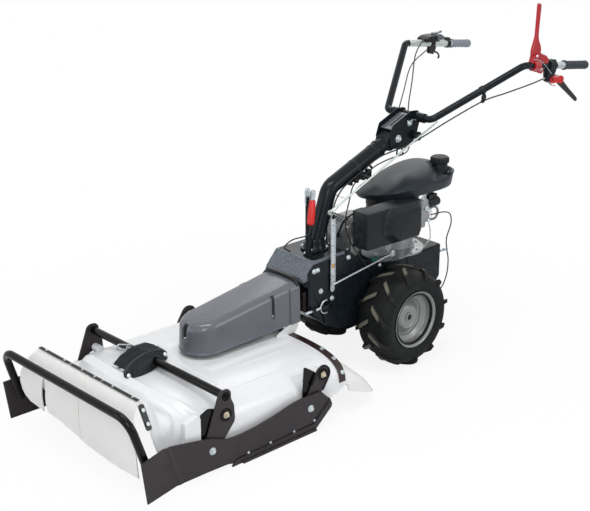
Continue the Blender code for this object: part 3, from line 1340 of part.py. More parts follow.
def belt_outline(offset):
    """Outline of the belt run round the two pulleys, at an offset from the pitch line."""
    big = DRIVEN_RADIUS - 0.004 + offset
    small = DRIVE_RADIUS - 0.004 + offset
    reach = DRIVE_Y - ROTOR_Y
    tilt = np.arccos((big - small) / reach)
    rear = circle_outline((0, DRIVE_Y), small, pi / 2 - tilt, pi / 2 + tilt, 12)
    front = circle_outline((0, ROTOR_Y), big, pi / 2 + tilt, 5 * pi / 2 - tilt, 18)
    return rear + front


def drive_belt():
    """V-belt lying in both grooves."""
    low = BELT_Z - BELT_WIDTH / 2 + 0.0015
    high = BELT_Z + BELT_WIDTH / 2 - 0.0015
    outer = belt_outline(0.004 - GAP)
    inner = belt_outline(-0.004)
    count = len(outer)
    verts = []
    for ring in (outer, inner):
        for z in (low, high):
            shrink = 1.0
            verts += [(x * shrink, y, z) for x, y in ring]
    faces = []
    for i in range(count):
        j = (i + 1) % count
        faces.append([i, j, count + j, count + i])
        faces.append([2 * count + i, 3 * count + i, 3 * count + j, 2 * count + j])
        faces.append([i, 2 * count + i, 2 * count + j, j])
        faces.append([count + i, count + j, 3 * count + j, 3 * count + i])
    return add_mesh("drive_belt", verts, faces, belt_rubber(), ROLL_PIVOT)


def cover_solid(name, inset, rear_extra, drop, material=None):
    """Long hood shape: straight flanks that close in a half round over the spindle, and a sloping top.

    Each level is the plan outline drawn in by a quarter circle's share, so the top edge is rounded.
    """
    half_rear = COVER_HALF - inset
    half_nose = COVER_HALF - 0.010 - inset
    nose_y = COVER_NOSE + half_nose + inset
    round_top = 0.030 - min(inset, 0.010)
    rear = COVER_REAR + rear_extra
    levels = [(0.0, None)] + [(round_top * (1 - cos(a)), round_top * (1 - sin(a)))
                              for a in (0.0, pi / 6, pi / 3, pi / 2)]
    verts = []
    for draw, down in levels:
        ring = [(half_rear - draw, rear), (half_nose - draw, nose_y)]
        ring += circle_outline((0, nose_y), half_nose - draw, 0, -pi, 12)[1:-1]
        ring += [(-(half_nose - draw), nose_y), (-(half_rear - draw), rear)]
        for x, y in ring:
            top = blend(y, [(COVER_NOSE, COVER_TOP_FRONT), (COVER_REAR, COVER_TOP_REAR)]) - inset
            low = blend(y, [(COVER_NOSE, COVER_BOTTOM_FRONT), (COVER_REAR, COVER_BOTTOM_REAR)]) - drop
            verts.append((x, y, low if down is None else top - down))
    count = len(verts) // len(levels)
    faces = [list(range(count)), list(range(len(verts) - count, len(verts)))]
    for level in range(len(levels) - 1):
        for i in range(count):
            j = (i + 1) % count
            a, b = level * count, (level + 1) * count
            faces.append([a + i, a + j, b + j, b + i])
    return add_mesh(name, verts, faces, material, ROLL_PIVOT, 40)


def belt_cover():
    """Plastic hood over the belt, open below and behind."""
    shell = cover_solid("belt_cover", 0.0, 0.0, 0.0, cover_plastic())
    return cut(shell, cover_solid("belt_cover_hollow", COVER_WALL, 0.02, 0.02))


def knife_rotor():
    """Heavy bar under the spindle with a pin at each end for a swinging knife."""
    low = ROTOR_Z
    high = ROTOR_Z + ROTOR_THICKNESS
    half = 0.045
    pivot = (0, ROTOR_Y, ROTOR_Z)
    outline = circle_outline((ROTOR_RADIUS, ROTOR_Y), half * 0.8, -pi / 2, pi / 2, 8)
    outline += [(0.06, ROTOR_Y + 0.06), (-0.06, ROTOR_Y + 0.06)]
    outline += circle_outline((-ROTOR_RADIUS, ROTOR_Y), half * 0.8, pi / 2, 3 * pi / 2, 8)
    outline += [(-0.06, ROTOR_Y - 0.06), (0.06, ROTOR_Y - 0.06)]
    bar = prism("knife_rotor", outline, 'Z', low, high, steel(), pivot)
    pins = []
    for i, side in enumerate((1, -1)):
        centre = (side * ROTOR_RADIUS, ROTOR_Y, low - KNIFE_THICKNESS - KNIFE_PIN_FOOT)
        profile = [(0, 0), (0.014, 0), (0.014, 0.006), (PIN_RADIUS, 0.006), (PIN_RADIUS, 0.020), (0, 0.020)]
        pins.append(turned("knife_pin_%d" % i, profile, centre, (0, 0, 1), None, pivot, 14))
    return fuse(bar, *pins)


def hammer_knife(name, side):
    """Swinging knife on the rotor's pin: a thick blade, square at its outer end."""
    high = ROTOR_Z - 0.0012
    low = high - KNIFE_THICKNESS
    x = side * ROTOR_RADIUS
    pivot = (x, ROTOR_Y, low)
    reach = KNIFE_REACH - ROTOR_RADIUS
    outline = circle_outline((0, 0), 0.024, pi / 2, 3 * pi / 2, 8) + [(reach, -0.024), (reach, 0.020),
                                                                      (reach - 0.012, 0.024)]
    outline = [(x + side * a, ROTOR_Y + b * side) for a, b in outline]
    blade = prism(name, outline, 'Z', low, high, steel(), pivot)
    hole = rod(name + "_hole", (x, ROTOR_Y, low - 0.01), (x, ROTOR_Y, high + 0.01), PIN_RADIUS + RUNNING,
               None, pivot, 14)
    return cut(blade, hole)


# Flaps and their strips

def sheet(name, grid, thickness, material):
    """A closed sheet: the grid is its outer face, and the inner face lies the thickness behind it."""
    grid = np.array(grid, float)
    down = np.gradient(grid, axis=0)
    along = np.gradient(grid, axis=1)
    normal = np.cross(down, along)
    normal /= np.linalg.norm(normal, axis=2)[:, :, None]
    rows, columns = grid.shape[:2]
    verts = np.concatenate([grid.reshape(-1, 3), (grid - normal * thickness).reshape(-1, 3)])
    layer = rows * columns
    faces = []
    for r in range(rows - 1):
        for c in range(columns - 1):
            a = r * columns + c
            faces.append([a, a + 1, a + columns + 1, a + columns])
            faces.append([layer + a, layer + a + columns, layer + a + columns + 1, layer + a + 1])
    rim_line = [c for c in range(columns)]
    rim_line += [r * columns + columns - 1 for r in range(1, rows)]
    rim_line += [(rows - 1) * columns + c for c in range(columns - 2, -1, -1)]
    rim_line += [r * columns for r in range(rows - 2, 0, -1)]
    for a, b in zip(rim_line, rim_line[1:] + rim_line[:1]):
        faces.append([a, b, layer + b, layer + a])
    return add_mesh(name, verts, faces, material, ROLL_PIVOT, 40)


def front_flap():
    """Rubber curtain: it leaves the strip forward and down, then hangs nearly to the ground."""
    y, z = DECK_FRONT - FLAP_THICKNESS - 0.0008, DECK_LIP - 0.0006
    line = [(y, z, -0.0015), (y - 0.022, z - 0.018, 0.009), (y - 0.042, z - 0.048, 0.026),
            (y - 0.056, z - 0.100, 0.046), (y - 0.059, z - 0.170, 0.051), (y - 0.056, z - 0.212, 0.052),
            (y - 0.052, FLAP_LOW, 0.052)]
    line = [(fy, fz, LIP_HALF + wider) for fy, fz, wider in line]
    grid = [[(half * share, fy, fz) for share in (-1, -0.5, 0, 0.5, 1)] for fy, fz, half in line]
    return sheet("front_flap", grid, FLAP_THICKNESS, flap_rubber())


def front_strip():
    """Steel strip over the deck's front lip that clamps the flap, its ends bent down the slanting sides."""
    section = deck_section(DECK_FRONT, 0.0)
    inner = np.array([(x, z) for x, y, z in section])[1:-1]
    return band("front_strip", inner, 0.004, DECK_FRONT - 0.013, DECK_FRONT + 0.009, deck_paint())


def rear_strip():
    """Dark strip bolted along the deck's rear arch; it clamps the rear flap."""
    section = deck_section(DECK_REAR, 0.0)
    outer = np.array([(x, z) for x, y, z in section])
    return band("rear_strip", outer, -0.024, DECK_REAR + GAP, DECK_REAR + 0.005, black_paint())


def band(name, line, rise, front, back, material):
    """A flat band between a line of (x, z) points and the same line moved out by the rise."""
    step = np.gradient(line, axis=0)
    normal = np.stack([step[:, 1], -step[:, 0]], 1)
    normal /= np.linalg.norm(normal, axis=1)[:, None]
    start = GAP if rise > 0 else 0.0
    points = line + normal * start
    inner = line + normal * (start + rise)
    verts = []
    for y in (front, back):
        verts += [(x, y, z) for x, z in points] + [(x, y, z) for x, z in inner]
    count = len(points)
    faces = []
    for i in range(count - 1):
        faces.append([i, i + 1, count + i + 1, count + i])
        faces.append([2 * count + i, 3 * count + i, 3 * count + i + 1, 2 * count + i + 1])
        faces.append([i, 2 * count + i, 2 * count + i + 1, i + 1])
        faces.append([count + i, count + i + 1, 3 * count + i + 1, 3 * count + i])
    for i in (0, count - 1):
        faces.append([i, count + i, 3 * count + i, 2 * count + i])
    return add_mesh(name, verts, faces, material, ROLL_PIVOT, 40)


def rear_flap():
    """Rubber skirt behind the rear strip: it spreads backwards and down to just above the ground."""
    top = deck_section(DECK_REAR, 0.003)
    last = len(top) - 1
    hem = [(DECK_HALF + 0.012, -0.492, 0.088), (DECK_HALF + 0.020, -0.425, 0.052),
           (DECK_HALF + 0.022, -0.352, 0.030)]
    grid = []
    for t in (0.0, 0.3, 0.65, 1.0):
        row = []
        for k, (x, y, z) in enumerate(top):
            place = min(k, last - k)
            sign = 1 if k <= last / 2 else -1
            if place < 3:
                low = (sign * hem[place][0], hem[place][1], hem[place][2])
            else:
                low = ((DECK_HALF - 0.008) * (last / 2 - k) / (last / 2 - 3), -0.338, 0.030)
            start = (x, DECK_REAR + 0.0056 + FLAP_THICKNESS * 0.62, z)
            bow = 0.012 * sin(pi * t)
            row.append([a + (b - a) * t + (bow if axis == 2 else 0.0)
                        for axis, (a, b) in enumerate(zip(start, low))])
        grid.append(row)
    return sheet("rear_flap", grid, FLAP_THICKNESS, flap_rubber())


# Height linkage, skids and front bar

def arm_foot(pivot_y):
    return pivot_y - ARM_LEAN, PIVOT_Z - ARM_DROP


def lift_arm(name, side, pivot_y, pivot):
    """Plate arm between the deck's pivot and the skid's bolt, with its two bolts' places."""
    low_x, high_x = sorted((side * ARM_INNER, side * (ARM_INNER + ARM_PLATE)))
    foot = arm_foot(pivot_y)
    plate = prism(name, tapered_link((pivot_y, PIVOT_Z), 0.036, foot, 0.026), 'X', low_x, high_x,
                  skid_paint(), pivot)
    bolt_out = SKID_INNER + SKID_PLATE + 0.004
    bolt = rod(name + "_bolt", (side * (ARM_INNER + 0.001), foot[0], foot[1]),
               (side * bolt_out, foot[0], foot[1]), PIN_RADIUS, None, pivot, 12)
    hole = rod(name + "_hole", (side * (ARM_INNER - 0.01), pivot_y, PIVOT_Z),
               (side * (ARM_INNER + ARM_PLATE + 0.01), pivot_y, PIVOT_Z), PIN_RADIUS + RUNNING, None, pivot, 12)
    return plate, bolt, hole


def rear_arm(name, side):
    pivot = (0, REAR_PIVOT_Y, PIVOT_Z)
    plate, bolt, hole = lift_arm(name, side, REAR_PIVOT_Y, pivot)
    return cut(fuse(plate, bolt), hole)


def lift_frame():
    """Welded frame of the two front arms and the cross tube over the deck."""
    pivot = (0, FRONT_PIVOT_Y, PIVOT_Z)
    frame, bolt, hole = lift_arm("lift_frame", 1, FRONT_PIVOT_Y, pivot)
    other, other_bolt, other_hole = lift_arm("lift_frame_right_arm", -1, FRONT_PIVOT_Y, pivot)
    top = (FRONT_PIVOT_Y, PIVOT_Z + LIFT_TUBE_RISE)
    ears = [prism("lift_frame_ear_%d" % i, tapered_link((FRONT_PIVOT_Y, PIVOT_Z), 0.034, top, 0.022), 'X',
                  *sorted((side * ARM_INNER, side * (ARM_INNER + ARM_PLATE))), None, pivot)
            for i, side in enumerate((1, -1))]
    reach = ARM_INNER + ARM_PLATE - 0.001
    tube = rod("lift_frame_tube", (-reach, *top), (reach, *top), LIFT_TUBE_RADIUS, None, pivot, 16)
    fuse(frame, other, bolt, other_bolt, *ears, tube)
    return cut(frame, hole, other_hole)


def skid(name, side):
    """Long skid plate: the flared front panel, the bend, the plate with its bolts and the worn sole."""
    verts = []
    for i, ((ty, tz), (ly, lz)) in enumerate(zip(SKID_TOP, SKID_LOW)):
        flare = SKID_FLARE if i == 0 else 0.0
        for x in (SKID_INNER + flare, SKID_INNER + SKID_PLATE + flare):
            verts.append((side * x, ty, tz))
            verts.append((side * x, ly, lz))
    faces = []
    for i in range(len(SKID_TOP) - 1):
        a, b = 4 * i, 4 * i + 4
        faces += [[a, b, b + 1, a + 1], [a + 2, a + 3, b + 3, b + 2], [a, a + 2, b + 2, b],
                  [a + 1, b + 1, b + 3, a + 3]]
    end = 4 * (len(SKID_TOP) - 1)
    faces += [[0, 1, 3, 2], [end, end + 2, end + 3, end + 1]]
    pivot = (0, *arm_foot(FRONT_PIVOT_Y))
    plate = add_mesh(name, verts, faces, skid_paint(), pivot, 20)
    flat = [y for y, z in SKID_LOW if z == 0.0]
    near, far = sorted((side * (SKID_INNER - SOLE_IN), side * (SKID_INNER + SKID_PLATE + SOLE_OUT)))
    sole = block(name + "_sole", (near, min(flat), 0.0), (far, max(flat), SOLE_THICKNESS), None, pivot)
    fuse(plate, sole)
    tools = []
    for i, pivot_y in enumerate((FRONT_PIVOT_Y, REAR_PIVOT_Y)):
        y, z = arm_foot(pivot_y)
        tools.append(rod(name + "_bore_%d" % i, (side * (SKID_INNER - 0.01), y, z),
                         (side * (SKID_INNER + SKID_PLATE + 0.01), y, z), PIN_RADIUS + RUNNING,
                          None, pivot, 12))
    return cut(plate, *tools)


def front_bar():
    """Round bar bent down at both ends onto the inner faces of the skids' front panels."""
    low = (FRONT_BAR_HALF + 0.012, DECK_FRONT - 0.040, 0.105)
    high = (FRONT_BAR_HALF, FRONT_BAR_Y, FRONT_BAR_Z)
    route = rounded_route([low, high, (-high[0], high[1], high[2]), (-low[0], low[1], low[2])], 0.062, 6)
    pivot = (0, *arm_foot(FRONT_PIVOT_Y))
    return swept("front_bar", route, FRONT_BAR_RADIUS, black_paint(), pivot, 12)


def height_latch():
    """Ribbed leaf-shaped black housing on the deck, with a tunnel in which the cross tube swings."""
    y, z = FRONT_PIVOT_Y, PIVOT_Z + LIFT_TUBE_RISE
    floor = DECK_TOP + GAP * 2
    outline = [(y - 0.078, floor), (y - 0.080, z - 0.012), (y - 0.060, z + 0.018), (y - 0.010, z + 0.040),
               (y + 0.040, z + 0.038), (y + 0.075, z + 0.012), (y + 0.072, floor)]
    body = prism("height_latch", outline, 'X', -0.115, -0.020, black_plastic(), ROLL_PIVOT)
    reach = LIFT_TUBE_RISE + LIFT_TUBE_RADIUS + 0.002
    swing = circle_outline((y, PIVOT_Z), reach, pi / 2 - TUBE_SWING, pi / 2 + TUBE_SWING, 8)
    side = LIFT_TUBE_RISE * sin(TUBE_SWING) + LIFT_TUBE_RADIUS + 0.002
    tunnel = [(y + side, floor - 0.01), (y + side, z + 0.004)] + swing
    tunnel += [(y - side, z + 0.004), (y - side, floor - 0.01)]
    x, pin_y, pin_z = latch_pivot()
    pin = rod("latch_pin", (x - 0.0015, pin_y, pin_z), (-0.114, pin_y, pin_z), LATCH_PIN_RADIUS,
              None, ROLL_PIVOT, 12)
    return cut(fuse(body, pin), prism("height_latch_tunnel", tunnel, 'X', -0.2, 0.1))


def latch_pivot():
    return (-0.122, FRONT_PIVOT_Y - 0.030, PIVOT_Z + LIFT_TUBE_RISE + 0.024)


def latch_lever():
    """Bright loop-shaped lever on the housing's far side that frees the latch."""
    x, y, z = pivot = latch_pivot()
    plate = prism("latch_lever", tapered_link((y, z), 0.012, (y - 0.006, z + 0.040), 0.012),
                  'X', -0.122, -0.1165,
                  zinc(), pivot)
    slot = rod("latch_lever_slot", (-0.14, y - 0.006, z + 0.040), (-0.10, y - 0.006, z + 0.040), 0.006, None,
               pivot, 16)
    hole = rod("latch_lever_hole", (x - 0.01, y, z), (x + 0.01, y, z),
               LATCH_PIN_RADIUS + RUNNING, None, pivot, 12)
    return cut(plate, slot, hole)


def mower():
    mower_deck()
    bevel_gearbox()
    drive_pulley()
    spindle_housing()
    rotor_spindle()
    drive_belt()
    belt_cover()
    knife_rotor()
    hammer_knife("left_knife", 1)
    hammer_knife("right_knife", -1)
    front_flap()
    front_strip()
    rear_strip()
    rear_flap()
    for word, side in (("left", 1), ("right", -1)):
        rear_arm(word + "_rear_arm", side)
        skid(word + "_skid", side)
    lift_frame()
    front_bar()
    height_latch()
    latch_lever()


def tractor():
    wheels()
    chassis = chassis_frame()
    fuse(chassis, linkage_pin(), latch_guide(), cable_clip())
    gearbox_housing()
    front_cover()
    pto_shaft()
    hitch_latch()
    engine_crankcase()
    muffler_box()
    fuel_tank()
    fuel_cap()
    carburettor()


def controls():
    column = handlebar_column()
    fuse(column, column_saddle(), *swivel_post())
    handlebar_head()
    clamp_knob()
    clamp_handle()
    for word, side in (("left", 1), ("right", -1)):
        handlebar(word + "_handlebar", side)
        grip(word + "_grip", side)
    clutch_bracket()
    clutch_lever()
    lever_perch()
    brake_lever()
    throttle_box()
    throttle_lever()
    right_lever()
    lever_cable()
    throttle_cable()
    right_cable()
    swivel_lever()
    swivel_cable()
    linkage_bar()
    linkage_rod()
    shift_rod()


mower()
tractor()
controls()
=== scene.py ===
import math

import bmesh
import bpy
import numpy as np
from mathutils import Matrix, Vector


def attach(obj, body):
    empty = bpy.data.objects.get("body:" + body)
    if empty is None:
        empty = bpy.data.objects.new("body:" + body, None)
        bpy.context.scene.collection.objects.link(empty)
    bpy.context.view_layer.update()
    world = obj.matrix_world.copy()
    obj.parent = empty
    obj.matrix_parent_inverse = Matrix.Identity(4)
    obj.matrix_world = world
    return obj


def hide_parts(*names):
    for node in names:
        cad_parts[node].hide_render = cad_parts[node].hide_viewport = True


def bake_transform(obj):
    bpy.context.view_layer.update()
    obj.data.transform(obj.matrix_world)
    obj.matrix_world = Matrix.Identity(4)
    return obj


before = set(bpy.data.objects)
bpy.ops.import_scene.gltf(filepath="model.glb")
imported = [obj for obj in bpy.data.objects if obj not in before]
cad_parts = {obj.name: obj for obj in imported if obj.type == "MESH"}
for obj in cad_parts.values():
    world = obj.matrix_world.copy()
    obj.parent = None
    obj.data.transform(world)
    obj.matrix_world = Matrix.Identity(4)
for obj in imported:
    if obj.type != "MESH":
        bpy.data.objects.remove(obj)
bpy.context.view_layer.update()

# Lengths below are metres in the machine's own measure: x to the left side, y back from the wheel axle and
# z up from the ground. The model's frame has its origin under the machine's middle, so y is moved by SHIFT.
SHIFT = 0.2585
TURN = 2 * math.pi
BOTH = (1, -1)
LEFT, BACK, ABOVE = (1, 0, 0), (0, 1, 0), (0, 0, 1)


# Camera, at the photograph's angle

IMAGE = (590, 511)
FOCAL_PIXELS = 1300.0
SENSOR = 36.0
AZIMUTH, ELEVATION = math.radians(46.759), math.radians(20.342)
DISTANCE = 4.34917
TARGET = Vector((0.49633, -0.87234 + SHIFT, 0.75992))


def camera():
    """The camera looks from the machine's left front; its sensor's width is IMAGE[0] pixels."""
    right = Vector((math.cos(AZIMUTH), math.sin(AZIMUTH), 0.0))
    back = Vector((math.sin(AZIMUTH) * math.cos(ELEVATION), -math.cos(AZIMUTH) * math.cos(ELEVATION),
        math.sin(ELEVATION)))
    up = back.cross(right)
    data = bpy.data.cameras.new("view_camera")
    data.sensor_width = SENSOR
    data.sensor_fit = 'HORIZONTAL'
    data.lens = FOCAL_PIXELS / IMAGE[0] * SENSOR
    data.clip_end = 100.0
    made = bpy.data.objects.new("view_camera", data)
    axes = Matrix((right, up, back)).transposed().to_4x4()
    made.matrix_world = Matrix.Translation(TARGET + back * DISTANCE) @ axes
    bpy.context.scene.collection.objects.link(made)
    bpy.context.scene.camera = made


camera()


# Nodes

def wire(tree, made, sockets):
    """Gives each named socket of a node its constant, or links it to another node's output."""
    for label, value in sockets.items():
        if isinstance(value, bpy.types.NodeSocket):
            tree.links.new(value, made.inputs[label])
        else:
            made.inputs[label].default_value = value


def node(tree, kind, sockets=None, **modes):
    """A new shader node with its modes and sockets set; gives the node's outputs."""
    made = tree.nodes.new("ShaderNode" + kind)
    for label, value in modes.items():
        setattr(made, label, value)
    wire(tree, made, sockets or {})
    return made.outputs


def remapped(tree, value, low, high, start=0.0, end=1.0, **modes):
    """A value taken from the range low to high over to the range start to end, and held at its ends."""
    sockets = {"Value": value, "From Min": low, "From Max": high, "To Min": start, "To Max": end}
    return node(tree, "MapRange", sockets, **modes)["Result"]


def combined(tree, operation, first, second):
    """Two values worked together by one operation."""
    return node(tree, "Math", {0: first, 1: second}, operation=operation)["Value"]


def colour_mix(tree, mask, first, second):
    """Colour mix by a mask: first where it is 0 and second where it is 1, each a colour or a socket."""
    return node(tree, "Mix", {0: mask, 6: first, 7: second}, data_type='RGBA')[2]


# Light: a white room, and five broad lamps above, on the left front, in front, at the left side and behind

WHITE = (1.0, 1.0, 1.0, 1.0)
ROOM_COLOUR = (0.96, 0.975, 1.0, 1.0)
ROOM_LOW, ROOM_HIGH = 0.06, 0.6
ROOM_RISE = (-0.15, 0.8)


def lamp(name, place, aim, size, power):
    """A rectangular lamp at a place, turned towards its aim."""
    data = bpy.data.lights.new(name, 'AREA')
    data.shape = 'RECTANGLE'
    data.size, data.size_y = size
    data.energy = power
    made = bpy.data.objects.new(name, data)
    made.location = place
    made.rotation_euler = (Vector(aim) - Vector(place)).to_track_quat('-Z', 'Y').to_euler()
    bpy.context.scene.collection.objects.link(made)


def room():
    """White to the camera and in reflections; its light is dim from below and the sides and bright from
    above."""
    world = bpy.data.worlds.new("white_room")
    bpy.context.scene.world = world
    world.use_nodes = True
    tree = world.node_tree
    tree.nodes.clear()
    height = node(tree, "SeparateXYZ", {0: node(tree, "TexCoord")["Generated"]})["Z"]
    light = remapped(tree, height, *ROOM_RISE, ROOM_LOW, ROOM_HIGH, interpolation_type='SMOOTHSTEP')
    fill = node(tree, "Background", {"Color": ROOM_COLOUR, "Strength": light})
    white = node(tree, "Background", {"Color": WHITE, "Strength": 1.0})
    rays = node(tree, "LightPath")
    seen = rays["Is Camera Ray"]
    for kind in ("Is Glossy Ray", "Is Transmission Ray"):
        seen = combined(tree, 'MAXIMUM', seen, rays[kind])
    choice = node(tree, "MixShader", {0: seen, 1: fill[0], 2: white[0]})
    node(tree, "OutputWorld", {"Surface": choice[0]})


room()
lamp("top_lamp", (0.5, -0.9, 3.4), (0.1, -0.3, 0.3), (2.2, 0.36), 38.0)
lamp("key_lamp", (2.9, -3.0, 2.5), (0.1, -0.6, 0.4), (1.1, 1.8), 44.0)
lamp("front_lamp", (-1.2, -4.0, 1.3), (0.1, -1.2, 0.2), (2.0, 1.0), 14.0)
lamp("side_lamp", (3.4, 1.3, 1.9), (0.0, 0.2, 0.6), (1.2, 1.6), 24.0)
lamp("back_lamp", (-2.4, 2.8, 3.0), (0.0, 0.3, 0.6), (2.2, 2.2), 22.0)
bpy.context.scene.view_settings.view_transform = 'Standard'


# Shared effects for the materials

def effect(name, inputs, outputs):
    """A node group with its sockets, its inputs by name, and the node that its outputs are linked to."""
    tree = bpy.data.node_groups.new(name, 'ShaderNodeTree')
    for label, value in inputs:
        socket = tree.interface.new_socket(name=label, in_out='INPUT', socket_type='NodeSocketFloat')
        socket.default_value = value
    for label, kind in outputs:
        tree.interface.new_socket(name=label, in_out='OUTPUT', socket_type=kind)
    return tree, tree.nodes.new("NodeGroupInput").outputs, tree.nodes.new("NodeGroupOutput")


def noise_on(tree, scale, detail=3.0):
    """Noise on Object coordinates, as fine as the scale that a socket gives."""
    place = node(tree, "TexCoord")["Object"]
    return node(tree, "TexNoise", {"Vector": place, "Scale": scale, "Detail": detail})["Fac"]


def surface_grain():
    """Fine grain as a normal: noise as the height of a bump."""
    tree, given, out = effect("surface_grain", [("Scale", 700.0), ("Height", 0.2)],
        [("Normal", 'NodeSocketVector')])
    height = noise_on(tree, given["Scale"])
    bump = node(tree, "Bump", {"Distance": 0.0006, "Height": height, "Strength": given["Height"]})
    wire(tree, out, {"Normal": bump["Normal"]})
    return tree


def tone_drift():
    """A mask that wanders slowly over the surface, with fine speckle in it."""
    tree, given, out = effect("tone_drift", [("Scale", 6.0), ("Speckle", 180.0)],
        [("Mask", 'NodeSocketFloat')])
    slow = noise_on(tree, given["Scale"], 4.0)
    fine = noise_on(tree, given["Speckle"], 2.0)
    both = node(tree, "Mix", {0: 0.35, 2: slow, 3: fine}, data_type='FLOAT')[0]
    wire(tree, out, {"Mask": remapped(tree, both, 0.36, 0.64)})
    return tree


def thinned(tree, given, out, mask, detail, low, high):
    """Puts out the mask times noise, that counts from low to high, times the amount given."""
    breaks = remapped(tree, noise_on(tree, given["Scale"], detail), low, high)
    share = combined(tree, 'MULTIPLY', combined(tree, 'MULTIPLY', mask, breaks), given["Amount"])
    wire(tree, out, {"Mask": share})


def worn_and_lit_edges():
    """A mask of the convex edges, broken up by noise: where handling rubs the finish, and where a lighter
    colour is painted on the edges as highlight.
    """
    tree, given, out = effect("worn_and_lit_edges", [("Scale", 40.0), ("Amount", 0.5)],
        [("Mask", 'NodeSocketFloat')])
    edge = remapped(tree, node(tree, "NewGeometry")["Pointiness"], 0.535, 0.62)
    thinned(tree, given, out, edge, 5.0, 0.42, 0.62)
    return tree


def settled_dust():
    """A mask of the faces that look up, thinned by noise: dust that has settled."""
    tree, given, out = effect("settled_dust", [("Scale", 14.0), ("Amount", 0.2)],
        [("Mask", 'NodeSocketFloat')])
    height = node(tree, "SeparateXYZ", {0: node(tree, "NewGeometry")["Normal"]})["Z"]
    thinned(tree, given, out, remapped(tree, height, 0.2, 1.0), 6.0, 0.4, 0.7)
    return tree


GRAIN, DRIFT, EDGE_WEAR_AND_HIGHLIGHT, DUST = surface_grain(), tone_drift(), worn_and_lit_edges(), settled_dust()
DUST_COLOUR = (0.42, 0.39, 0.34, 1.0)
COAT_ROUGHNESS = 0.12
HAMMER_CELLS, HAMMER_DEPTH, HAMMER_STRENGTH = 210.0, 0.0016, 0.75
HAMMER_CREST = (0.125, 0.148, 0.178, 1.0)


def use(tree, group, **amounts):
    """A shared effect in a material, with amounts of its own; gives its outputs."""
    return node(tree, "Group", amounts, node_tree=group)


def finish(name, colour, second, rough=(0.4, 0.5), metallic=0.0, coat=0.0, specular=0.5, grain=(700.0, 0.2),
        drift=6.0, dust=0.08, edge_wear_and_highlight=None):
    """One finish: two close tones that drift, edges lightened for wear and as painted highlight, dust, a
    roughness that follows the drift, and grain."""
    made = bpy.data.materials.new(name)
    made.use_nodes = True
    tree = made.node_tree
    tone = use(tree, DRIFT, Scale=drift)["Mask"]
    result = colour_mix(tree, tone, (*colour, 1.0), (*second, 1.0))
    # Lighter colour on the convex edges: partly wear, partly a painted highlight along them.
    if edge_wear_and_highlight:
        result = colour_mix(tree, use(tree, EDGE_WEAR_AND_HIGHLIGHT, Amount=edge_wear_and_highlight[1])["Mask"], result, (*edge_wear_and_highlight[0], 1.0))
    if dust:
        result = colour_mix(tree, use(tree, DUST, Amount=dust)["Mask"], result, DUST_COLOUR)
    shader = tree.nodes["Principled BSDF"]
    wire(tree, shader, {"Base Color": result, "Roughness": remapped(tree, tone, 0.0, 1.0, *rough)})
    wire(tree, shader, {"Metallic": metallic, "Coat Weight": coat, "Coat Roughness": COAT_ROUGHNESS,
        "Specular IOR Level": specular})
    if grain:
        wire(tree, shader, {"Normal": use(tree, GRAIN, Scale=grain[0], Height=grain[1])["Normal"]})
    return made


def laid_over(tree, mask, colour):
    """Lays a second colour over a finish where the mask is 1."""
    shader = tree.nodes["Principled BSDF"]
    before = shader.inputs["Base Color"].links[0].from_socket
    wire(tree, shader, {"Base Color": colour_mix(tree, mask, before, colour)})


def hammered():
    """Hammer paint: round dimples from a cell texture, darker in the hollows, under a clear coat."""
    made = finish("hammered_finish", (0.036, 0.044, 0.056), (0.022, 0.028, 0.036), (0.28, 0.4), coat=0.3,
        grain=None, dust=0.01)
    tree = made.node_tree
    sockets = {"Scale": HAMMER_CELLS, "Vector": node(tree, "TexCoord")["Object"]}
    cells = node(tree, "TexVoronoi", sockets, feature='SMOOTH_F1')["Distance"]
    bump = node(tree, "Bump", {"Strength": HAMMER_STRENGTH, "Distance": HAMMER_DEPTH, "Height": cells})
    wire(tree, tree.nodes["Principled BSDF"], {"Normal": bump["Normal"]})
    laid_over(tree, remapped(tree, cells, 0.1, 0.55), HAMMER_CREST)
    return made


def tyre_rubber():
    """Black rubber, worn paler where the mesh's point attribute lug_face is 1."""
    made = finish("tyre_finish", (0.008, 0.0088, 0.0094), (0.012, 0.013, 0.0136), (0.5, 0.64), specular=0.12,
        grain=(900.0, 0.35), drift=9.0, dust=0.035, edge_wear_and_highlight=((0.05, 0.047, 0.043), 0.4))
    worn = node(made.node_tree, "Attribute", attribute_name="lug_face")["Fac"]
    laid_over(made.node_tree, worn, (0.165, 0.155, 0.125, 1.0))
    return made


DECK = finish("light_grey_finish", (0.82, 0.83, 0.84), (0.775, 0.785, 0.795), (0.24, 0.33), coat=0.15,
    grain=(420.0, 0.06), drift=2.5, dust=0.03)
GLOSS_BLACK = finish("gloss_black_finish", (0.0024, 0.0024, 0.0028), (0.0036, 0.0036, 0.004), (0.06, 0.1),
    coat=0.12, specular=0.12, grain=(260.0, 0.02), dust=0.006, edge_wear_and_highlight=((0.035, 0.035, 0.035), 0.4))
SKID = finish("brown_black_finish", (0.037, 0.0305, 0.0345), (0.027, 0.0222, 0.025), (0.3, 0.42), coat=0.03,
    specular=0.2, grain=(800.0, 0.02), drift=4.0, dust=0.015, edge_wear_and_highlight=((0.1, 0.09, 0.09), 0.5))
BLUE_BLACK = finish("blue_black_finish", (0.0058, 0.0088, 0.0118), (0.0084, 0.012, 0.0156), (0.2, 0.3),
    coat=0.03, specular=0.14, grain=(500.0, 0.02), drift=5.0, dust=0.008, edge_wear_and_highlight=((0.05, 0.055, 0.06), 0.4))
HAMMERED = hammered()
COVER = finish("cover_finish", (0.128, 0.133, 0.156), (0.112, 0.117, 0.139), (0.2, 0.27), coat=0.1,
    specular=0.4, grain=(900.0, 0.05), drift=3.0, dust=0.015, edge_wear_and_highlight=((0.12, 0.125, 0.15), 0.35))
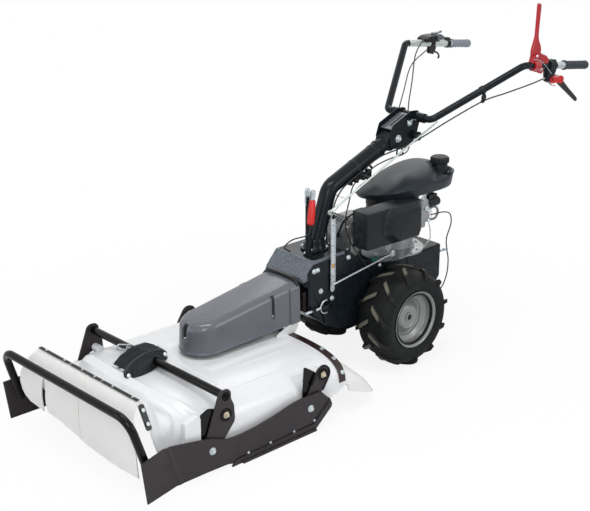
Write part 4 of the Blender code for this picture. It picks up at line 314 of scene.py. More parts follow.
# The lighter colour on this plastic's edges is a painted highlight on its ribs and bevels.
BLACK_PLASTIC = finish("black_plastic_finish", (0.008, 0.01, 0.0122), (0.011, 0.0134, 0.0158), (0.34, 0.46),
    specular=0.18, grain=(1100.0, 0.18), dust=0.015, edge_wear_and_highlight=((0.11, 0.115, 0.12), 0.5))
TANK = finish("tank_finish", (0.0205, 0.0262, 0.033), (0.016, 0.0212, 0.0272), (0.32, 0.4), specular=0.16,
    grain=(1200.0, 0.2), drift=4.0, dust=0.01)
FLAP = finish("flap_rubber_finish", (0.85, 0.85, 0.83), (0.8, 0.8, 0.78), (0.5, 0.62), grain=(600.0, 0.1),
    drift=3.0, dust=0.05)
TYRE = tyre_rubber()
GRIP = finish("grip_finish", (0.022, 0.029, 0.037), (0.029, 0.036, 0.045), (0.5, 0.62), specular=0.35,
    grain=(900.0, 0.35), dust=0.02)
PALE_GRIP = finish("pale_grip_finish", (0.2, 0.225, 0.26), (0.25, 0.275, 0.31), (0.42, 0.52),
    grain=(900.0, 0.3), dust=0.02)
BELT = finish("belt_finish", (0.018, 0.018, 0.018), (0.028, 0.027, 0.026), (0.7, 0.8), grain=(1500.0, 0.4))
RIM = finish("rim_finish", (0.26, 0.27, 0.265), (0.2, 0.21, 0.205), (0.3, 0.42), metallic=0.35, coat=0.1,
    grain=(500.0, 0.1), dust=0.05)
ZINC = finish("zinc_finish", (0.66, 0.71, 0.73), (0.46, 0.51, 0.54), (0.24, 0.38), metallic=0.65,
    grain=(300.0, 0.15), drift=60.0, dust=0.03)
BRASS = finish("brass_finish", (0.55, 0.36, 0.16), (0.42, 0.27, 0.12), (0.28, 0.4), metallic=0.9,
    grain=(400.0, 0.1), drift=40.0)
BRASS_ZINC = finish("yellowed_zinc_finish", (0.66, 0.58, 0.44), (0.52, 0.47, 0.38), (0.24, 0.36),
    metallic=0.75, grain=(300.0, 0.12), drift=70.0)
PLATE = finish("machined_plate_finish", (0.34, 0.35, 0.355), (0.2, 0.21, 0.215), (0.18, 0.28), metallic=0.75,
    grain=(160.0, 0.1), dust=0.02)
STEEL = finish("steel_finish", (0.3, 0.3, 0.31), (0.2, 0.2, 0.205), (0.3, 0.45), metallic=0.9,
    grain=(500.0, 0.15), drift=30.0)
CAST = finish("cast_finish", (0.34, 0.346, 0.35), (0.2, 0.206, 0.21), (0.34, 0.46), metallic=0.6,
    grain=(420.0, 0.3), drift=18.0, dust=0.08)
CLEVIS = finish("bright_plate_finish", (0.62, 0.68, 0.66), (0.5, 0.56, 0.54), (0.28, 0.4), metallic=0.6,
    grain=(300.0, 0.15), drift=50.0)
RED_PAINT = finish("red_paint_finish", (0.46, 0.006, 0.014), (0.4, 0.005, 0.011), (0.22, 0.32), coat=0.3,
    grain=(300.0, 0.05), dust=0.0)
RED_PLASTIC = finish("red_plastic_finish", (0.6, 0.008, 0.006), (0.54, 0.006, 0.005), (0.28, 0.36),
    grain=(700.0, 0.08), dust=0.0)
CABLE = finish("cable_finish", (0.006, 0.0065, 0.0075), (0.01, 0.0105, 0.0115), (0.36, 0.46), specular=0.4,
    grain=(1200.0, 0.2))
DARK_RED = finish("dark_red_finish", (0.013, 0.002, 0.003), (0.02, 0.004, 0.005), (0.3, 0.42),
    grain=(400.0, 0.1), dust=0.02)
GREEN = finish("green_plastic_finish", (0.004, 0.1, 0.065), (0.006, 0.13, 0.085), (0.35, 0.45),
    grain=(600.0, 0.1))
GREY_HOSE = finish("grey_hose_finish", (0.24, 0.27, 0.29), (0.18, 0.2, 0.22), (0.35, 0.45),
    grain=(800.0, 0.15))


# Shapes. A shape is its points and a list of face tables, in the machine's own measure.

def grid(points, wrap_rows=False, wrap_columns=False):
    """A surface on a grid of points: face (i, j) joins rows i and i + 1 to columns j and j + 1."""
    rows, columns = points.shape[:2]
    i = np.arange(rows if wrap_rows else rows - 1)[:, None]
    j = np.arange(columns if wrap_columns else columns - 1)[None, :]
    below, beside = (i + 1) % rows, (j + 1) % columns
    faces = np.stack([i * columns + j, i * columns + beside, below * columns + beside, below * columns + j],
        -1)
    return points.reshape(-1, 3), [faces.reshape(-1, 4)]


def join(*shapes):
    """Several shapes as one: the faces of each count on from the points before it."""
    points = np.concatenate([s[0] for s in shapes])
    starts = np.cumsum([0] + [len(s[0]) for s in shapes[:-1]])
    return points, [table + start for s, start in zip(shapes, starts) for table in s[1]]


def unit(direction):
    """The same direction with length 1."""
    direction = np.asarray(direction, float)
    return direction / np.linalg.norm(direction)


def turned(profile, centre, axis, steps=40, closed=False):
    """A profile of (radius, height) pairs carried once round an axis.

    The point at turn t is centre + axis * height + (side * cos t + other * sin t) * radius.
    """
    profile = np.asarray(profile, float)
    axis = unit(axis)
    side = unit(np.cross(axis, (0.0, 0.0, 1.0) if abs(axis[2]) < 0.9 else (0.0, 1.0, 0.0)))
    other = np.cross(axis, side)
    angle = np.arange(steps) / steps * TURN
    spoke = side * np.cos(angle)[:, None] + other * np.sin(angle)[:, None]
    points = np.asarray(centre) + axis * profile[:, 1, None, None] + spoke * profile[:, 0, None, None]
    return grid(points, closed, True)


def spline(points, count):
    """A smooth curve through the given points, cut into count equal stretches.

    Between two points it is the cubic whose slope at each is half the step from the point before it to
    the point after it.
    """
    points = np.asarray(points, float)
    padded = np.vstack([2 * points[0] - points[1], points, 2 * points[-1] - points[-2]])
    share = np.linspace(0, len(points) - 1 - 1e-9, 24 * len(points))
    k = share.astype(int)
    t = (share - k)[:, None]
    a, b, c, d = padded[k], padded[k + 1], padded[k + 2], padded[k + 3]
    curve = 0.5 * (2 * b + (c - a) * t + (2 * a - 5 * b + 4 * c - d) * t ** 2 + (3 * b - a - 3 * c + d)
        * t ** 3)
    run = np.concatenate([[0], np.cumsum(np.linalg.norm(np.diff(curve, axis=0), axis=1))])
    return np.stack([np.interp(np.linspace(0, run[-1], count), run, curve[:, i])
        for i in range(curve.shape[1])], 1)


def bent(corners, radius, steps=10, ring=False):
    """A line through the corners, each corner replaced by an arc of the radius (one or one for each)."""
    corners = [np.asarray(c, float) for c in corners]
    count = len(corners)
    middle = range(count) if ring else range(1, count - 1)
    radii = np.broadcast_to(radius, len(middle))
    line = [] if ring else [corners[0][None]]
    for size, i in zip(radii, middle):
        a, b, c = corners[i - 1], corners[i], corners[(i + 1) % count]
        into, out = unit(a - b), unit(c - b)
        half = math.acos(max(-1.0, min(1.0, float(into @ out)))) / 2
        if size <= 0 or half > math.pi / 2 - 0.01:
            line.append(b[None])
            continue
        centre = b + unit(into + out) * size / math.sin(half)
        start = b + into * size / math.tan(half) - centre
        across = b + out * size / math.tan(half) - centre
        whole = math.pi - 2 * half
        t = np.linspace(0, 1, steps + 1)[:, None]
        line.append(centre + (start * np.sin((1 - t) * whole) + across * np.sin(t * whole))
            / math.sin(whole))
    if not ring:
        line.append(corners[-1][None])
    return np.concatenate(line)


def filled(route, step):
    """The same line with points added so that no stretch is longer than the step."""
    run = np.concatenate([[0], np.cumsum(np.linalg.norm(np.diff(route, axis=0), axis=1))])
    marks = np.union1d(run, np.linspace(0, run[-1], max(2, int(run[-1] / step) + 1)))
    marks = marks[np.concatenate([[True], np.diff(marks) > step * 0.05])]
    marks[-1] = run[-1]
    return np.stack([np.interp(marks, run, route[:, i]) for i in range(route.shape[1])], 1)


def carried(route, section, size=1.0, closed=True, ring=False):
    """A section of (across, over) pairs carried square to a route, its size a number or one for each
    point.

    The point k at station s is route(s) + size(s) * (across_k * side(s) + over_k * top(s)), where side
    and top are square to the route. Closed ends are drawn in to the middle of the section.
    """
    route = np.asarray(route, float)
    if ring:
        tangent = np.roll(route, -1, axis=0) - np.roll(route, 1, axis=0)
    else:
        tangent = np.gradient(route, axis=0)
    tangent /= np.linalg.norm(tangent, axis=1)[:, None]
    best = np.linalg.svd(tangent, full_matrices=True)[2][-1]
    if best[2] < -1e-6 or (abs(best[2]) <= 1e-6 and best[0] < 0):
        best = -best
    side = np.cross(tangent, best)
    side /= np.linalg.norm(side, axis=1)[:, None]
    top = np.cross(side, tangent)
    size = np.broadcast_to(size, len(route))[:, None, None]
    section = np.asarray(section, float)
    points = route[:, None] + size * (section[None, :, :1] * side[:, None] + section[None, :, 1:]
        * top[:, None])
    if closed and not ring:
        first = np.broadcast_to(points[0].mean(0), points[:1].shape)
        last = np.broadcast_to(points[-1].mean(0), points[:1].shape)
        points = np.concatenate([first, points, last])
    return grid(points, ring, True)


def circle(sides=16, radius=1.0):
    """Points round a circle: (cos t, sin t) * radius."""
    angle = np.arange(sides) / sides * TURN
    return np.stack([np.cos(angle), np.sin(angle)], 1) * radius


def rounded_end(count, edge, length):
    """Sizes at count places along a length whose two ends are rounded off over the edge: 1 in the middle."""
    run = np.linspace(0, length, count)
    near = np.clip(np.minimum(run, length - run) / edge, 0, 1)
    return np.sqrt(1 - (1 - near) ** 2 * 0.75)


def tube(route, radius, sides=16, ring=False):
    """A round section carried along a route."""
    return carried(route, circle(sides), radius, True, ring)


def stick(start, end, radius, sides=20, edge=None):
    """A round bar between two points, its rims rounded off."""
    start, end = np.asarray(start, float), np.asarray(end, float)
    length = np.linalg.norm(end - start)
    edge = min(radius, length / 2) * 0.25 if edge is None else edge
    t = np.linspace(0, 1, 5) * math.pi / 2
    low = np.stack([radius - edge + edge * np.sin(t), edge - edge * np.cos(t)], 1)
    high = np.stack([radius - edge + edge * np.cos(t), length - edge + edge * np.sin(t)], 1)
    return turned(np.vstack([[[0, 0]], low, high, [[0, length]]]), start, end - start, sides)


def prism(outline, axis, low, high):
    """A flat outline given depth along an axis; the outline's two numbers are the other axes in order."""
    outline = np.asarray(outline, float)
    count = len(outline)
    k = {'X': 0, 'Y': 1, 'Z': 2}[axis]
    rest = [i for i in range(3) if i != k]
    points = np.empty((2, count, 3))
    points[:, :, rest] = outline
    points[0, :, k], points[1, :, k] = low, high
    i = np.arange(count)
    j = (i + 1) % count
    return points.reshape(-1, 3), [np.stack([i, j, j + count, i + count], 1), i[None, ::-1], i[None] + count]


def slab(outline, radius, axis, low, high, steps=4):
    """A flat outline with rounded corners given depth along an axis."""
    return prism(bent(outline, radius, steps, ring=True), axis, low, high)


def upright(line, x):
    """A line of (y, z) pairs as points of space that all lie at one x."""
    return np.column_stack([np.full(len(line), x), line])


def block(low, high):
    """A plain block between two corners; its edges are rounded by a bevel."""
    (x0, y0, z0), (x1, y1, z1) = low, high
    return prism([(y0, z0), (y1, z0), (y1, z1), (y0, z1)], 'X', x0, x1)


def link(one, radius_one, two, radius_two, steps=14):
    """Outline of two circles and the straight flanks that touch both."""
    one, two = np.asarray(one, float), np.asarray(two, float)
    gap = two - one
    heading = math.atan2(gap[1], gap[0])
    tilt = math.acos((radius_one - radius_two) / np.linalg.norm(gap))
    first = np.linspace(heading + tilt, heading + TURN - tilt, steps)
    second = np.linspace(heading - tilt, heading + tilt, steps)
    return np.vstack([one + radius_one * np.stack([np.cos(first), np.sin(first)], 1),
        two + radius_two * np.stack([np.cos(second), np.sin(second)], 1)])


def arc(centre, radius, start, end, steps=12):
    """Points on a circle from one angle in degrees to another: centre + radius * (cos, sin)."""
    angle = np.radians(np.linspace(start, end, steps))
    return np.asarray(centre) + radius * np.stack([np.cos(angle), np.sin(angle)], 1)


def hex_bolt(centre, axis, size=0.0075, washer=True, stub=0.0):
    """A hexagon head with a chamfered rim on a washer, and a stub of thread on top where it is a nut."""
    centre, axis = np.asarray(centre, float), unit(axis)
    base = centre + axis * (size * 0.22 if washer else 0)
    parts = [turned([(0, 0), (size, 0), (size, size * 0.55), (size * 0.86, size * 0.72), (0, size * 0.72)],
        base, axis, 6)]
    if washer:
        parts.append(turned([(0, 0), (size * 1.38, 0), (size * 1.38, size * 0.14), (size * 1.3, size * 0.22),
            (0, size * 0.22)], centre, axis, 20))
    if stub:
        parts.append(stick(base, base + axis * (size * 0.72 + stub), size * 0.5, 12))
    return join(*parts)


def button(centre, axis, radius, height):
    """A low domed head: its height follows a quarter circle out to the rim."""
    t = np.linspace(0, math.pi / 2, 6)
    dome = np.stack([radius * np.cos(t), height * np.sin(t)], 1)
    return turned(np.vstack([[[0, 0]], dome]), centre, axis, 18)


def mirrored(shape):
    """The shape on the machine's other side; its faces are turned outwards again when it becomes a piece."""
    return shape[0] * (-1.0, 1.0, 1.0), shape[1]


def on_side(shape, side):
    """A shape made for the left side: as it is for side 1, and mirrored for side -1."""
    return shape if side > 0 else mirrored(shape)


SIDES = (("left", 1), ("right", -1))
DOUBLES, THIN = 2e-6, 1e-7
BEVEL_FROM = math.radians(32)


def piece(name, shape, material, body, replaced=(), bevel=0.0, segments=2, angle=35.0, mask=None,
        held=None):
    """The angle is where shading breaks and the mask is a value for each point. A held piece is not
    attached to any body: its placement is baked into its points, and the bodies and ends in held are not
    read.
    """
    points, tables = shape
    mesh = bpy.data.meshes.new(name)
    faces = [row for table in tables for row in table.tolist()]
    mesh.from_pydata((points + (0.0, SHIFT, 0.0)).tolist(), [], faces)
    if mask is not None:
        mesh.attributes.new("lug_face", 'FLOAT', 'POINT').data.foreach_set("value", mask.astype(np.float32))
    work = bmesh.new()
    work.from_mesh(mesh)
    bmesh.ops.remove_doubles(work, verts=work.verts, dist=DOUBLES)
    bmesh.ops.dissolve_degenerate(work, edges=work.edges, dist=THIN)
    bmesh.ops.recalc_face_normals(work, faces=work.faces)
    work.to_mesh(mesh)
    work.free()
    mesh.shade_smooth()
    mesh.set_sharp_from_angle(angle=math.radians(angle))
    mesh.materials.append(material)
    made = bpy.data.objects.new(name, mesh)
    bpy.context.scene.collection.objects.link(made)
    if bevel:
        rounding = made.modifiers.new("rounded", 'BEVEL')
        rounding.width, rounding.segments = bevel, segments
        rounding.limit_method, rounding.angle_limit = 'ANGLE', BEVEL_FROM
        rounding.harden_normals = True
    if held:
        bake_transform(made)
    else:
        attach(made, body)
    if replaced:
        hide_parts(*replaced)
    return made


def laid(outline, origin, along, across, low, high):
    """A flat outline in its own plane: origin + a * along + b * across, given depth square to both."""
    along, across = unit(along), unit(across)
    square = np.cross(along, across)
    outline = np.asarray(outline, float)
    flat = np.asarray(origin) + outline[:, :1] * along + outline[:, 1:] * across
    count = len(outline)
    i = np.arange(count)
    j = (i + 1) % count
    points = np.concatenate([flat + square * low, flat + square * high])
    return points, [np.stack([i, j, j + count, i + count], 1), i[None, ::-1], i[None] + count]


def shell(outer, inner, last_row=True):
    """Two matching grids joined round their rims into a closed wall; the last row's rim is left where it
    is a fold."""
    rows, columns = outer.shape[:2]
    count = rows * columns
    index = np.arange(count).reshape(rows, columns)
    front, front_faces = grid(outer)
    back, back_faces = grid(inner)
    lines = [index[0], index[:, 0], index[:, -1]] + ([index[-1]] if last_row else [])
    rims = [np.stack([a[:-1], a[1:], a[1:] + count, a[:-1] + count], 1) for a in lines]
    return np.concatenate([front, back]), [front_faces[0], back_faces[0][:, ::-1] + count] + rims


def normals(points):
    """Unit normals of a grid: the cross product of its two directions."""
    found = np.cross(np.gradient(points, axis=0), np.gradient(points, axis=1))
    return found / np.maximum(np.linalg.norm(found, axis=2), 1e-12)[:, :, None]


def eased(value, keys):
    """A smooth line through the keys, read at the values."""
    line = spline(keys, 400)
    return np.interp(value, line[:, 0], line[:, 1])


def ramp(value, low, high):
    """0 below low, 1 above high, and a smooth step between."""
    t = np.clip((value - low) / (high - low), 0, 1)
    return t * t * (3 - 2 * t)


def window(value, low, high, edge):
    """1 between low and high, falling to 0 over the edge on both sides."""
    return ramp(value, low - edge, low) * (1 - ramp(value, high, high + edge))


# Mower deck

DECK_FRONT, DECK_REAR = -1.392, -0.51
DECK_HALF, LIP_HALF = 0.38, 0.3
FRONT_PIVOT, REAR_PIVOT, PIVOT_Z = -1.1, -0.634, 0.206


def deck_points(y, count=161):
    """Sections of the deck: x = half * cos(a)^p and z = low + rise * sin(a)^p, which turns into a
    trapezoid at the lip."""
    y = np.asarray(y, float)[:, None]
    top = eased(y, [(DECK_FRONT, 0.322), (-1.335, 0.29), (-1.26, 0.262), (-1.18, 0.2495), (-1.05, 0.2498),
        (-0.64, 0.2495), (DECK_REAR, 0.238)])
    half = eased(y, [(DECK_FRONT, 0.352), (-1.33, 0.366), (-1.24, 0.376), (FRONT_PIVOT, DECK_HALF),
        (-0.8, DECK_HALF), (DECK_REAR, DECK_HALF)])
    low = np.interp(y, [DECK_FRONT, -1.37, -1.33, -0.6, DECK_REAR], [0.232, 0.15, 0.078, 0.078, 0.11])
    power = np.interp(y, [DECK_FRONT, -1.25, -1.0, DECK_REAR], [0.46, 0.52, 0.5, 0.56])
    straight = 1 - ramp(y, DECK_FRONT, -1.25)
    share = np.linspace(0, 1, count)[None]
    share = share + 0.035 * np.sin(2 * TURN * share)
    angle = math.pi * np.clip(share, 0, 1)
    x = half * np.abs(np.cos(angle)) ** power * np.sign(np.cos(angle))
    z = low + (top - low) * np.sin(angle) ** power
    place = np.minimum(share, 1 - share) * 16
    side = np.sign(np.cos(angle))
    flat_x = np.where(place <= 4, side * (half + (LIP_HALF - half) * place / 4),
        LIP_HALF * (8 - share * 16) / 4)
    flat_z = low + (top - low) * np.minimum(1.0, place / 4)
    points = np.empty(x.shape + (3,))
    points[..., 0] = x + (flat_x - x) * straight
    points[..., 1] = y + 0 * x
    points[..., 2] = z + (flat_z - z) * straight
    return points


def deck_relief(points):
    """Height of the pressed forms over the plain sections: the hollow ahead of the arc-shaped crest, the
    crest, the round boss at the front left corner, the framed field on the left, the plinth and the
    fine rib beside the cover, the long ridge on the shoulder and the shallow pocket in the side."""
    x, y = points[..., 0], points[..., 1]
    arc_front = -1.232 + 0.3 * x ** 2 + 0.6 * np.abs(x) ** 3
    height = -0.0135 * (1 - ramp(y, arc_front - 0.03, arc_front + 0.004)) * ramp(y, DECK_FRONT + 0.02, -1.33)
    height += 0.0045 * window(y, arc_front + 0.004, arc_front + 0.008, 0.006) * window(x, -0.26, 0.26, 0.05)
    near = np.hypot((x - 0.285) / 0.075, (y + 1.318) / 0.06)
    height += 0.0085 * (1 - ramp(near, 0.72, 1.05)) * ramp(y, DECK_FRONT + 0.012, DECK_FRONT + 0.03)
    field = window(x, 0.015, 0.245, 0.0025) * window(y, -1.047, -1.012, 0.0025)
    height -= 0.004 * field
    height += 0.0042 * window(np.abs(x), 0.118, 0.15, 0.004) * window(y, -0.96, -0.56, 0.012)
    height += 0.0022 * window(np.abs(x), 0.186, 0.19, 0.003) * window(y, -0.86, -0.66, 0.01)
    height += 0.0036 * window(np.abs(x), 0.296, 0.304, 0.006) * window(y, -1.03, -0.62, 0.03)
    height -= 0.003 * window(np.abs(x), 0.345, 0.377, 0.012) * window(y, -0.735, -0.56, 0.016)
    return height


def deck_shell():
    """The deck's sections with the relief laid on along their normals, and a wall 3.2 mm thick."""
    y = np.unique(np.concatenate([np.linspace(DECK_FRONT, -1.17, 60), np.linspace(-1.17, -1.0, 60),
        np.linspace(-1.0, DECK_REAR, 110)]))
    points = deck_points(y, 221)
    square = normals(points)
    square *= np.sign(square[:, 110:111, 2:3])
    outer = points + square * (deck_relief(points) - 0.0008)[..., None]
    return shell(outer, outer - square * 0.0032)


piece("deck_shell", deck_shell(), DECK, "mower", ["mower_deck"], angle=45)


def section_band(y, front, back, low, high, start, end, count):
    """A band that follows the deck's section at y: from the height low to high over it, start to end
    across."""
    line = deck_points([y], 321)[0]
    tangent = np.gradient(line[:, [0, 2]], axis=0)
    square = np.stack([-tangent[:, 1], tangent[:, 0]], 1)
    square /= np.linalg.norm(square, axis=1)[:, None]
    square *= np.sign(square[160, 1])
    share = np.linspace(0, 1, len(line))
    at = np.linspace(start, end, count)
    x = np.interp(at, share, line[:, 0])
    z = np.interp(at, share, line[:, 2])
    nx, nz = np.interp(at, share, square[:, 0]), np.interp(at, share, square[:, 1])
    route = np.stack([x, 0 * x, z], 1)
    out = np.stack([nx, 0 * nx, nz], 1)
    ring = np.stack([route + out * low + (0, front, 0), route + out * high + (0, front, 0),
        route + out * high + (0, back, 0), route + out * low + (0, back, 0)], 1)
    points, faces = grid(ring, False, True)
    last = 4 * (count - 1)
    return points, faces + [np.array([[3, 2, 1, 0], [last, last + 1, last + 2, last + 3]])]


def deck_trim():
    """Cross ribs ahead of the tube, the step panels at the sides, the pivots' pads, the hitch plates, the
    latch's two plinths and a strip beside the rear arm."""
    parts = []
    for start, end in ((0.0, 0.245), (0.8, 1.0)):
        parts.append(section_band(-1.14, -1.146, -1.139, -0.001, 0.0062, start, end, 60))
    for side in BOTH:
        top = 0.226 if side > 0 else 0.14
        panel = slab([(-1.274, 0.09), (-1.206, 0.09), (-1.206, top), (-1.214, top + 0.012), (-1.274, top)],
            0.008, 'X', 0.362, 0.3856)
        parts.append(on_side(panel, side))
        for pivot in (FRONT_PIVOT, REAR_PIVOT):
            parts.append(turned([(0, 0), (0.016, 0), (0.016, 0.045), (0.0, 0.0462)],
                (side * 0.34, pivot, PIVOT_Z), (side, 0, 0), 32))
    for x in (0.093, -0.0985):
        parts.append(slab([(-0.606, 0.248), (-0.522, 0.2825), (-0.48, 0.2825), (-0.48, 0.262),
            (-0.496, 0.238), (-0.53, 0.236)], 0.005, 'X', x, x + 0.0055))
    parts.append(block((-0.05, -0.548, 0.302), (0.05, -0.52, 0.308)))
    parts.append(block((-0.112, -1.196, 0.2505), (-0.05, -1.176, 0.262)))
    parts.append(block((-0.098, -1.034, 0.2505), (-0.06, -1.018, 0.284)))
    parts.append(block((0.362, -0.712, 0.102), (0.384, -0.692, 0.214)))
    return join(*parts)


piece("deck_trim", deck_trim(), DECK, "mower", bevel=0.0012)


SHADE_PLATE_IN, SHADE_PLATE_OUT = 0.3803, 0.3848


def shade_plates_by_arms():
    """Dark plates painted on as the shade beside the arms: triangular plates ahead of the rear arms and
    upright plates ahead of the front arms.
    """
    plate = slab([(-0.73, 0.1), (-0.664, 0.09), (-0.664, 0.222), (-0.722, 0.262)], 0.006, 'X', SHADE_PLATE_IN,
        SHADE_PLATE_OUT)
    front = slab([(-1.206, 0.094), (-1.14, 0.094), (-1.128, 0.236), (-1.172, 0.25), (-1.206, 0.236)],
        [0.004, 0.004, 0.01, 0.02, 0.006], 'X', SHADE_PLATE_IN, SHADE_PLATE_OUT)
    far = [slab([(first, 0.094), (last, 0.094), (last, 0.168), (first, 0.176)], 0.006, 'X', -SHADE_PLATE_OUT,
        -SHADE_PLATE_IN) for first, last in ((-0.722, -0.67), (-1.2, -1.14))]
    return join(plate, front, *far)


# Painted shade: dark plates where the deck's sides lie in shade by the arms.
piece("shade_plates_by_arms", shade_plates_by_arms(), GLOSS_BLACK, "mower", bevel=0.001)


# Flaps

LIP_TOP = 0.3214
RUBBER = 0.0045


def flap_wall(points, thickness, outwards):
    """A rubber sheet: the grid and the same grid moved in by the thickness, its rims rounded by a bevel."""
    square = normals(points)
    middle = square[points.shape[0] // 2, points.shape[1] // 2]
    square *= 1 if middle @ np.asarray(outwards) > 0 else -1
    return shell(points, points - square * thickness)


def front_curtain():
    """Three panels side by side: each point goes forward and down from the lip; below the slits' tops the
    panels' edges part, in a wide wedge at the first slit and a narrow one at the second."""
    down = np.concatenate([np.linspace(0, 0.3, 14), np.linspace(0.3, 1.0, 34)[1:]])
    fall = np.array([(0, 0, -0.0015), (0.022, 0.018, 0.009), (0.042, 0.048, 0.026), (0.054, 0.09, 0.042),
        (0.0585, 0.14, 0.049), (0.058, 0.19, 0.052), (0.053, 0.246, 0.052)])
    forward, drop, wider = (eased(down, np.stack([np.linspace(0, 1, 7), fall[:, i]], 1)) for i in range(3))
    parts = []
    first, second = -0.2, 0.022
    for left, right in ((-1, first), (first, second), (second, 1)):
        across = np.linspace(0, 1, 40)[None]
        reach = (LIP_HALF + wider)[:, None]
        wedge = ramp(down, 0.34, 0.62)[:, None]
        low = -reach if left == -1 else left + wedge * (0.02 if left == first else 0.0015)
        high = reach if right == 1 else right - wedge * (0.006 if right == first else 0.0015)
        x = low + (high - low) * across
        hem = np.interp(x, [-0.36, -0.335, -0.3, -0.2, -0.1, 0.06, 0.36],
            [0.175, 0.148, 0.134, 0.13, 0.122, 0.082, 0.076]) - (0.01 if left == -1 else 0.0)
        full = LIP_TOP - drop[:, None]
        z = LIP_TOP - (LIP_TOP - hem) * (drop / drop[-1])[:, None]
        z = full + (z - full) * ramp(down, 0.25, 1.0)[:, None]
        sway = 0.0035 * np.sin(x * 17 + 0.8) * ramp(down, 0.3, 1.0)[:, None]
        y = DECK_FRONT - 0.0058 - forward[:, None] + sway
        parts.append(flap_wall(np.stack([x, y, z], -1), RUBBER, (0, -1, 0.2)))
    return join(*parts)


piece("front_curtain", front_curtain(), FLAP, "mower", ["front_flap"], angle=50)


def rear_skirt():
    """The skirt leaves the deck's rear arch and spreads back, out and down to its hem in a shallow bow."""
    top = deck_points([DECK_REAR], 121)[0]
    square = np.array([[0.0, 0.0, 1.0]])
    share = np.linspace(1, -1, 121)
    turn = np.clip((np.abs(share) - 0.8) / 0.2, 0, 1)
    hem = np.stack([np.sign(share) * np.interp(turn, [0, 0.45, 1], [0.372, 0.398, 0.391])
        * np.where(np.abs(share) < 0.8, np.abs(share) / 0.8, 1),
        np.interp(turn, [0, 0.4, 0.8, 1], [-0.34, -0.372, -0.455, -0.494]),
        np.interp(turn, [0, 0.5, 1], [0.034, 0.052, 0.092])], 1)
    start = top * (1, 0, 1) + (0, DECK_REAR + 0.0062, 0) - square * 0.002
    t = np.linspace(0, 1, 40)[:, None, None]
    points = start + (hem - start) * t
    points[..., 2] += (0.02 * np.sin(math.pi * t) - 0.004 * np.sin(2 * math.pi * t))[..., 0]
    return flap_wall(points, RUBBER, (0, 0.4, 1))


piece("rear_skirt", rear_skirt(), FLAP, "mower", ["rear_flap"], angle=50)

LIP_CORNER = 0.3005
LIP_SLANT = np.array([0.052, 0.0, -0.09]) / 0.10394


def lip_strips():
    """The lip's clamp strip in three lengths."""
    ends = ((-0.296, -0.105), (-0.098, 0.082), (0.089, 0.292))
    return join(*[block((first, -1.401, 0.3236), (last, -1.387, 0.3262)) for first, last in ends])


def side_strips():
    """The two strips laid on the lip's slanted corners."""
    outline = bent([(0.008, -0.014), (0.1, -0.014), (0.1, 0.01), (0.008, 0.01)], 0.009, 5, True)
    strips = [laid(outline, (side * LIP_CORNER, -1.391, 0.3225), LIP_SLANT * (side, 1, 1), BACK, low, high)
        for side, low, high in ((1, -0.0038, -0.0006), (-1, 0.0006, 0.0038))]
    return join(*strips)


piece("lip_strip", lip_strips(), GLOSS_BLACK, "mower", ["front_strip"], bevel=0.0008)
piece("lip_side_strips", side_strips(), GLOSS_BLACK, "mower", bevel=0.001)
piece("rear_clamp_strip", section_band(DECK_REAR, -0.536, -0.5045, 0.0004, 0.0034, 0.012, 0.988, 160),
    DARK_RED, "mower", ["rear_strip"], bevel=0.001)


def on_section(y, share, rise):
    """A place and the outward direction on the deck's section."""
    line = deck_points([y], 321)[0]
    k = int(round(share * 320))
    step = line[min(k + 1, 320)] - line[max(k - 1, 0)]
    out = unit((-step[2], 0, step[0]))
    out = out if out[2] > 0 or (abs(out[2]) < 0.2 and out[0] * line[k, 0] > 0) else -out
    return line[k] + out * rise, out


def mower_bolts():
    """Bolts along the lip, on the side strips, along the rear strip, on the plinths and the hitch plate."""
    parts = [hex_bolt((x, -1.394, 0.3262), ABOVE, 0.0034)
        for x in (-0.255, -0.14, -0.03, 0.045, 0.15, 0.262)]
    for side in BOTH:
        slant = LIP_SLANT * (side, 1, 1)
        out = unit((0.866 * side, 0, 0.5))
        for run in (0.03, 0.078):
            parts.append(button(np.array([side * LIP_CORNER, -1.393, 0.3225]) + slant * run + out * 0.0036,
                out, 0.0078, 0.003))
    for share in (0.06, 0.2, 0.36, 0.5, 0.64, 0.8, 0.94):
        place, out = on_section(DECK_REAR, share, 0.0034)
        parts.append(hex_bolt(place + (0, -0.0052, 0), out, 0.0062, stub=0.003))
    for place in ((-0.092, -1.188, 0.262), (-0.068, -1.188, 0.262), (-0.079, -1.026, 0.284)):
        parts.append(hex_bolt(place, ABOVE, 0.0042))
    parts.append(button((0.06, -0.56, 0.262), LEFT, 0.007, 0.003))
    return join(*parts)


piece("mower_bolts", mower_bolts(), ZINC, "mower")
piece("pivot_bolts", join(*[hex_bolt((side * 0.3938, pivot, PIVOT_Z), (side, 0, 0), 0.0088, stub=0.004)
    for side in BOTH for pivot in (FRONT_PIVOT, REAR_PIVOT)]), BRASS_ZINC, "mower")


# Belt cover

COVER_HALF, NOSE_HALF, COVER_NOSE, COVER_REAR = 0.103, 0.093, -0.968, -0.476
COVER_ROUND = 0.034
NOSE_TURN = math.radians(88.75)
NOSE_OUT = np.array([math.cos(NOSE_TURN), -math.sin(NOSE_TURN), 0])


def cover_foot(y):
    """Height of the cover's lower edge, which rises a little to the rear."""
    return np.interp(y, [COVER_NOSE, -0.875, COVER_REAR], [0.268, 0.27, 0.284])


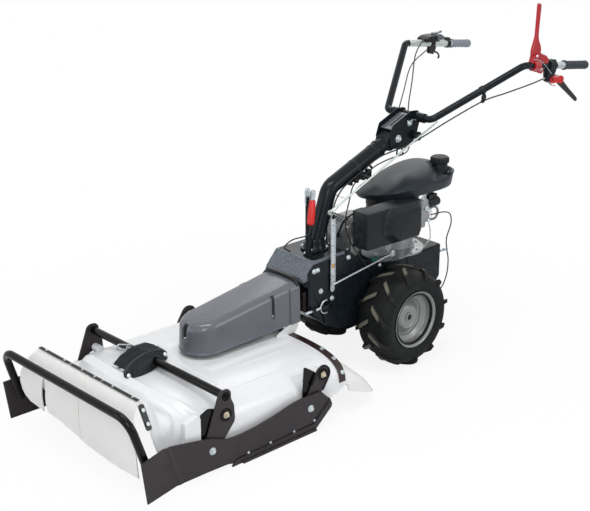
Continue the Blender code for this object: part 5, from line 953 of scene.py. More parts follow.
def cover_outer():
    """The plan outline runs down one flank, half round the nose and back; up the wall it stays, over the
    shoulder it is drawn in by a quarter circle, and the top closes on the middle line with a slight
    crown."""
    centre = COVER_NOSE + NOSE_HALF
    steps = np.concatenate([np.arange(COVER_REAR, -0.536, -0.0009), np.arange(-0.537, -0.594, -0.004),
        np.arange(-0.595, -0.625, -0.0008), np.linspace(-0.626, centre, 64)])
    flank = (steps - COVER_REAR) / (centre - COVER_REAR)
    count = len(flank)
    turn = np.linspace(0, math.pi, 181)[1:-1]
    plan_y = np.concatenate([COVER_REAR + (centre - COVER_REAR) * flank, centre - NOSE_HALF * np.sin(turn),
        steps[::-1]])
    side = np.concatenate([np.ones(count), np.cos(turn), -np.ones(count)])
    nose = np.concatenate([np.zeros(count), np.sin(turn), np.zeros(count)])
    half = np.interp(np.minimum(plan_y, COVER_REAR), [centre, COVER_REAR], [NOSE_HALF, COVER_HALF])
    up = np.concatenate([np.linspace(0, 1, 56), np.full(20, 1.0), np.full(10, 1.0)])[:, None]
    over = np.concatenate([np.zeros(56), np.linspace(0, math.pi / 2, 21)[1:],
        np.full(10, math.pi / 2)])[:, None]
    closing = np.concatenate([np.zeros(76), np.linspace(0, 1, 11)[1:]])[:, None]
    draft = 0.0035 * up
    draw = draft + COVER_ROUND * (1 - np.cos(over))
    draw = draw + (half - draw) * closing
    x = side * (half - draw)
    y = plan_y + nose * draw
    y = np.where(nose > 0, centre - nose * (NOSE_HALF - draw), plan_y)
    top = np.interp(y, [COVER_NOSE, COVER_REAR], [0.384, 0.449])
    low = cover_foot(y)
    shoulder = top - COVER_ROUND
    z = low + (shoulder - low) * up + COVER_ROUND * np.sin(over) + 0.0025 * closing * (2 - closing) - 0.0026
    return np.stack([x, y, z], -1), side, nose


def cover_shell():
    """Relief on the wall: the nose slot and its lip, the side slots and their borders, the groove and the
    step near the rear, and the foot's bead."""
    points, side, nose = cover_outer()
    square = normals(points)
    square *= np.sign((square[30, 20] @ np.array([1, 0, 0])))
    x, y, z = points[..., 0], points[..., 1], points[..., 2]
    turn = np.degrees(np.arctan2(-(y - (COVER_NOSE + NOSE_HALF)), x))
    in_nose = nose[None] > 0.02
    row = np.arange(len(z))[:, None]
    slot = window(turn, 83, 94.5, 1.2) * window(z, 0.32, 0.374, 0.003) * in_nose
    lip = window(turn, 79.5, 98.0, 2.0) * window(z, 0.314, 0.38, 0.004) * in_nose
    height = 0.0034 * lip - 0.013 * slot
    wall = (np.abs(side)[None] > 0.999) * (row < 72)
    on_wall = wall * (1 - ramp(row, 63, 66))
    cut = window(y, -0.616, -0.603, 0.0006) * window(z, 0.331, 0.44, 0.001) * on_wall
    border = window(y, -0.6205, -0.5985, 0.0015) * (1 - ramp(row, 66, 72)) * ramp(z, 0.325, 0.328) * wall
    height += 0.0022 * border - 0.012 * cut
    low_wall = 1 - ramp(row, 60, 68)
    height += (0.0042 * ramp(y, -0.523, -0.5212) - 0.003
        * window(y, -0.529, -0.525, 0.0012)) * low_wall * wall
    height += 0.0015 * window(z - cover_foot(y), -0.01, 0.004, 0.002)
    height -= 0.0018
    outer = points + square * height[..., None]
    outer[-1, :, 0] = 0.0
    inner = outer - square * 0.003
    inner[-1, :, 0] = 0.0
    return shell(outer, inner, last_row=False)


piece("belt_cover_shell", cover_shell(), COVER, "mower", ["belt_cover"], angle=50)


def cover_slot_shade_and_band():
    """Dark strips down in the two side slots, following the shoulder, and in the nose slot, as painted shade
    inside them; and the dark band over the cover's rear end."""
    bow = np.linspace(0, 0.86, 9)
    outside = [(0.0915, 0.3325)] + [(0.062 + 0.0295 * math.cos(a), 0.397 + 0.0295 * math.sin(a))
        for a in bow]
    inside = [(x - 0.0016, z - 0.0004) for x, z in outside[::-1]]
    strip = prism(outside + inside, 'Y', -0.6159, -0.6031)
    place = np.array([0, COVER_NOSE + NOSE_HALF, 0.347]) + NOSE_OUT * 0.0848
    nose_strip = laid(bent([(-0.0088, -0.027), (0.0088, -0.027), (0.0088, 0.026), (-0.0088, 0.026)], 0.003,
        4, True), place, (NOSE_OUT[1], -NOSE_OUT[0], 0), ABOVE, -0.0006, 0.0006)
    band = slab([(-0.0985, 0.42), (-0.0985, 0.43), (-0.072, 0.46), (0.072, 0.46), (0.0985, 0.43),
        (0.0985, 0.42), (0.092, 0.42), (0.065, 0.444), (-0.065, 0.444), (-0.092, 0.42)],
        [0.002, 0.004, 0.03, 0.03, 0.004, 0.002, 0.002, 0.03, 0.03, 0.002], 'Y', -0.489, -0.4756, 6)
    return join(strip, mirrored(strip), nose_strip, band)


def cover_screws():
    """One screw in the nose slot and one in each side slot."""
    place = np.array([0, COVER_NOSE + NOSE_HALF, 0.3245]) + NOSE_OUT * 0.085
    parts = [button(place, NOSE_OUT, 0.0046, 0.0055)]
    parts += [button((side * 0.092, -0.6095, 0.3375), (side, 0, 0), 0.004, 0.0042) for side in BOTH]
    return join(*parts)


# The strips in the slots are painted shade; the band at the rear is a dark part of the cover.
piece("belt_cover_slot_shade_and_band", cover_slot_shade_and_band(), CABLE, "mower", bevel=0.0003)
piece("belt_cover_screws", cover_screws(), ZINC, "mower")


# Lift frame, arms, skids and front bar

ARM_IN, ARM_OUT = 0.3865, 0.3925
SKID_IN, SKID_OUT = 0.397, 0.403
FRONT_FOOT, REAR_FOOT = (-1.172, 0.096), (-0.706, 0.096)
TUBE_Z = 0.276

FRONT_ARM = bent([(-1.126, 0.302), (-1.206, 0.098), (-1.196, 0.068), (-1.15, 0.068), (-1.058, 0.172),
    (-1.062, 0.232), (-1.076, 0.262), (-1.074, 0.302)], [0.024, 0.03, 0.018, 0.02, 0.034, 0.03, 0.03, 0.024],
    8, True)
REAR_ARM = link((REAR_PIVOT, PIVOT_Z), 0.037, REAR_FOOT, 0.028, 20)


def recess_ring(centre, side, radius):
    """A pressed ring round a bolt: a rounded outer rim and a shallow dish inside it."""
    profile = [(0, -0.001), (radius, -0.001), (radius, 0.002), (radius * 0.97, 0.0034),
        (radius * 0.86, 0.0034), (radius * 0.8, 0.0016), (radius * 0.76, 0.0003), (0, 0.0003)]
    return turned(profile, centre, (side, 0, 0), 36)


arm = prism(FRONT_ARM, 'X', ARM_IN, ARM_OUT)
cross_tube = stick((-0.388, FRONT_PIVOT, TUBE_Z), (0.388, FRONT_PIVOT, TUBE_Z), 0.015, 32, 0.001)
piece("lift_frame_arms", join(arm, mirrored(arm)), SKID, "lift_frame", ["lift_frame"],
    bevel=0.0014, segments=3)
piece("lift_cross_tube", cross_tube, GLOSS_BLACK, "lift_frame")


def lift_rings():
    """Pressed rings round the frame's pivots and its tube ends, with a hollow hexagon in each tube end."""
    parts = []
    for side in BOTH:
        parts.append(recess_ring((side * ARM_OUT, FRONT_PIVOT, PIVOT_Z), side, 0.025))
        parts.append(recess_ring((side * ARM_OUT, FRONT_PIVOT, TUBE_Z), side, 0.0165))
        parts.append(turned([(0, 0), (0.0092, 0), (0.0092, 0.005), (0.0062, 0.005), (0.0052, 0.001),
            (0, 0.001)], (side * (ARM_OUT + 0.0003), FRONT_PIVOT, TUBE_Z), (side, 0, 0), 6))
    return join(*parts)


piece("lift_frame_rings", lift_rings(), GLOSS_BLACK, "lift_frame")


def arm_foot_bolts(foot):
    """Hexagon heads outside the skids, and the shanks between skid and arm."""
    parts = []
    for side in BOTH:
        parts.append(hex_bolt((side * SKID_OUT, *foot), (side, 0, 0), 0.01))
        parts.append(stick((side * (ARM_IN + 0.001), *foot), (side * SKID_OUT, *foot), 0.0078, 20))
    return join(*parts)


piece("front_skid_bolts", arm_foot_bolts(FRONT_FOOT), ZINC, "lift_frame")
piece("rear_skid_bolts", arm_foot_bolts(REAR_FOOT), ZINC, "rear_arms")


def rear_arm(side):
    """Two circles joined by their flanks, given the arm's thickness."""
    return on_side(prism(REAR_ARM, 'X', ARM_IN, ARM_OUT), side)


def rear_rims():
    """On each rear arm's head a round rib along its rim, and the pressed ring round its bolt."""
    parts = []
    foot = np.array(REAR_FOOT)
    head = np.array([REAR_PIVOT, PIVOT_Z])
    heading = math.degrees(math.atan2(*(foot - head)[::-1]))
    for side in BOTH:
        line = arc(head, 0.033, heading + 95, heading + 265, 40)
        tail = np.vstack([line[:1] + (foot - head) * 0.42, line, line[-1:] + (foot - head) * 0.42])
        route = upright(tail, side * (ARM_OUT + 0.0006))
        parts.append(tube(filled(route, 0.004), 0.0036, 12))
        parts.append(recess_ring((side * ARM_OUT, REAR_PIVOT, PIVOT_Z), side, 0.0235))
    return join(*parts)


for word, side in SIDES:
    piece(word + "_rear_arm_plate", rear_arm(side), SKID, "rear_arms",
        [word + "_rear_arm"], bevel=0.0014, segments=3)
piece("rear_arm_rims", rear_rims(), GLOSS_BLACK, "rear_arms")

SKID_TOP = [(-1.486, 0.171), (-1.38, 0.182), (-1.352, 0.18), (-1.191, 0.148), (-1.102, 0.118),
    (-0.996, 0.116), (-0.88, 0.13), (-0.774, 0.149), (-0.653, 0.147), (-0.603, 0.1)]
SKID_LOW = [(-1.466, 0.015), (-1.33, 0.024), (-1.3, 0.022), (-1.191, 0.021), (-1.102, 0.018), (-1.04, 0.0),
    (-0.88, 0.0), (-0.774, 0.0), (-0.683, 0.0), (-0.593, 0.076)]


def skid_plate(side):
    """Lines between the top edge's points and the lower edge's, with the flare's offset in x ahead of the
    crease."""
    top, low = np.array(SKID_TOP), np.array(SKID_LOW)
    station = np.array([0, 0.5, 1, 1.5, 2, 3, 4, 4.5, 5, 5.5, 6, 6.5, 7, 7.5, 8, 8.5, 9])
    fine = np.unique(np.concatenate([station, np.linspace(2, 8, 61)]))
    keys = np.arange(10)
    rounded = spline(top[2:9], 400)
    edge, foot = (np.stack([np.interp(fine, keys, line[:, i]) for i in range(2)], 1) for line in (top, low))
    middle = (fine > 2) & (fine < 8)
    edge[middle, 1] = np.interp(edge[middle, 0], rounded[:, 0], rounded[:, 1])
    flare = np.interp(fine, [0, 1, 1.25, 1.75, 2, 9], [0.02, 0.0022, 0.0034, 0.0034, 0.0, 0.0])
    share = np.linspace(0, 1, 9)[:, None, None]
    flat = foot[None] + (edge - foot)[None] * share
    outer = np.concatenate([np.broadcast_to((SKID_OUT + flare)[None, :, None], flat.shape[:2] + (1,)), flat],
        -1)
    inner = outer - (0.0058, 0, 0)
    return on_side(shell(outer, inner), side)


def skid_sole(side):
    """The sole under the plate, and the wear shoe that stands a little proud along the plate's foot."""
    shoe = slab([(-1.096, 0.0012), (-0.684, 0.0012), (-0.598, 0.071), (-0.612, 0.092), (-0.692, 0.0275),
        (-1.066, 0.0225)], 0.004, 'X', SKID_OUT - 0.001, SKID_OUT + 0.0034, 3)
    sole = block((SKID_IN - 0.04, -1.04, 0.0003), (SKID_OUT + 0.0115, -0.683, 0.0078))
    return on_side(join(shoe, sole), side)


def skid_lines(side):
    """The dark joint above the shoe, which turns up behind the plate's rear end."""
    line = slab([(-1.066, 0.0225), (-0.694, 0.0275), (-0.6145, 0.09), (-0.607, 0.108), (-0.615, 0.11),
        (-0.623, 0.095), (-0.6985, 0.0335), (-1.066, 0.028)], 0.0016, 'X', SKID_OUT - 0.001,
        SKID_OUT + 0.0012, 3)
    return on_side(line, side)


def skid_small_bolts(side):
    """Four small hexagon bolts along the joint."""
    places = ((-1.01, 0.03), (-0.905, 0.031), (-0.79, 0.0325), (-0.688, 0.042))
    return join(*[hex_bolt((side * (SKID_OUT + 0.0008), y, z), (side, 0, 0), 0.0038) for y, z in places])


for word, side in SIDES:
    piece(word + "_skid_plate", skid_plate(side), SKID, "skids", [word + "_skid"],
        bevel=0.0012, segments=3, angle=14)
    piece(word + "_skid_sole", skid_sole(side), SKID, "skids", bevel=0.001)
    piece(word + "_skid_joint", skid_lines(side), GLOSS_BLACK, "skids")
    piece(word + "_skid_small_bolts", skid_small_bolts(side), ZINC, "skids")


def front_bar():
    """A round bar bent twice by 62 mm arcs: up from one skid, across and down to the other."""
    low, high = (0.389, -1.432, 0.105), (0.377, -1.497, 0.317)
    corners = [low, high, (-high[0], high[1], high[2]), (-low[0], low[1], low[2])]
    return tube(filled(bent(corners, 0.062, 24), 0.02), 0.015, 28)


piece("front_round_bar", front_bar(), GLOSS_BLACK, "skids", ["front_bar"], angle=60)


# Height latch

LEAF_FROM, LEAF_TO = np.array([0.012, -1.226, 0.261]), np.array([-0.002, -1.054, 0.285])
LEAF_ALONG = unit(LEAF_TO - LEAF_FROM)
LATCH_PIN = (-1.13, 0.3)
LEAF_OVER = unit(np.cross(LEAF_ALONG, np.cross((-0.42, 0.0, 0.9), LEAF_ALONG)))


def leaf(upper, lower, inset=0.0):
    """Outline of two arcs that meet near the latch's two bolts, in the leaf's own plane."""
    reach = np.linalg.norm(LEAF_TO - LEAF_FROM)
    t = np.linspace(0, math.pi, 31)[:, None]
    run = inset + (reach - 2 * inset) * (1 - np.cos(t)) / 2
    arcs = np.hstack([run, upper * np.sin(t) ** 0.85]), np.hstack([run[::-1], -lower * np.sin(t) ** 0.85])
    return np.vstack([arcs[0][:-1], arcs[1][:-1]])


def leaf_line(outline, height):
    """The leaf's own two measures turned into places, lifted off its face by the height."""
    face = unit(np.cross(LEAF_ALONG, LEAF_OVER))
    return LEAF_FROM + outline[:, :1] * LEAF_ALONG + outline[:, 1:] * LEAF_OVER + face * height


def latch_housing():
    """The arched base and the leaf-shaped face that leans on it."""
    base = slab([(-1.204, 0.2512), (-1.206, 0.262), (-1.172, 0.286), (-1.112, 0.304), (-1.062, 0.303),
        (-1.03, 0.286), (-1.026, 0.2512)], 0.007, 'X', -0.1148, -0.02)
    face = laid(leaf(0.043, 0.0255, -0.01), LEAF_FROM, LEAF_ALONG, LEAF_OVER, -0.022, 0.002)
    return join(base, face)


def latch_ribs():
    """Raised rings on the leaf's face and ribs over the base."""
    parts = []
    for upper, lower, inset in ((0.0395, 0.0225, -0.002), (0.032, 0.0165, 0.014), (0.0235, 0.0105, 0.034)):
        parts.append(tube(leaf_line(leaf(upper, lower, inset), 0.0022), 0.0015, 8, ring=True))
    for x in (-0.04, -0.054, -0.068, -0.082, -0.096):
        line = bent([(-1.203, 0.258), (-1.172, 0.2865), (-1.112, 0.3045), (-1.062, 0.3035), (-1.031, 0.286)],
            0.012, 5)
        parts.append(tube(upright(line, x), 0.0022, 8))
    return join(*parts)


piece("latch_housing", latch_housing(), BLACK_PLASTIC, "mower", ["height_latch"],
    bevel=0.0045, segments=4)
piece("latch_housing_ribs", latch_ribs(), BLACK_PLASTIC, "mower")


def latch_bolts():
    """The leaf's two domed bolts, the two foot blocks in front and the pin that the lever turns on."""
    face = np.cross(LEAF_ALONG, LEAF_OVER)
    bolts = [button(leaf_line(np.array([[run, 0.002]]), 0.002)[0], face, 0.0088, 0.0045)
        for run in (-0.002, 0.175)]
    feet = [block((x, -1.219, 0.2512), (x + width, -1.202, 0.26))
        for x, width in ((-0.104, 0.024), (-0.062, 0.022))]
    return join(*bolts, *feet, stick((-0.1245, *LATCH_PIN), (-0.112, *LATCH_PIN), 0.0034, 16))


piece("latch_housing_bolts", latch_bolts(), ZINC, "mower")


def latch_loop():
    """A long loop of flat bar, its foot round the pivot pin."""
    line = link(LATCH_PIN, 0.0095, (-1.172, 0.314), 0.0095, 24)
    route = upright(line, -0.1192)
    section = circle(12) * (0.0032, 0.0026)
    foot = turned([(0.0042, -0.0026), (0.01, -0.0026), (0.01, 0.0026), (0.0042, 0.0026)],
        (-0.1192, *LATCH_PIN), LEFT, 28, True)
    return join(carried(route, section, 1.0, True, True), foot)


piece("latch_loop_lever", latch_loop(), ZINC, "latch_lever", ["latch_lever"], bevel=0.0005)


# Wheels

WHEEL_X, WHEEL_Z = 0.205, 0.204
TYRE_HALF, TREAD = 0.0825, 0.19
LUGS = 11
CARCASS = [(0.1012, 0.069), (0.109, 0.0702), (0.1185, 0.0722), (0.129, 0.077), (0.14, 0.0808),
    (0.152, 0.0822), (0.164, 0.0816), (0.1745, 0.0768), (0.182, 0.069), (0.1868, 0.056), (0.1895, 0.032),
    (TREAD, 0.0)]


def tyre_carcass(side):
    """The outer profile both ways from the middle, a faint ring on the wall, and the liner inside."""
    outer = spline(CARCASS, 60)
    outer[:, 1] += 0.0007 * np.exp(-((outer[:, 0] - 0.133) / 0.0012) ** 2)
    outer[:, 1] += 0.0005 * np.exp(-((outer[:, 0] - 0.148) / 0.0008) ** 2)
    whole = np.vstack([outer, (outer[:-1] * (1, -1))[::-1]])
    liner = np.array([(0.1012, -0.06), (0.15, -0.07), (0.172, -0.05), (0.176, 0), (0.172, 0.05),
        (0.15, 0.07), (0.1012, 0.06)])
    return turned(np.vstack([whole, liner]), (side * WHEEL_X, 0, WHEEL_Z), LEFT, 120, True)


def tyre_lugs(side):
    """Slanted bars in two rows: each runs from the middle line over the shoulder and fades on the wall."""
    share = np.array([0.03, 0.1, 0.22, 0.36, 0.52, 0.68, 0.82, 0.92, 0.985, 1.02, 1.03, 1.02])
    over = np.array([0.2035, 0.204, 0.2038, 0.2032, 0.2022, 0.201, 0.199, 0.1962, 0.19, 0.18, 0.171, 0.164])
    under = np.array([0.186, 0.186, 0.186, 0.186, 0.185, 0.183, 0.18, 0.176, 0.172, 0.168, 0.164, 0.16])
    inside = np.array([0.03, 0.1, 0.22, 0.36, 0.52, 0.66, 0.78, 0.86, 0.9, 0.92, 0.93, 0.94])
    half = np.array([0.05, 0.051, 0.052, 0.052, 0.051, 0.05, 0.048, 0.046, 0.042, 0.036, 0.028, 0.02])
    turn = 0.3 * np.minimum(share, 1) / 0.94
    parts, masks = [], []
    for row in (-1, 1):
        for k in range(LUGS):
            start = TURN * (k + (0.5 if row > 0 else 0)) / LUGS - TURN / 4
            lines = []
            for spread, radius, width in ((-1.28, under, inside), (-1.0, over - 0.0022, share),
                    (-0.86, over, share), (0.86, over, share), (1.0, over - 0.0022, share),
                    (1.28, under, inside)):
                angle = start + turn + half * spread
                lines.append(np.stack([side * WHEEL_X + row * width * TYRE_HALF, radius * np.cos(angle),
                    WHEEL_Z + radius * np.sin(angle)], 1))
            ring = np.stack(lines, 1)
            ends = [np.broadcast_to(ring[i].mean(0), (1, 6, 3)) for i in (0, -1)]
            parts.append(grid(np.concatenate([ends[0], ring, ends[1]]), False, True))
            mark = np.zeros((14, 6))
            mark[1:6, 2:4] = 1.0 if row == side else 0.85
            masks.append(mark.ravel())
    return join(*parts), np.concatenate(masks)


def rim_shape(side):
    """Rolled flanges, bead seats, well, a dished disc with a raised ring, and the hub."""
    skin = [(0.1148, 0.077), (0.1172, 0.0785), (0.1184, 0.077), (0.1176, 0.0742), (0.111, 0.0712),
        (0.1078, 0.068), (0.1062, 0.043), (0.085, 0.029), (0.084, 0.026), (0.084, -0.026), (0.085, -0.029),
        (0.1003, -0.042), (0.1005, -0.068), (0.103, -0.07), (0.1172, -0.0748), (0.1184, -0.077),
        (0.1172, -0.0785), (0.1148, -0.077)]
    back = [(0.106, -0.0715), (0.0975, -0.068), (0.0968, -0.043), (0.0812, -0.029)]
    disc = [(0.0806, 0.012), (0.074, 0.0105), (0.066, 0.015), (0.056, 0.027), (0.046, 0.0305),
        (0.021, 0.031), (0.0208, -0.032), (0.013, -0.033), (0.013, 0.04), (0.0135, 0.0418), (0.0185, 0.042),
        (0.0195, 0.0408), (0.02, 0.0368), (0.03, 0.0362), (0.042, 0.035), (0.045, 0.0362), (0.0475, 0.0382),
        (0.05, 0.0372), (0.053, 0.033), (0.064, 0.025), (0.072, 0.0185), (0.077, 0.019), (0.0806, 0.024)]
    front = [(0.0812, 0.029), (0.099, 0.039), (0.1018, 0.043), (0.1035, 0.064), (0.108, 0.069),
        (0.1122, 0.0745)]
    profile = np.array(skin + back + disc + front)
    profile[:, 1] *= side
    return turned(profile, (side * WHEEL_X, 0, WHEEL_Z), LEFT, 96, True)


for word, side in SIDES:
    lugs, lug_mask = tyre_lugs(side)
    piece(word + "_tyre_carcass", tyre_carcass(side), TYRE, "wheels", [word + "_tyre"])
    piece(word + "_tyre_lugs", lugs, TYRE, "wheels", mask=lug_mask, angle=40)
    piece(word + "_rim_shell", rim_shape(side), RIM, "wheels", [word + "_rim"], angle=50)


def hub_ends(profile, x, ring):
    """The axle's end seen in each hub: a profile turned round the axle, as a ring or as a solid."""
    return join(*[turned(profile, (side * x, 0, WHEEL_Z), (side, 0, 0), 30, ring) for side in BOTH])


end_ring = [(0.0118, 0), (0.015, 0), (0.015, 0.0032), (0.0138, 0.0042), (0.0118, 0.0042)]
end_plug = [(0, 0), (0.012, 0), (0.012, 0.0016), (0, 0.0016)]
piece("axle_end_rings", hub_ends(end_ring, 0.2422, True), STEEL, "wheels")
piece("axle_end_plugs", hub_ends(end_plug, 0.2428, False), GLOSS_BLACK, "wheels")


# Chassis

SIDE_SHEET = 0.1115


def chassis_plates():
    """Two side plates with rounded corners, the engine bed between them and the rear plate."""
    outline = bent([(-0.44, 0.322), (-0.44, 0.47), (-0.41, 0.497), (-0.345, 0.5), (-0.205, 0.5),
        (-0.155, 0.458), (-0.075, 0.428), (0.0, 0.4047), (0.335, 0.4047), (0.335, 0.262), (0.305, 0.226),
        (0.215, 0.262), (0.06, 0.262), (-0.09, 0.19), (-0.262, 0.19), (-0.35, 0.232)],
        [0.012, 0.01, 0.016, 0.004, 0.02, 0.03, 0.06, 0.03, 0.008, 0.01, 0.012, 0.05, 0.06, 0.05, 0.04,
        0.03], 5, True)
    plate = prism(outline, 'X', 0.108, 0.112)
    bed = block((-0.1085, -0.01, 0.3985), (0.1085, 0.334, 0.4044))
    rear = block((-0.1085, 0.331, 0.264), (0.1085, 0.3348, 0.403))
    return join(plate, mirrored(plate), bed, rear)


def chassis_folds():
    """Raised sheets: the rear box's panel with its notch, the doubling plate under the hood and the
    slanting brace between them."""
    parts = []
    panel = slab([(0.12, 0.398), (0.33, 0.398), (0.33, 0.35), (0.308, 0.35), (0.308, 0.344), (0.33, 0.344),
        (0.33, 0.268), (0.302, 0.236), (0.23, 0.262), (0.15, 0.3)], 0.004, 'X', SIDE_SHEET, 0.114, 3)
    double = slab([(-0.436, 0.436), (-0.436, 0.33), (-0.352, 0.242), (-0.345, 0.242), (-0.345, 0.436)],
        0.008, 'X', SIDE_SHEET, 0.1132)
    brace = slab([(-0.25, 0.42), (-0.15, 0.455), (-0.072, 0.425), (0.0, 0.402), (0.118, 0.398),
        (0.118, 0.384), (-0.01, 0.384), (-0.1, 0.404), (-0.236, 0.404)], 0.006, 'X', SIDE_SHEET, 0.113)
    for shape in (panel, double, brace):
        parts += [shape, mirrored(shape)]
    return join(*parts)


def chassis_opening_shade():
    """Dark marks on the rear box's side, painted shade in place of its openings: an upright notch that
    meets a level one, and a round hole.
    """
    parts = []
    for side in BOTH:
        for low, high in (((0.252, 0.348), (0.2555, 0.386)), ((0.2555, 0.349), (0.282, 0.3525))):
            parts.append(block((side * 0.114 - 0.0002, low[0], low[1]),
                (side * 0.114 + 0.0004, high[0], high[1])))
        parts.append(turned([(0, 0), (0.0045, 0), (0.0045, 0.0005), (0, 0.0005)], (side * 0.114, 0.302, 0.3),
            (side, 0, 0), 20))
    return join(*parts)


def latch_recess():
    """The raised oval rim round the latch's pull and the guide that its rod slides in."""
    line = bent([(-0.392, 0.332), (-0.392, 0.298), (-0.3, 0.298), (-0.3, 0.332)], 0.0165, 8, True)
    rim = tube(filled(upright(line, 0.1122), 0.006), 0.0022, 10, True)
    guide = join(block((SIDE_SHEET, -0.4325, 0.3215), (0.1325, -0.4155, 0.3258)),
        block((SIDE_SHEET, -0.4325, 0.3042), (0.1325, -0.4155, 0.3085)),
        block((0.1295, -0.4325, 0.3042), (0.1328, -0.4155, 0.3258)))
    return rim, guide


recess_rim, latch_guide_shape = latch_recess()
piece("chassis_plates", chassis_plates(), BLUE_BLACK, "chassis", ["chassis_frame"],
    bevel=0.0014)
piece("chassis_panels", chassis_folds(), BLUE_BLACK, "chassis", bevel=0.0008)
# Painted shade: thin dark marks where the side's notches and hole would show dark.
piece("chassis_opening_shade", chassis_opening_shade(), CABLE, "chassis")
piece("latch_rim", recess_rim, BLUE_BLACK, "chassis")
piece("latch_guide", latch_guide_shape, BLUE_BLACK, "chassis", bevel=0.001)


def chassis_bolts():
    """Zinc hexagon bolts with washers on both side plates, and the cable clip at the rear left corner."""
    parts = []
    for y, z, size in ((-0.411, 0.473, 0.0078), (-0.392, 0.474, 0.0072), (-0.375, 0.382, 0.0078),
            (-0.313, 0.336, 0.0076), (-0.223, 0.484, 0.0076), (-0.04, 0.404, 0.0058)):
        for side in BOTH:
            parts.append(hex_bolt((side * (0.1132 if y < -0.35 and z < 0.436 else 0.113), y, z),
                (side, 0, 0), size))
    parts += [block((0.0945, 0.3346, 0.3622), (0.1095, 0.39, 0.3658)),
        block((0.0945, 0.3346, 0.35), (0.1095, 0.3374, 0.378))]
    parts += [hex_bolt((0.102, y, 0.3658), ABOVE, 0.0058) for y in (0.352, 0.372)]
    return join(*parts)


piece("chassis_bolts", chassis_bolts(), ZINC, "chassis")


def front_hood():
    """The hood: side outline with rounded edges, its flat top drawn in by a wide bevel."""
    outline = bent([(-0.466, 0.437), (-0.462, 0.452), (-0.408, 0.5115), (-0.236, 0.5115), (-0.236, 0.3975),
        (-0.419, 0.3975), (-0.424, 0.436)], [0.002, 0.004, 0.014, 0.006, 0.003, 0.003, 0.003], 6, True)
    return prism(outline, 'X', -0.1072, 0.1072)


def hood_top():
    """Smooth dark plate on the hood, which carries the column's flange."""
    return slab([(-0.101, -0.403), (0.101, -0.403), (0.101, -0.24), (-0.101, -0.24)], 0.01, 'Z', 0.5105,
        0.5119, 5)


piece("front_hood", front_hood(), HAMMERED, "chassis", ["front_cover"], bevel=0.005,
    segments=4)
piece("hood_top_plate", hood_top(), BLUE_BLACK, "chassis", bevel=0.0006)
piece("hood_side_plates", join(*[slab([(-0.424, 0.442), (-0.41, 0.496), (-0.345, 0.499), (-0.24, 0.499),
    (-0.24, 0.442)], 0.008, 'X', *pair) for pair in ((0.1119, 0.1131), (-0.1131, -0.1119))]), BLUE_BLACK,
    "chassis", bevel=0.0004)


def coil(start, end, radius, wire, turns):
    """A helix: start + axis * t * length + radius * (side * cos + other * sin)(turns * 2 pi * t)."""
    start, end = np.asarray(start, float), np.asarray(end, float)
    axis = unit(end - start)
    side = unit(np.cross(axis, (1.0, 0.0, 0.0) if abs(axis[0]) < 0.9 else (0.0, 1.0, 0.0)))
    other = np.cross(axis, side)
    t = np.linspace(0, 1, int(turns * 18))[:, None]
    angle = t * turns * TURN
    route = start + (end - start) * t + (side * np.cos(angle) + other * np.sin(angle)) * radius
    tangent = np.gradient(route, axis=0)
    tangent /= np.linalg.norm(tangent, axis=1)[:, None]
    out = side * np.cos(angle) + other * np.sin(angle)
    top = np.cross(out, tangent)
    ring = circle(8, wire)
    points = route[:, None] + ring[None, :, :1] * out[:, None] + ring[None, :, 1:] * top[:, None]
    first, last = (np.broadcast_to(points[i].mean(0), (1, 8, 3)) for i in (0, -1))
    return grid(np.concatenate([first, points, last]), False, True)


piece("front_coil", coil((0.094, -0.4475, 0.312), (0.094, -0.4475, 0.392), 0.0085, 0.0018, 9), DARK_RED,
    "chassis")


# Hitch latch

LATCH_X, LATCH_Z = 0.123, 0.315


def latch_fork():
    """A round rod and the thin C-shaped fork on its end: an arc of 224 degrees that thins towards its
    tips."""
    shank = stick((LATCH_X, -0.466, LATCH_Z), (LATCH_X, -0.384, LATCH_Z), 0.0055, 24, 0.0012)
    line = arc((-0.357, LATCH_Z), 0.027, 68, 292, 40)
    section = circle(10) * (1.0, 1.5)
    return join(shank, carried(upright(line, LATCH_X), section, rounded_end(40, 0.004, 0.1) * 0.0024))


def latch_pull():
    """A dark oval pull with a flat face."""
    outline = bent([(-0.3835, 0.3235), (-0.3835, 0.3065), (-0.3225, 0.3065), (-0.3225, 0.3235)], 0.0082, 8,
        True)
    return prism(outline, 'X', LATCH_X - 0.0068, LATCH_X + 0.0068)


piece("latch_fork", latch_fork(), ZINC, "hitch_latch", ["hitch_latch"])
piece("latch_pull", latch_pull(), GLOSS_BLACK, "hitch_latch", bevel=0.0022, segments=3)


# Engine

ENGINE = (0.0, 0.15)
BED_TOP = 0.4052


def engine_base():
    """Two round plates, the upper one further forward."""
    lower = turned([(0, 0), (0.133, 0), (0.1358, 0.0016), (0.136, 0.007), (0.134, 0.0088), (0.124, 0.0092),
        (0, 0.0092)], (*ENGINE, BED_TOP), ABOVE, 96)
    upper = turned([(0, 0), (0.148, 0), (0.15, 0.001), (0.15, 0.0042), (0.148, 0.0054), (0, 0.0054)],
        (ENGINE[0], 0.052, 0.4175), ABOVE, 96)
    return join(lower, upper)


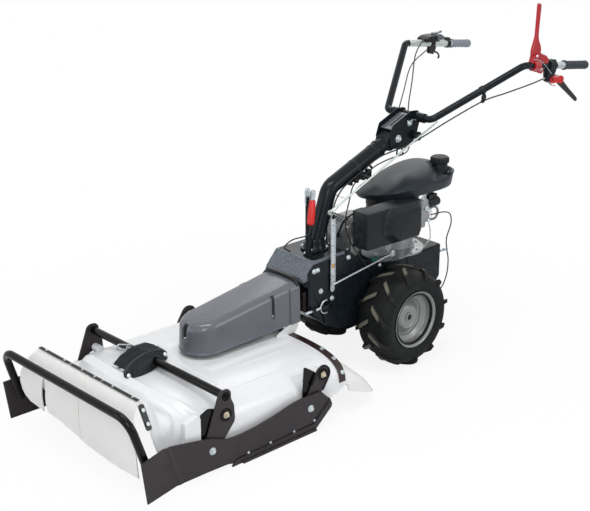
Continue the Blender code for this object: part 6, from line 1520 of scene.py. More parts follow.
def engine_case():
    """The barrel with its flange and collar, and the housing on the front left with its shoulder and the
    ribs below it."""
    barrel = turned([(0, 0.009), (0.096, 0.009), (0.096, 0.015), (0.089, 0.02), (0.088, 0.036),
        (0.088, 0.15), (0.096, 0.154), (0.096, 0.156), (0, 0.156)], (*ENGINE, BED_TOP), ABOVE, 72)
    ribs = [block((x, -0.02, 0.4155), (x + 0.0045, 0.08, 0.448)) for x in (-0.06, -0.03, 0.03, 0.06)]
    housing = slab([(-0.118, 0.462), (-0.118, 0.56), (-0.096, 0.594), (0.03, 0.594), (0.06, 0.56),
        (0.066, 0.45), (0.05, 0.424), (-0.06, 0.424)], 0.012, 'X', -0.06, 0.085, 6)
    shoulder = slab([(-0.112, 0.52), (-0.108, 0.566), (-0.06, 0.59), (0.0, 0.59), (0.01, 0.52)], 0.01, 'X',
        0.08, 0.104, 6)
    return join(barrel, housing, shoulder, *ribs)


def engine_fins():
    """Cooling fins round the cylinder and the head."""
    parts = []
    for k in range(9):
        z = 0.476 + k * 0.0145
        parts.append(slab([(-0.068, -0.128), (0.072, -0.128), (0.072, -0.03), (-0.068, -0.03)], 0.01, 'Z', z,
            z + 0.003))
    for k in range(10):
        x = -0.07 + k * 0.0155
        parts.append(slab([(-0.17, 0.46), (-0.127, 0.46), (-0.127, 0.61), (-0.17, 0.61)], 0.008, 'X', x,
            x + 0.004))
    return join(*parts)


def engine_core():
    """The cylinder head, the cylinder behind it and the cover in front."""
    head = slab([(-0.164, 0.466), (-0.123, 0.466), (-0.123, 0.604), (-0.164, 0.604)], 0.008, 'X', -0.066,
        0.072)
    cylinder = block((-0.054, -0.126, 0.474), (0.06, 0.06, 0.594))
    cover = slab([(-0.058, 0.478), (0.064, 0.478), (0.064, 0.592), (-0.058, 0.592)], 0.016, 'Y', -0.1716,
        -0.163, 6)
    return join(head, cylinder, cover)


def engine_bolts():
    """Bolts round the base, at the cover's corners and on the housing's left face."""
    parts = [hex_bolt((0.117 * math.cos(a), ENGINE[1] + 0.117 * math.sin(a), 0.4142), ABOVE, 0.006)
        for a in np.radians([-150, -105, -65, -25, 20, 70, 120, 165])]
    parts += [hex_bolt((x, -0.1716, z), (0, -1, 0), 0.005, False) for x in (-0.048, 0.054)
        for z in (0.488, 0.582)]
    parts += [hex_bolt((0.104, y, z), LEFT, 0.0046) for y, z in ((-0.092, 0.56), (-0.02, 0.576))]
    parts += [hex_bolt((0.085, y, z), LEFT, 0.0044) for y, z in ((-0.096, 0.474), (-0.035, 0.444))]
    return join(*parts)


piece("engine_base_plate", engine_base(), PLATE, "chassis", angle=20)
piece("engine_case", engine_case(), CAST, "chassis", ["engine_crankcase"], bevel=0.0035,
    segments=3)
piece("engine_core", engine_core(), CAST, "chassis", bevel=0.002)
piece("engine_fins", engine_fins(), CAST, "chassis")
piece("engine_bolts", engine_bolts(), ZINC, "chassis")


def engine_dark_parts():
    """Recoil starter's bowl with its slats over the crankcase, the ignition coil and its lead, the oil
    filler."""
    bowl = turned([(0, 0), (0.106, 0), (0.1098, 0.004), (0.1098, 0.094), (0.106, 0.098), (0, 0.098)],
        (*ENGINE, 0.5795), ABOVE, 72)
    slats = []
    for angle in np.radians(np.arange(150, 282, 11)):
        out = np.array([math.cos(angle), math.sin(angle), 0])
        foot = np.array([*ENGINE, 0.6]) + out * 0.1085
        slats.append(laid([(-0.004, 0), (0.004, 0), (0.004, 0.062), (-0.004, 0.062)], foot,
            (-out[1], out[0], 0), ABOVE, 0.0, 0.003))
    coil_block = block((0.03, -0.118, 0.598), (0.078, -0.07, 0.634))
    lead = tube(spline([(0.06, -0.118, 0.615), (0.072, -0.15, 0.64), (0.05, -0.186, 0.61),
        (0.024, -0.186, 0.56), (0.004, -0.176, 0.536)], 40), 0.0042, 12)
    boot = stick((0.004, -0.17, 0.536), (0.004, -0.19, 0.536), 0.0085, 20)
    filler = turned([(0, 0), (0.013, 0), (0.013, 0.02), (0.016, 0.024), (0.016, 0.034), (0, 0.034)],
        (-0.07, -0.02, 0.44), (-0.3, -0.5, 0.8), 24)
    return join(bowl, coil_block, lead, boot, filler, *slats)


piece("engine_dark_parts", engine_dark_parts(), BLACK_PLASTIC, "chassis", bevel=0.0015)
green_cap = slab([(0.09, -0.076), (0.108, -0.076), (0.108, -0.04), (0.09, -0.04)], 0.003, 'Z', 0.4225, 0.438,
    3)
piece("engine_green_cap", green_cap, GREEN, "chassis", bevel=0.0015)


# Black box on the engine's left

BOX_RING = [(-0.196, 0.52), (0.118, 0.512), (0.118, 0.668), (-0.192, 0.668), (-0.196, 0.648),
    (-0.198, 0.542)]
BOX_FACE = [(-0.052, 0.519), (0.094, 0.514), (0.1155, 0.532), (0.1155, 0.65), (0.098, 0.667),
    (-0.072, 0.667), (-0.102, 0.64), (-0.102, 0.56)]
BODY_ROWS = ((0.1108, 0), (0.1796, 0), (0.185, 0.01), (0.1872, 0.03), (0.1878, 0.06))
FACE_ROWS = ((0.17, 0), (0.1895, 0), (0.2075, 0.19), (0.2112, 0.225), (0.212, 0.26))


def stepped(outline, rows):
    """An outline at each row's x, drawn in towards its middle by the row's share, and closed at both
    ends."""
    inwards = outline.mean(0) - outline
    rings = np.stack([upright(outline + inwards * share, x) for x, share in rows])
    ends = [np.broadcast_to(rings[i].mean(0), (1,) + rings.shape[1:]) for i in (0, -1)]
    return grid(np.concatenate([ends[0], rings, ends[1]]), False, True)


def outer_box():
    """Matching rings: the body, drawn in over its front edge, and the eight-sided panel with a broad
    bevel."""
    body = bent(BOX_RING, [0.01, 0.01, 0.01, 0.006, 0.008, 0.01], 6, True)
    return join(stepped(body, BODY_ROWS), stepped(bent(BOX_FACE, 0.008, 6, True), FACE_ROWS))


piece("engine_side_box", outer_box(), BLACK_PLASTIC, "chassis", ["muffler_box"], angle=28)


def box_lines():
    """A dark line round the box's front part: down, and then level to the front."""
    line = bent([(-0.11, 0.632), (-0.11, 0.573), (-0.164, 0.573)], 0.004, 4)
    return tube(filled(upright(line, 0.1876), 0.006), 0.0012, 8)


piece("engine_box_lines", box_lines(), CABLE, "chassis")


# Fuel tank and cap

TANK_MIDDLE, TANK_SIZE = np.array([0.015, 0.205]), np.array([0.158, 0.208])
CAP = np.array([0.09, 0.335, 0.757])


def tank_heights(x, y):
    """Floor, moulded edge and top of the tank: smooth lines through heights along its slanting length."""
    along = (x - TANK_MIDDLE[0]) * 0.68 + (y - TANK_MIDDLE[1]) * 0.73
    return (eased(along, [(-0.2, 0.634), (-0.1, 0.655), (0.0, 0.668), (0.1, 0.67), (0.2, 0.668)]),
        eased(along, [(-0.2, 0.652), (-0.1, 0.684), (0.0, 0.704), (0.2, 0.7235)]),
        eased(along, [(-0.2, 0.667), (-0.12, 0.702), (-0.05, 0.73), (0.05, 0.757), (0.13, 0.76),
        (0.2, 0.744)]))


def tank_shape():
    """Superellipse rings |x|^3 + |y|^3 = size^3: floor, a moulded edge, then height edge + (top - edge) *
    (1 - size^2.6)^0.62 over the dome, with a hollow round the cap's neck that opens forwards."""
    angle = np.arange(180) / 180 * TURN
    unit_x = np.abs(np.cos(angle)) ** 0.66 * np.sign(np.cos(angle))
    unit_y = np.abs(np.sin(angle)) ** 0.66 * np.sign(np.sin(angle))
    dome = 1 - np.linspace(0, 1, 90) ** 1.35
    size = np.concatenate([[0.0, 0.7, 0.925, 0.94, 0.95, 0.985, 0.998, 1.0], dome])
    low = np.array([0, 0, 0, 0.0012, 0.004, 0.8, 0.97, 1.0])
    x = TANK_MIDDLE[0] + TANK_SIZE[0] * size[:, None] * unit_x
    y = TANK_MIDDLE[1] + TANK_SIZE[1] * size[:, None] * unit_y
    floor, edge, top = tank_heights(x, y)
    z = np.empty_like(x)
    z[:8] = floor[:8] + (edge[:8] - floor[:8]) * low[:, None]
    z[3] = floor[3] + 0.0008
    z[4] = floor[4] + 0.003
    rise = (1 - np.clip(dome, 0, 1) ** 2.6) ** 0.62
    z[8:] = edge[8:] + (top[8:] - edge[8:]) * rise[:, None] * 0.985
    away = np.hypot(x - CAP[0], y - CAP[1])
    z[8:] -= (0.02 * (1 - ramp(away, 0.034, 0.06)))[8:]
    valley = (x - CAP[0]) * 0.8 + (y - CAP[1]) * -0.6
    run = (x - CAP[0]) * 0.6 + (y - CAP[1]) * 0.8
    cut = (1 - ramp(np.abs(run) - 0.3 * np.maximum(valley, 0), 0.004, 0.026)) * ramp(valley, 0.0, 0.05)
    z[8:] -= (0.016 * cut * (1 - ramp(valley, 0.1, 0.16)))[8:]
    z[8:] = np.maximum(z, floor + 0.0045)[8:]
    return grid(np.stack([x, y, z], -1), False, True)


def tank_neck():
    """The round neck under the cap."""
    return turned([(0, 0), (0.0345, 0), (0.0345, 0.01), (0.033, 0.014), (0.033, 0.0385), (0, 0.0385)],
        CAP - (0, 0, 0.042), ABOVE, 48)


def tank_cap():
    """A cap with 28 ribs: its radius swings as a rounded saw between 0.0371 and 0.0397."""
    steps = 28 * 8
    angle = np.arange(steps) / steps * TURN
    wave = 0.5 + 0.5 * np.tanh(2.2 * np.sin(angle * 28))
    rows = [(0.0, 0.0003, 0), (0.034, 0.0003, 0), (0.0378, 0.0012, 0.6), (0.0384, 0.004, 1),
        (0.0384, 0.0185, 1), (0.0372, 0.0218, 0.8), (0.0346, 0.0245, 0.2), (0.032, 0.0262, 0),
        (0.0275, 0.0262, 0), (0.0235, 0.025, 0), (0.01, 0.0262, 0), (0.0, 0.0266, 0)]
    points = []
    for radius, height, ribbed in rows:
        reach = radius + (wave - 0.5) * 0.0026 * ribbed
        points.append(np.stack([CAP[0] + reach * np.cos(angle), CAP[1] + reach * np.sin(angle),
            np.full(steps, CAP[2] + height)], 1))
    return grid(np.stack(points), False, True)


piece("tank_dome", tank_shape(), TANK, "chassis", ["fuel_tank"], angle=32)
piece("tank_neck", tank_neck(), BLACK_PLASTIC, "chassis")
piece("ribbed_fuel_cap", tank_cap(), BLACK_PLASTIC, "fuel_cap", ["fuel_cap"], angle=30)


def starter_grip():
    """Recoil housing's ribs that show past the tank's far edge, with the pull handle and its cord guide."""
    parts = []
    for x, y, z in ((-0.085, 0.03, 0.722), (-0.07, 0.052, 0.732), (-0.055, 0.074, 0.741),
            (-0.098, 0.008, 0.712)):
        parts.append(block((x - 0.03, y - 0.006, z - 0.03), (x, y + 0.006, z + 0.006)))
    grip = tube(spline([(-0.118, 0.052, 0.722), (-0.104, 0.066, 0.752), (-0.08, 0.082, 0.762),
        (-0.066, 0.092, 0.748)], 30), 0.0052, 14)
    return join(grip, *parts)


piece("starter_housing_ribs", starter_grip(), BLACK_PLASTIC, "chassis", bevel=0.0015)


# Carburettor with its plates, levers and springs

def carburettor_body():
    """Five-sided body, flange, round bowl with its drain bolt, and the bright plate outside."""
    body = slab([(0.124, 0.548), (0.2, 0.548), (0.204, 0.6), (0.196, 0.636), (0.128, 0.638)], 0.006, 'X',
        0.112, 0.16)
    flange = block((0.1118, 0.118, 0.54), (0.156, 0.1255, 0.652))
    bowl = turned([(0, 0), (0.017, 0), (0.021, 0.004), (0.021, 0.022), (0, 0.022)], (0.142, 0.166, 0.5275),
        ABOVE, 32)
    drain = hex_bolt((0.142, 0.166, 0.5275), (0, 0, -1), 0.005, False)
    plate = slab([(0.128, 0.556), (0.15, 0.552), (0.158, 0.6), (0.188, 0.64), (0.176, 0.654), (0.14, 0.64),
        (0.128, 0.6)], 0.004, 'X', 0.16, 0.1618, 3)
    return join(body, flange, bowl, drain, plate)


def carburettor_links():
    """Throttle arm, governor rod, its spring, the wing screw under the tank and the stays down to the
    base."""
    parts = [prism(link((0.176, 0.612), 0.0095, (0.198, 0.59), 0.006, 12), 'X', 0.1625, 0.1645),
        prism(link((0.146, 0.64), 0.0075, (0.168, 0.662), 0.005, 12), 'X', 0.154, 0.156),
        tube(spline([(0.164, 0.134, 0.596), (0.167, 0.16, 0.604), (0.165, 0.196, 0.59)], 24), 0.0012, 8),
        coil((0.166, 0.132, 0.63), (0.166, 0.19, 0.618), 0.003, 0.0006, 12),
        coil((0.158, 0.214, 0.56), (0.158, 0.214, 0.6), 0.0032, 0.0006, 10),
        tube(filled(bent([(0.138, 0.216, 0.555), (0.14, 0.232, 0.5), (0.128, 0.25, 0.455),
        (0.112, 0.232, 0.416)], 0.01, 5), 0.01), 0.0022, 10),
        block((0.118, 0.201, 0.548), (0.16, 0.204, 0.56))]
    for y, z in ((0.134, 0.56), (0.134, 0.64), (0.192, 0.556)):
        parts.append(hex_bolt((0.1618, y, z), LEFT, 0.0042))
    for tilt in (-1, 1):
        parts.append(laid(link((0, 0.002), 0.003, (0.01 * tilt, 0.01), 0.0052, 10), (0.156, 0.176, 0.664),
            (0.2, 1, 0), ABOVE, -0.001, 0.001))
    parts.append(stick((0.156, 0.176, 0.65), (0.156, 0.176, 0.667), 0.0034, 14))
    return join(*parts)


def canister():
    """Black canister with rounded rims lying fore and aft behind the carburettor."""
    return join(turned([(0, 0), (0.0165, 0), (0.0192, 0.002), (0.02, 0.006), (0.02, 0.06), (0.0188, 0.065),
        (0.016, 0.0668), (0, 0.0668)], (0.148, 0.1955, 0.622), BACK, 40),
        block((0.128, 0.2, 0.638), (0.156, 0.25, 0.656)))


piece("carburettor_body", carburettor_body(), CAST, "chassis", ["carburettor"],
    bevel=0.0015)
piece("carburettor_links", carburettor_links(), ZINC, "chassis")
piece("black_canister", canister(), BLACK_PLASTIC, "chassis", bevel=0.0012)
piece("fuel_hose", tube(spline([(0.15, 0.19, 0.592), (0.15, 0.228, 0.6), (0.15, 0.255, 0.592),
    (0.15, 0.264, 0.57), (0.15, 0.25, 0.549), (0.15, 0.222, 0.548), (0.15, 0.196, 0.56)], 60), 0.005, 16),
    GREY_HOSE, "chassis")
piece("fuel_hose_ends", join(stick((0.15, 0.186, 0.592), (0.15, 0.205, 0.5955), 0.0066, 16),
    stick((0.15, 0.186, 0.566), (0.15, 0.206, 0.553), 0.0092, 16)), BLACK_PLASTIC,
    "chassis")


# Linkage on the left side

BAR_X0, BAR_X1, BAR_Y = 0.118, 0.123, -0.316
ROD_X = 0.1285


def flat_bar():
    """A channel: the flat with rounded ends and low edges on both sides, the front one broken below the
    pivot."""
    flat = prism(link((BAR_Y, 0.675), 0.012, (BAR_Y, 0.376), 0.0108, 16), 'X', BAR_X0, BAR_X0 + 0.0022)
    flanges = []
    for y, low, high in ((-0.3275, 0.48, 0.664), (-0.3272, 0.402, 0.448), (-0.3055, 0.4, 0.64)):
        flanges.append(block((BAR_X0 + 0.0015, y - 0.0004, low), (BAR_X1 + 0.0008, y + 0.0012, high)))
    return join(flat, *flanges)


def bar_hole_shade():
    """Dark round holes along the bar, as thin discs on its face: painted shade in place of open holes."""
    return join(*[turned([(0, 0), (0.003, 0), (0.003, 0.0003), (0, 0.0003)], (BAR_X0 + 0.0022, BAR_Y, z),
        LEFT, 18) for z in (0.64, 0.556, 0.43)])


piece("zinc_flat_bar", flat_bar(), ZINC, "linkage_bar", ["linkage_bar"], bevel=0.0006)
# Painted shade: dark discs where the bar's holes are.
piece("zinc_bar_hole_shade", bar_hole_shade(), CABLE, "linkage_bar")
piece("zinc_bar_top_bolt", join(hex_bolt((BAR_X0 + 0.0022, BAR_Y, 0.675), LEFT, 0.007),
    stick((0.108, BAR_Y, 0.675), (0.12, BAR_Y, 0.675), 0.0034, 14)), GLOSS_BLACK, "linkage_bar")
piece("zinc_bar_brass_bolt", join(hex_bolt((BAR_X0 + 0.0022, BAR_Y, 0.474), LEFT, 0.0062),
    stick((0.1115, BAR_Y, 0.474), (0.12, BAR_Y, 0.474), 0.006, 16)), BRASS, "linkage_bar")


def diagonal_rod():
    """Round rod with a hooked front end and its washer, and at the rear the clevis with its upright bolt."""
    rod = tube(spline([(0.1205, BAR_Y, 0.4), (0.1275, -0.3155, 0.4), (0.129, -0.308, 0.4015),
        (ROD_X, -0.25, 0.4088), (ROD_X, -0.1, 0.4285), (ROD_X, 0.008, 0.4435)], 70), 0.0036, 16)
    washer = turned([(0, 0), (0.0075, 0), (0.0075, 0.0012), (0, 0.0012)], (0.1226, BAR_Y, 0.4), LEFT, 24)
    fork = [block((0.1205, -0.002, 0.437), (0.1365, 0.027, 0.44)),
        block((0.1205, -0.002, 0.45), (0.1365, 0.027, 0.453)),
        block((0.1205, -0.004, 0.437), (0.1365, -0.001, 0.453))]
    pin = [stick((ROD_X, 0.016, 0.43), (ROD_X, 0.016, 0.458), 0.004, 18),
        hex_bolt((ROD_X, 0.016, 0.453), ABOVE, 0.0078)]
    return join(rod, washer, *fork, *pin)


def control_arm():
    """Short arm on the engine bed that the rod pulls, with its eye bolt."""
    arm = block((0.096, 0.008, 0.4425), (0.133, 0.024, 0.447))
    ring = tube(upright((0.004, 0.468) + circle(30, 0.0085), 0.115), 0.002, 10, True)
    stem = stick((0.115, 0.004, 0.444), (0.115, 0.004, 0.46), 0.0026, 14)
    return join(arm, ring, stem)


piece("diagonal_rod", diagonal_rod(), ZINC, "linkage_rod", ["linkage_rod"], bevel=0.0004)
piece("control_arm", control_arm(), ZINC, "linkage_rod", bevel=0.0006)


def long_rod():
    """The long rod under the column: its eye on the flat bar, the sleeve behind the eye, and the rod."""
    start, end = np.array([0.098, -0.314, 0.686]), np.array([0.098, 0.3, 0.938])
    line = unit(end - start)
    eye = turned([(0.0042, -0.0028), (0.0092, -0.0028), (0.0092, 0.0028), (0.0042, 0.0028)], start, LEFT, 28,
        True)
    rod = stick(start + line * 0.008, end, 0.004, 20)
    sleeve = stick(start + line * 0.008, start + line * 0.045, 0.0062, 20)
    return join(eye, rod, sleeve)


piece("long_control_rod", long_rod(), CLEVIS, "shift_rod", ["shift_rod"])


# Column

BEND, COLLAR = np.array([0, -0.222, 0.745]), np.array([0, 0.052, 0.852])
UP = unit(COLLAR - BEND)
TILT = (0.13, 0.886)


def column_tube():
    """The leaning tube, its bend and the upper tube up to the collar."""
    route = filled(bent([(0, -0.3, 0.524), BEND, COLLAR], 0.06, 24), 0.012)
    return tube(route, 0.033, 48)


def column_foot():
    """Flange disc and the stepped cone that rises from it."""
    return turned([(0, 0), (0.0545, 0), (0.056, 0.0016), (0.056, 0.0066), (0.0545, 0.008), (0.047, 0.008),
        (0.046, 0.0092), (0.043, 0.018), (0.0385, 0.033), (0.0372, 0.044), (0.035, 0.047), (0, 0.047)],
        (0, -0.3, 0.5123), ABOVE, 64)


def column_adaptor():
    """Inner tube with its two collar rings and the squarish channel that carries the tilt bolt."""
    inner = stick(COLLAR - UP * 0.01, COLLAR + UP * 0.056, 0.0305, 48, 0.001)
    rings = [turned([(0.029, -w), (r, -w), (r + 0.0012, -w + 0.0014), (r + 0.0012, w - 0.0014), (r, w),
        (0.029, w)], COLLAR + UP * place, UP, 48, True)
        for place, r, w in ((0.0, 0.0345, 0.005), (0.041, 0.0325, 0.0035))]
    start = COLLAR + UP * 0.05
    channel = prism(link(start[1:], 0.0295, (TILT[0] + 0.058, TILT[1] + 0.027), 0.0255, 20), 'X', -0.033,
        0.033)
    filling = prism(link(start[1:], 0.032, TILT, 0.0362, 20), 'X', -0.0322, 0.0322)
    return join(inner, *rings), join(channel, filling)


inner_tube, channel = column_adaptor()
piece("column_tube", column_tube(), BLUE_BLACK, "column", ["handlebar_column"], angle=60)
piece("column_foot", column_foot(), BLUE_BLACK, "column")
piece("column_inner_tube", inner_tube, BLUE_BLACK, "column")
piece("column_channel", channel, BLUE_BLACK, "column", bevel=0.006, segments=4)


SWIVEL_Y, SWIVEL_Z = -0.372, 0.772


def swivel_post():
    """Post ahead of the column: its foot plate and its bent tube."""
    foot = slab([(0.006, -0.342), (0.024, -0.386), (0.056, -0.386), (0.056, -0.362), (0.044, -0.318)], 0.008,
        'Z', 0.5122, 0.518)
    post = tube(filled(bent([(0.04, SWIVEL_Y, 0.514), (0.04, SWIVEL_Y, 0.6), (0.0355, -0.368, 0.748)], 0.05,
        6), 0.01), 0.012, 28)
    return join(foot, post)


def swivel_ear():
    """A flat ear with two round ends, and the pin with its bolt head."""
    ear = prism(link((SWIVEL_Y, SWIVEL_Z), 0.012, (-0.371, 0.722), 0.012, 14), 'X', 0.03, 0.0364)
    return join(ear, stick((0.034, SWIVEL_Y, SWIVEL_Z), (0.0715, SWIVEL_Y, SWIVEL_Z), 0.0038, 18),
        hex_bolt((0.07, SWIVEL_Y, SWIVEL_Z), LEFT, 0.0052, False))


def column_bolts():
    """Four bolts round the flange, one on the post's foot, and a small wire clip on the tube."""
    parts = [hex_bolt((0.0475 * math.cos(a), -0.3 + 0.0475 * math.sin(a), 0.5203), ABOVE, 0.006)
        for a in np.radians([-60, -140, 130, 40])]
    parts.append(hex_bolt((0.03, -0.378, 0.518), ABOVE, 0.0058))
    parts.append(tube(filled(bent([column_at(0.012, 0.02, 0.028), column_at(0.012, 0.047, 0.034),
        column_at(0.032, 0.056, 0.046), column_at(0.04, 0.044, 0.052)], 0.008, 5), 0.004), 0.0018, 10))
    return join(*parts)


def column_at(along, out, down):
    """A place beside the upper tube: along it from the bend, out to the left and down."""
    return BEND + UP * along + (out, 0, -down)


piece("swivel_post", swivel_post(), BLUE_BLACK, "column", bevel=0.0008)
piece("swivel_ear", swivel_ear(), ZINC, "column", bevel=0.0008)
piece("column_bolts", column_bolts(), ZINC, "column")


def column_saddle():
    """Strap under the column with the arm that guides the long rod, and a second strap for the cables."""
    place = BEND + UP * 0.15
    arm = block((0.006, place[1] - 0.01, place[2] - 0.031), (0.0935, place[1] + 0.01, place[2] - 0.0205))
    straps = [turned([(0.0326, -0.0045), (0.0342, -0.0045), (0.0342, 0.0045), (0.0326, 0.0045)],
        BEND + UP * a, UP, 48, True) for a in (0.15, 0.262)]
    return join(arm, *straps)


piece("column_straps", column_saddle(), BLACK_PLASTIC, "column", bevel=0.001)


# Swivel lever with the red grip

def red_grip():
    """A tapered grip: flat on top, bulging a little, with a rounded end, carried on a slightly flattened
    circle."""
    start, end = np.array([0.0645, -0.374, 0.742]), np.array([0.076, -0.396, 0.647])
    run = np.concatenate([np.linspace(0, 0.004, 4), np.linspace(0.01, 0.084, 16),
        np.linspace(0.086, 0.0986, 12)])
    route = start + (end - start) * (run / 0.0986)[:, None]
    size = np.interp(run, [0, 0.004, 0.05, 0.084], [0.0108, 0.0122, 0.0146, 0.0144])
    size *= np.sqrt(np.clip(1 - (np.maximum(run - 0.084, 0) / 0.0147) ** 2, 0.003, 1))
    return carried(route, circle(32) * (0.94, 1.06), size)


def swivel_link():
    """Link over the grip: two cheeks on the pin, and the piece that joins them above the grip."""
    plates = [prism(link((SWIVEL_Y, SWIVEL_Z), 0.0108, (-0.3745, 0.745), 0.0088, 14), 'X', x, x + 0.002)
        for x in (0.0585, 0.0672)]
    return join(*plates, block((0.0585, -0.38, 0.74), (0.0692, -0.369, 0.744)))


piece("swivel_red_grip", red_grip(), RED_PLASTIC, "swivel_lever", ["swivel_lever"])
piece("swivel_link", swivel_link(), ZINC, "swivel_lever", bevel=0.0006)


# Handlebar head

CHEEK = [(0.09, 0.848), (0.196, 0.836), (0.24, 0.874), (0.26, 0.94), (0.2545, 0.984), (0.206, 0.988),
    (0.098, 0.944), (0.08, 0.896)]


def head_cheeks():
    """Two cheek plates with rounded corners, the cross tube through them and the rings at its ends."""
    plate = slab(CHEEK, [0.016, 0.014, 0.022, 0.03, 0.018, 0.012, 0.016, 0.024], 'X', 0.0342, 0.0392, 6)
    tube_ends = turned([(0.014, -0.05), (0.0196, -0.05), (0.0196, 0.0), (0.014, 0.0)], (0.088, 0.236, 0.96),
        LEFT, 32, True)
    return join(plate, mirrored(plate), stick((-0.088, 0.236, 0.96), (0.088, 0.236, 0.96), 0.0165, 36,
        0.001), tube_ends, mirrored(tube_ends))


def slotted_plate():
    """The plate between the cheeks, split round its long slot, with a step at its front, and a dark sheet
    under the slot as painted shade.
    """
    start, end = np.array([0, 0.1045, 0.924]), np.array([0, 0.216, 0.9685])
    line, reach = unit(end - start), np.linalg.norm(end - start)
    parts = []
    for low, high, near, far in ((0.0, reach, 0.0045, 0.033), (0.0, reach, -0.033, -0.0045),
            (0.0, 0.02, -0.0045, 0.0045), (reach - 0.012, reach, -0.0045, 0.0045)):
        parts.append(laid([(low, near), (high, near), (high, far), (low, far)], start, line, LEFT, -0.0028,
            0.0012))
    floor = laid([(0.016, -0.006), (reach - 0.008, -0.006), (reach - 0.008, 0.006), (0.016, 0.006)], start,
        line, LEFT, 0.003, 0.0042)
    return join(*parts), floor


slotted, slot_shade_sheet = slotted_plate()
piece("head_cheeks", head_cheeks(), BLUE_BLACK, "handlebar", ["handlebar_head"],
    bevel=0.0014, segments=3)
piece("head_slotted_plate", slotted, COVER, "handlebar", bevel=0.0006)
# Painted shade: a dark sheet seen through the slot.
piece("head_slot_shade_sheet", slot_shade_sheet, CABLE, "handlebar")


def head_bolts():
    """Tilt bolt, the clip bolt near the cross tube with its wings, and the handle's pin."""
    parts = [hex_bolt((side * 0.0392, *TILT), (side, 0, 0), 0.0115) for side in BOTH]
    parts += [hex_bolt((0.0392, 0.196, 0.938), LEFT, 0.0085),
        prism(link((0.196, 0.938), 0.0095, (0.212, 0.95), 0.0035, 14), 'X', 0.0395, 0.0412),
        prism(link((0.196, 0.938), 0.008, (0.184, 0.95), 0.003, 14), 'X', 0.0397, 0.041),
        stick((0.04, 0.222, 0.952), (0.056, 0.222, 0.952), 0.0042, 16),
        stick((-0.0385, 0.182, 0.852), (0.0385, 0.182, 0.852), 0.004, 16)]
    return join(*parts)


piece("head_bolts", head_bolts(), ZINC, "handlebar", bevel=0.0004)


def lobed_knob():
    """A knob with three lobes: its radius is 0.0162 + 0.0040 * cos(3 * angle) over the grip, on a short
    round stem."""
    angle = np.arange(72) / 72 * TURN
    rows = [(0, 0.0006, 0), (0.0115, 0.0006, 0), (0.012, 0.006, 0), (0.013, 0.0085, 0.3),
        (0.0155, 0.011, 0.9), (0.0162, 0.014, 1), (0.0162, 0.022, 1), (0.0152, 0.0262, 0.9),
        (0.0125, 0.0295, 0.6), (0.008, 0.0306, 0.2), (0, 0.0308, 0)]
    points = []
    for radius, height, lobe in rows:
        reach = radius + 0.004 * lobe * np.cos(3 * (angle - 0.9))
        points.append(np.stack([np.full(72, 0.039 + height), 0.228 + reach * np.cos(angle),
            0.882 + reach * np.sin(angle)], 1))
    return join(grid(np.stack(points), False, True), stick((0.022, 0.228, 0.882), (0.042, 0.228, 0.882),
        0.0038, 16))


def wire_loop():
    """Loop of round wire that hangs on its pin, with the eye round the pin."""
    place = np.array([0, 0.182, 0.852])
    corners = [place + (0, -0.009, -0.004), place + (0, -0.0145, -0.052), place + (0, 0.026, -0.0565),
        place + (0, 0.009, -0.004)]
    eye = turned([(0.0045, -0.009), (0.009, -0.009), (0.009, 0.009), (0.0045, 0.009)], place, LEFT, 28, True)
    return join(tube(filled(bent(corners, 0.007, 8), 0.003), 0.0035, 14), eye)


piece("three_lobed_knob", lobed_knob(), BLACK_PLASTIC, "clamp_knob", ["clamp_knob"],
    angle=40)
piece("clamp_wire_loop", wire_loop(), GLOSS_BLACK, "clamp_handle", ["clamp_handle"])


# Handlebars and grips

BAR_RADIUS, BAR_X = 0.0145, 0.322


def bar_line(side):
    """The handlebar's middle line: out along the cross tube, up and out, then back, bent by two arcs."""
    route = filled(bent([(0.086, 0.236, 0.96), (0.1203, 0.236, 0.96), (BAR_X, 0.56, 1.166),
        (BAR_X, 0.989, 1.108)], [0.034, 0.045], 14), 0.012)
    return route * (side, 1, 1)


def bar_at(y, side=1):
    """The bar's middle on its straight rear run, or on the slanting run ahead of it."""
    if y > 0.56:
        return np.array([side * BAR_X, y, 1.108 + 0.058 * (1 - (y - 0.56) / 0.429)])
    share = (y - 0.236) / 0.324
    return np.array([side * (0.1203 + 0.2017 * share), y, 0.96 + 0.206 * share])


BAR_BACK = unit(bar_at(0.9) - bar_at(0.7))


def sleeve(side, start, end, outer, inner=0.0146, edge=0.0008):
    """A ring or sleeve round the bar's rear run between two places along it, its rims chamfered."""
    first = bar_at(start, side)
    length = (end - start) / BAR_BACK[1]
    return turned([(inner, 0), (outer - edge, 0), (outer, edge), (outer, length - edge),
        (outer - edge, length), (inner, length)], first, BAR_BACK, 40, True)


for word, side in SIDES:
    piece(word + "_bar_tube", tube(bar_line(side), BAR_RADIUS, 32), BLUE_BLACK,
        "handlebar", [word + "_handlebar"], angle=60)
piece("left_bar_bright_end", sleeve(1, 0.775, 0.838, 0.0153), ZINC, "handlebar")
piece("right_bar_bright_end", sleeve(-1, 0.58, 0.868, 0.0153), CLEVIS, "handlebar")


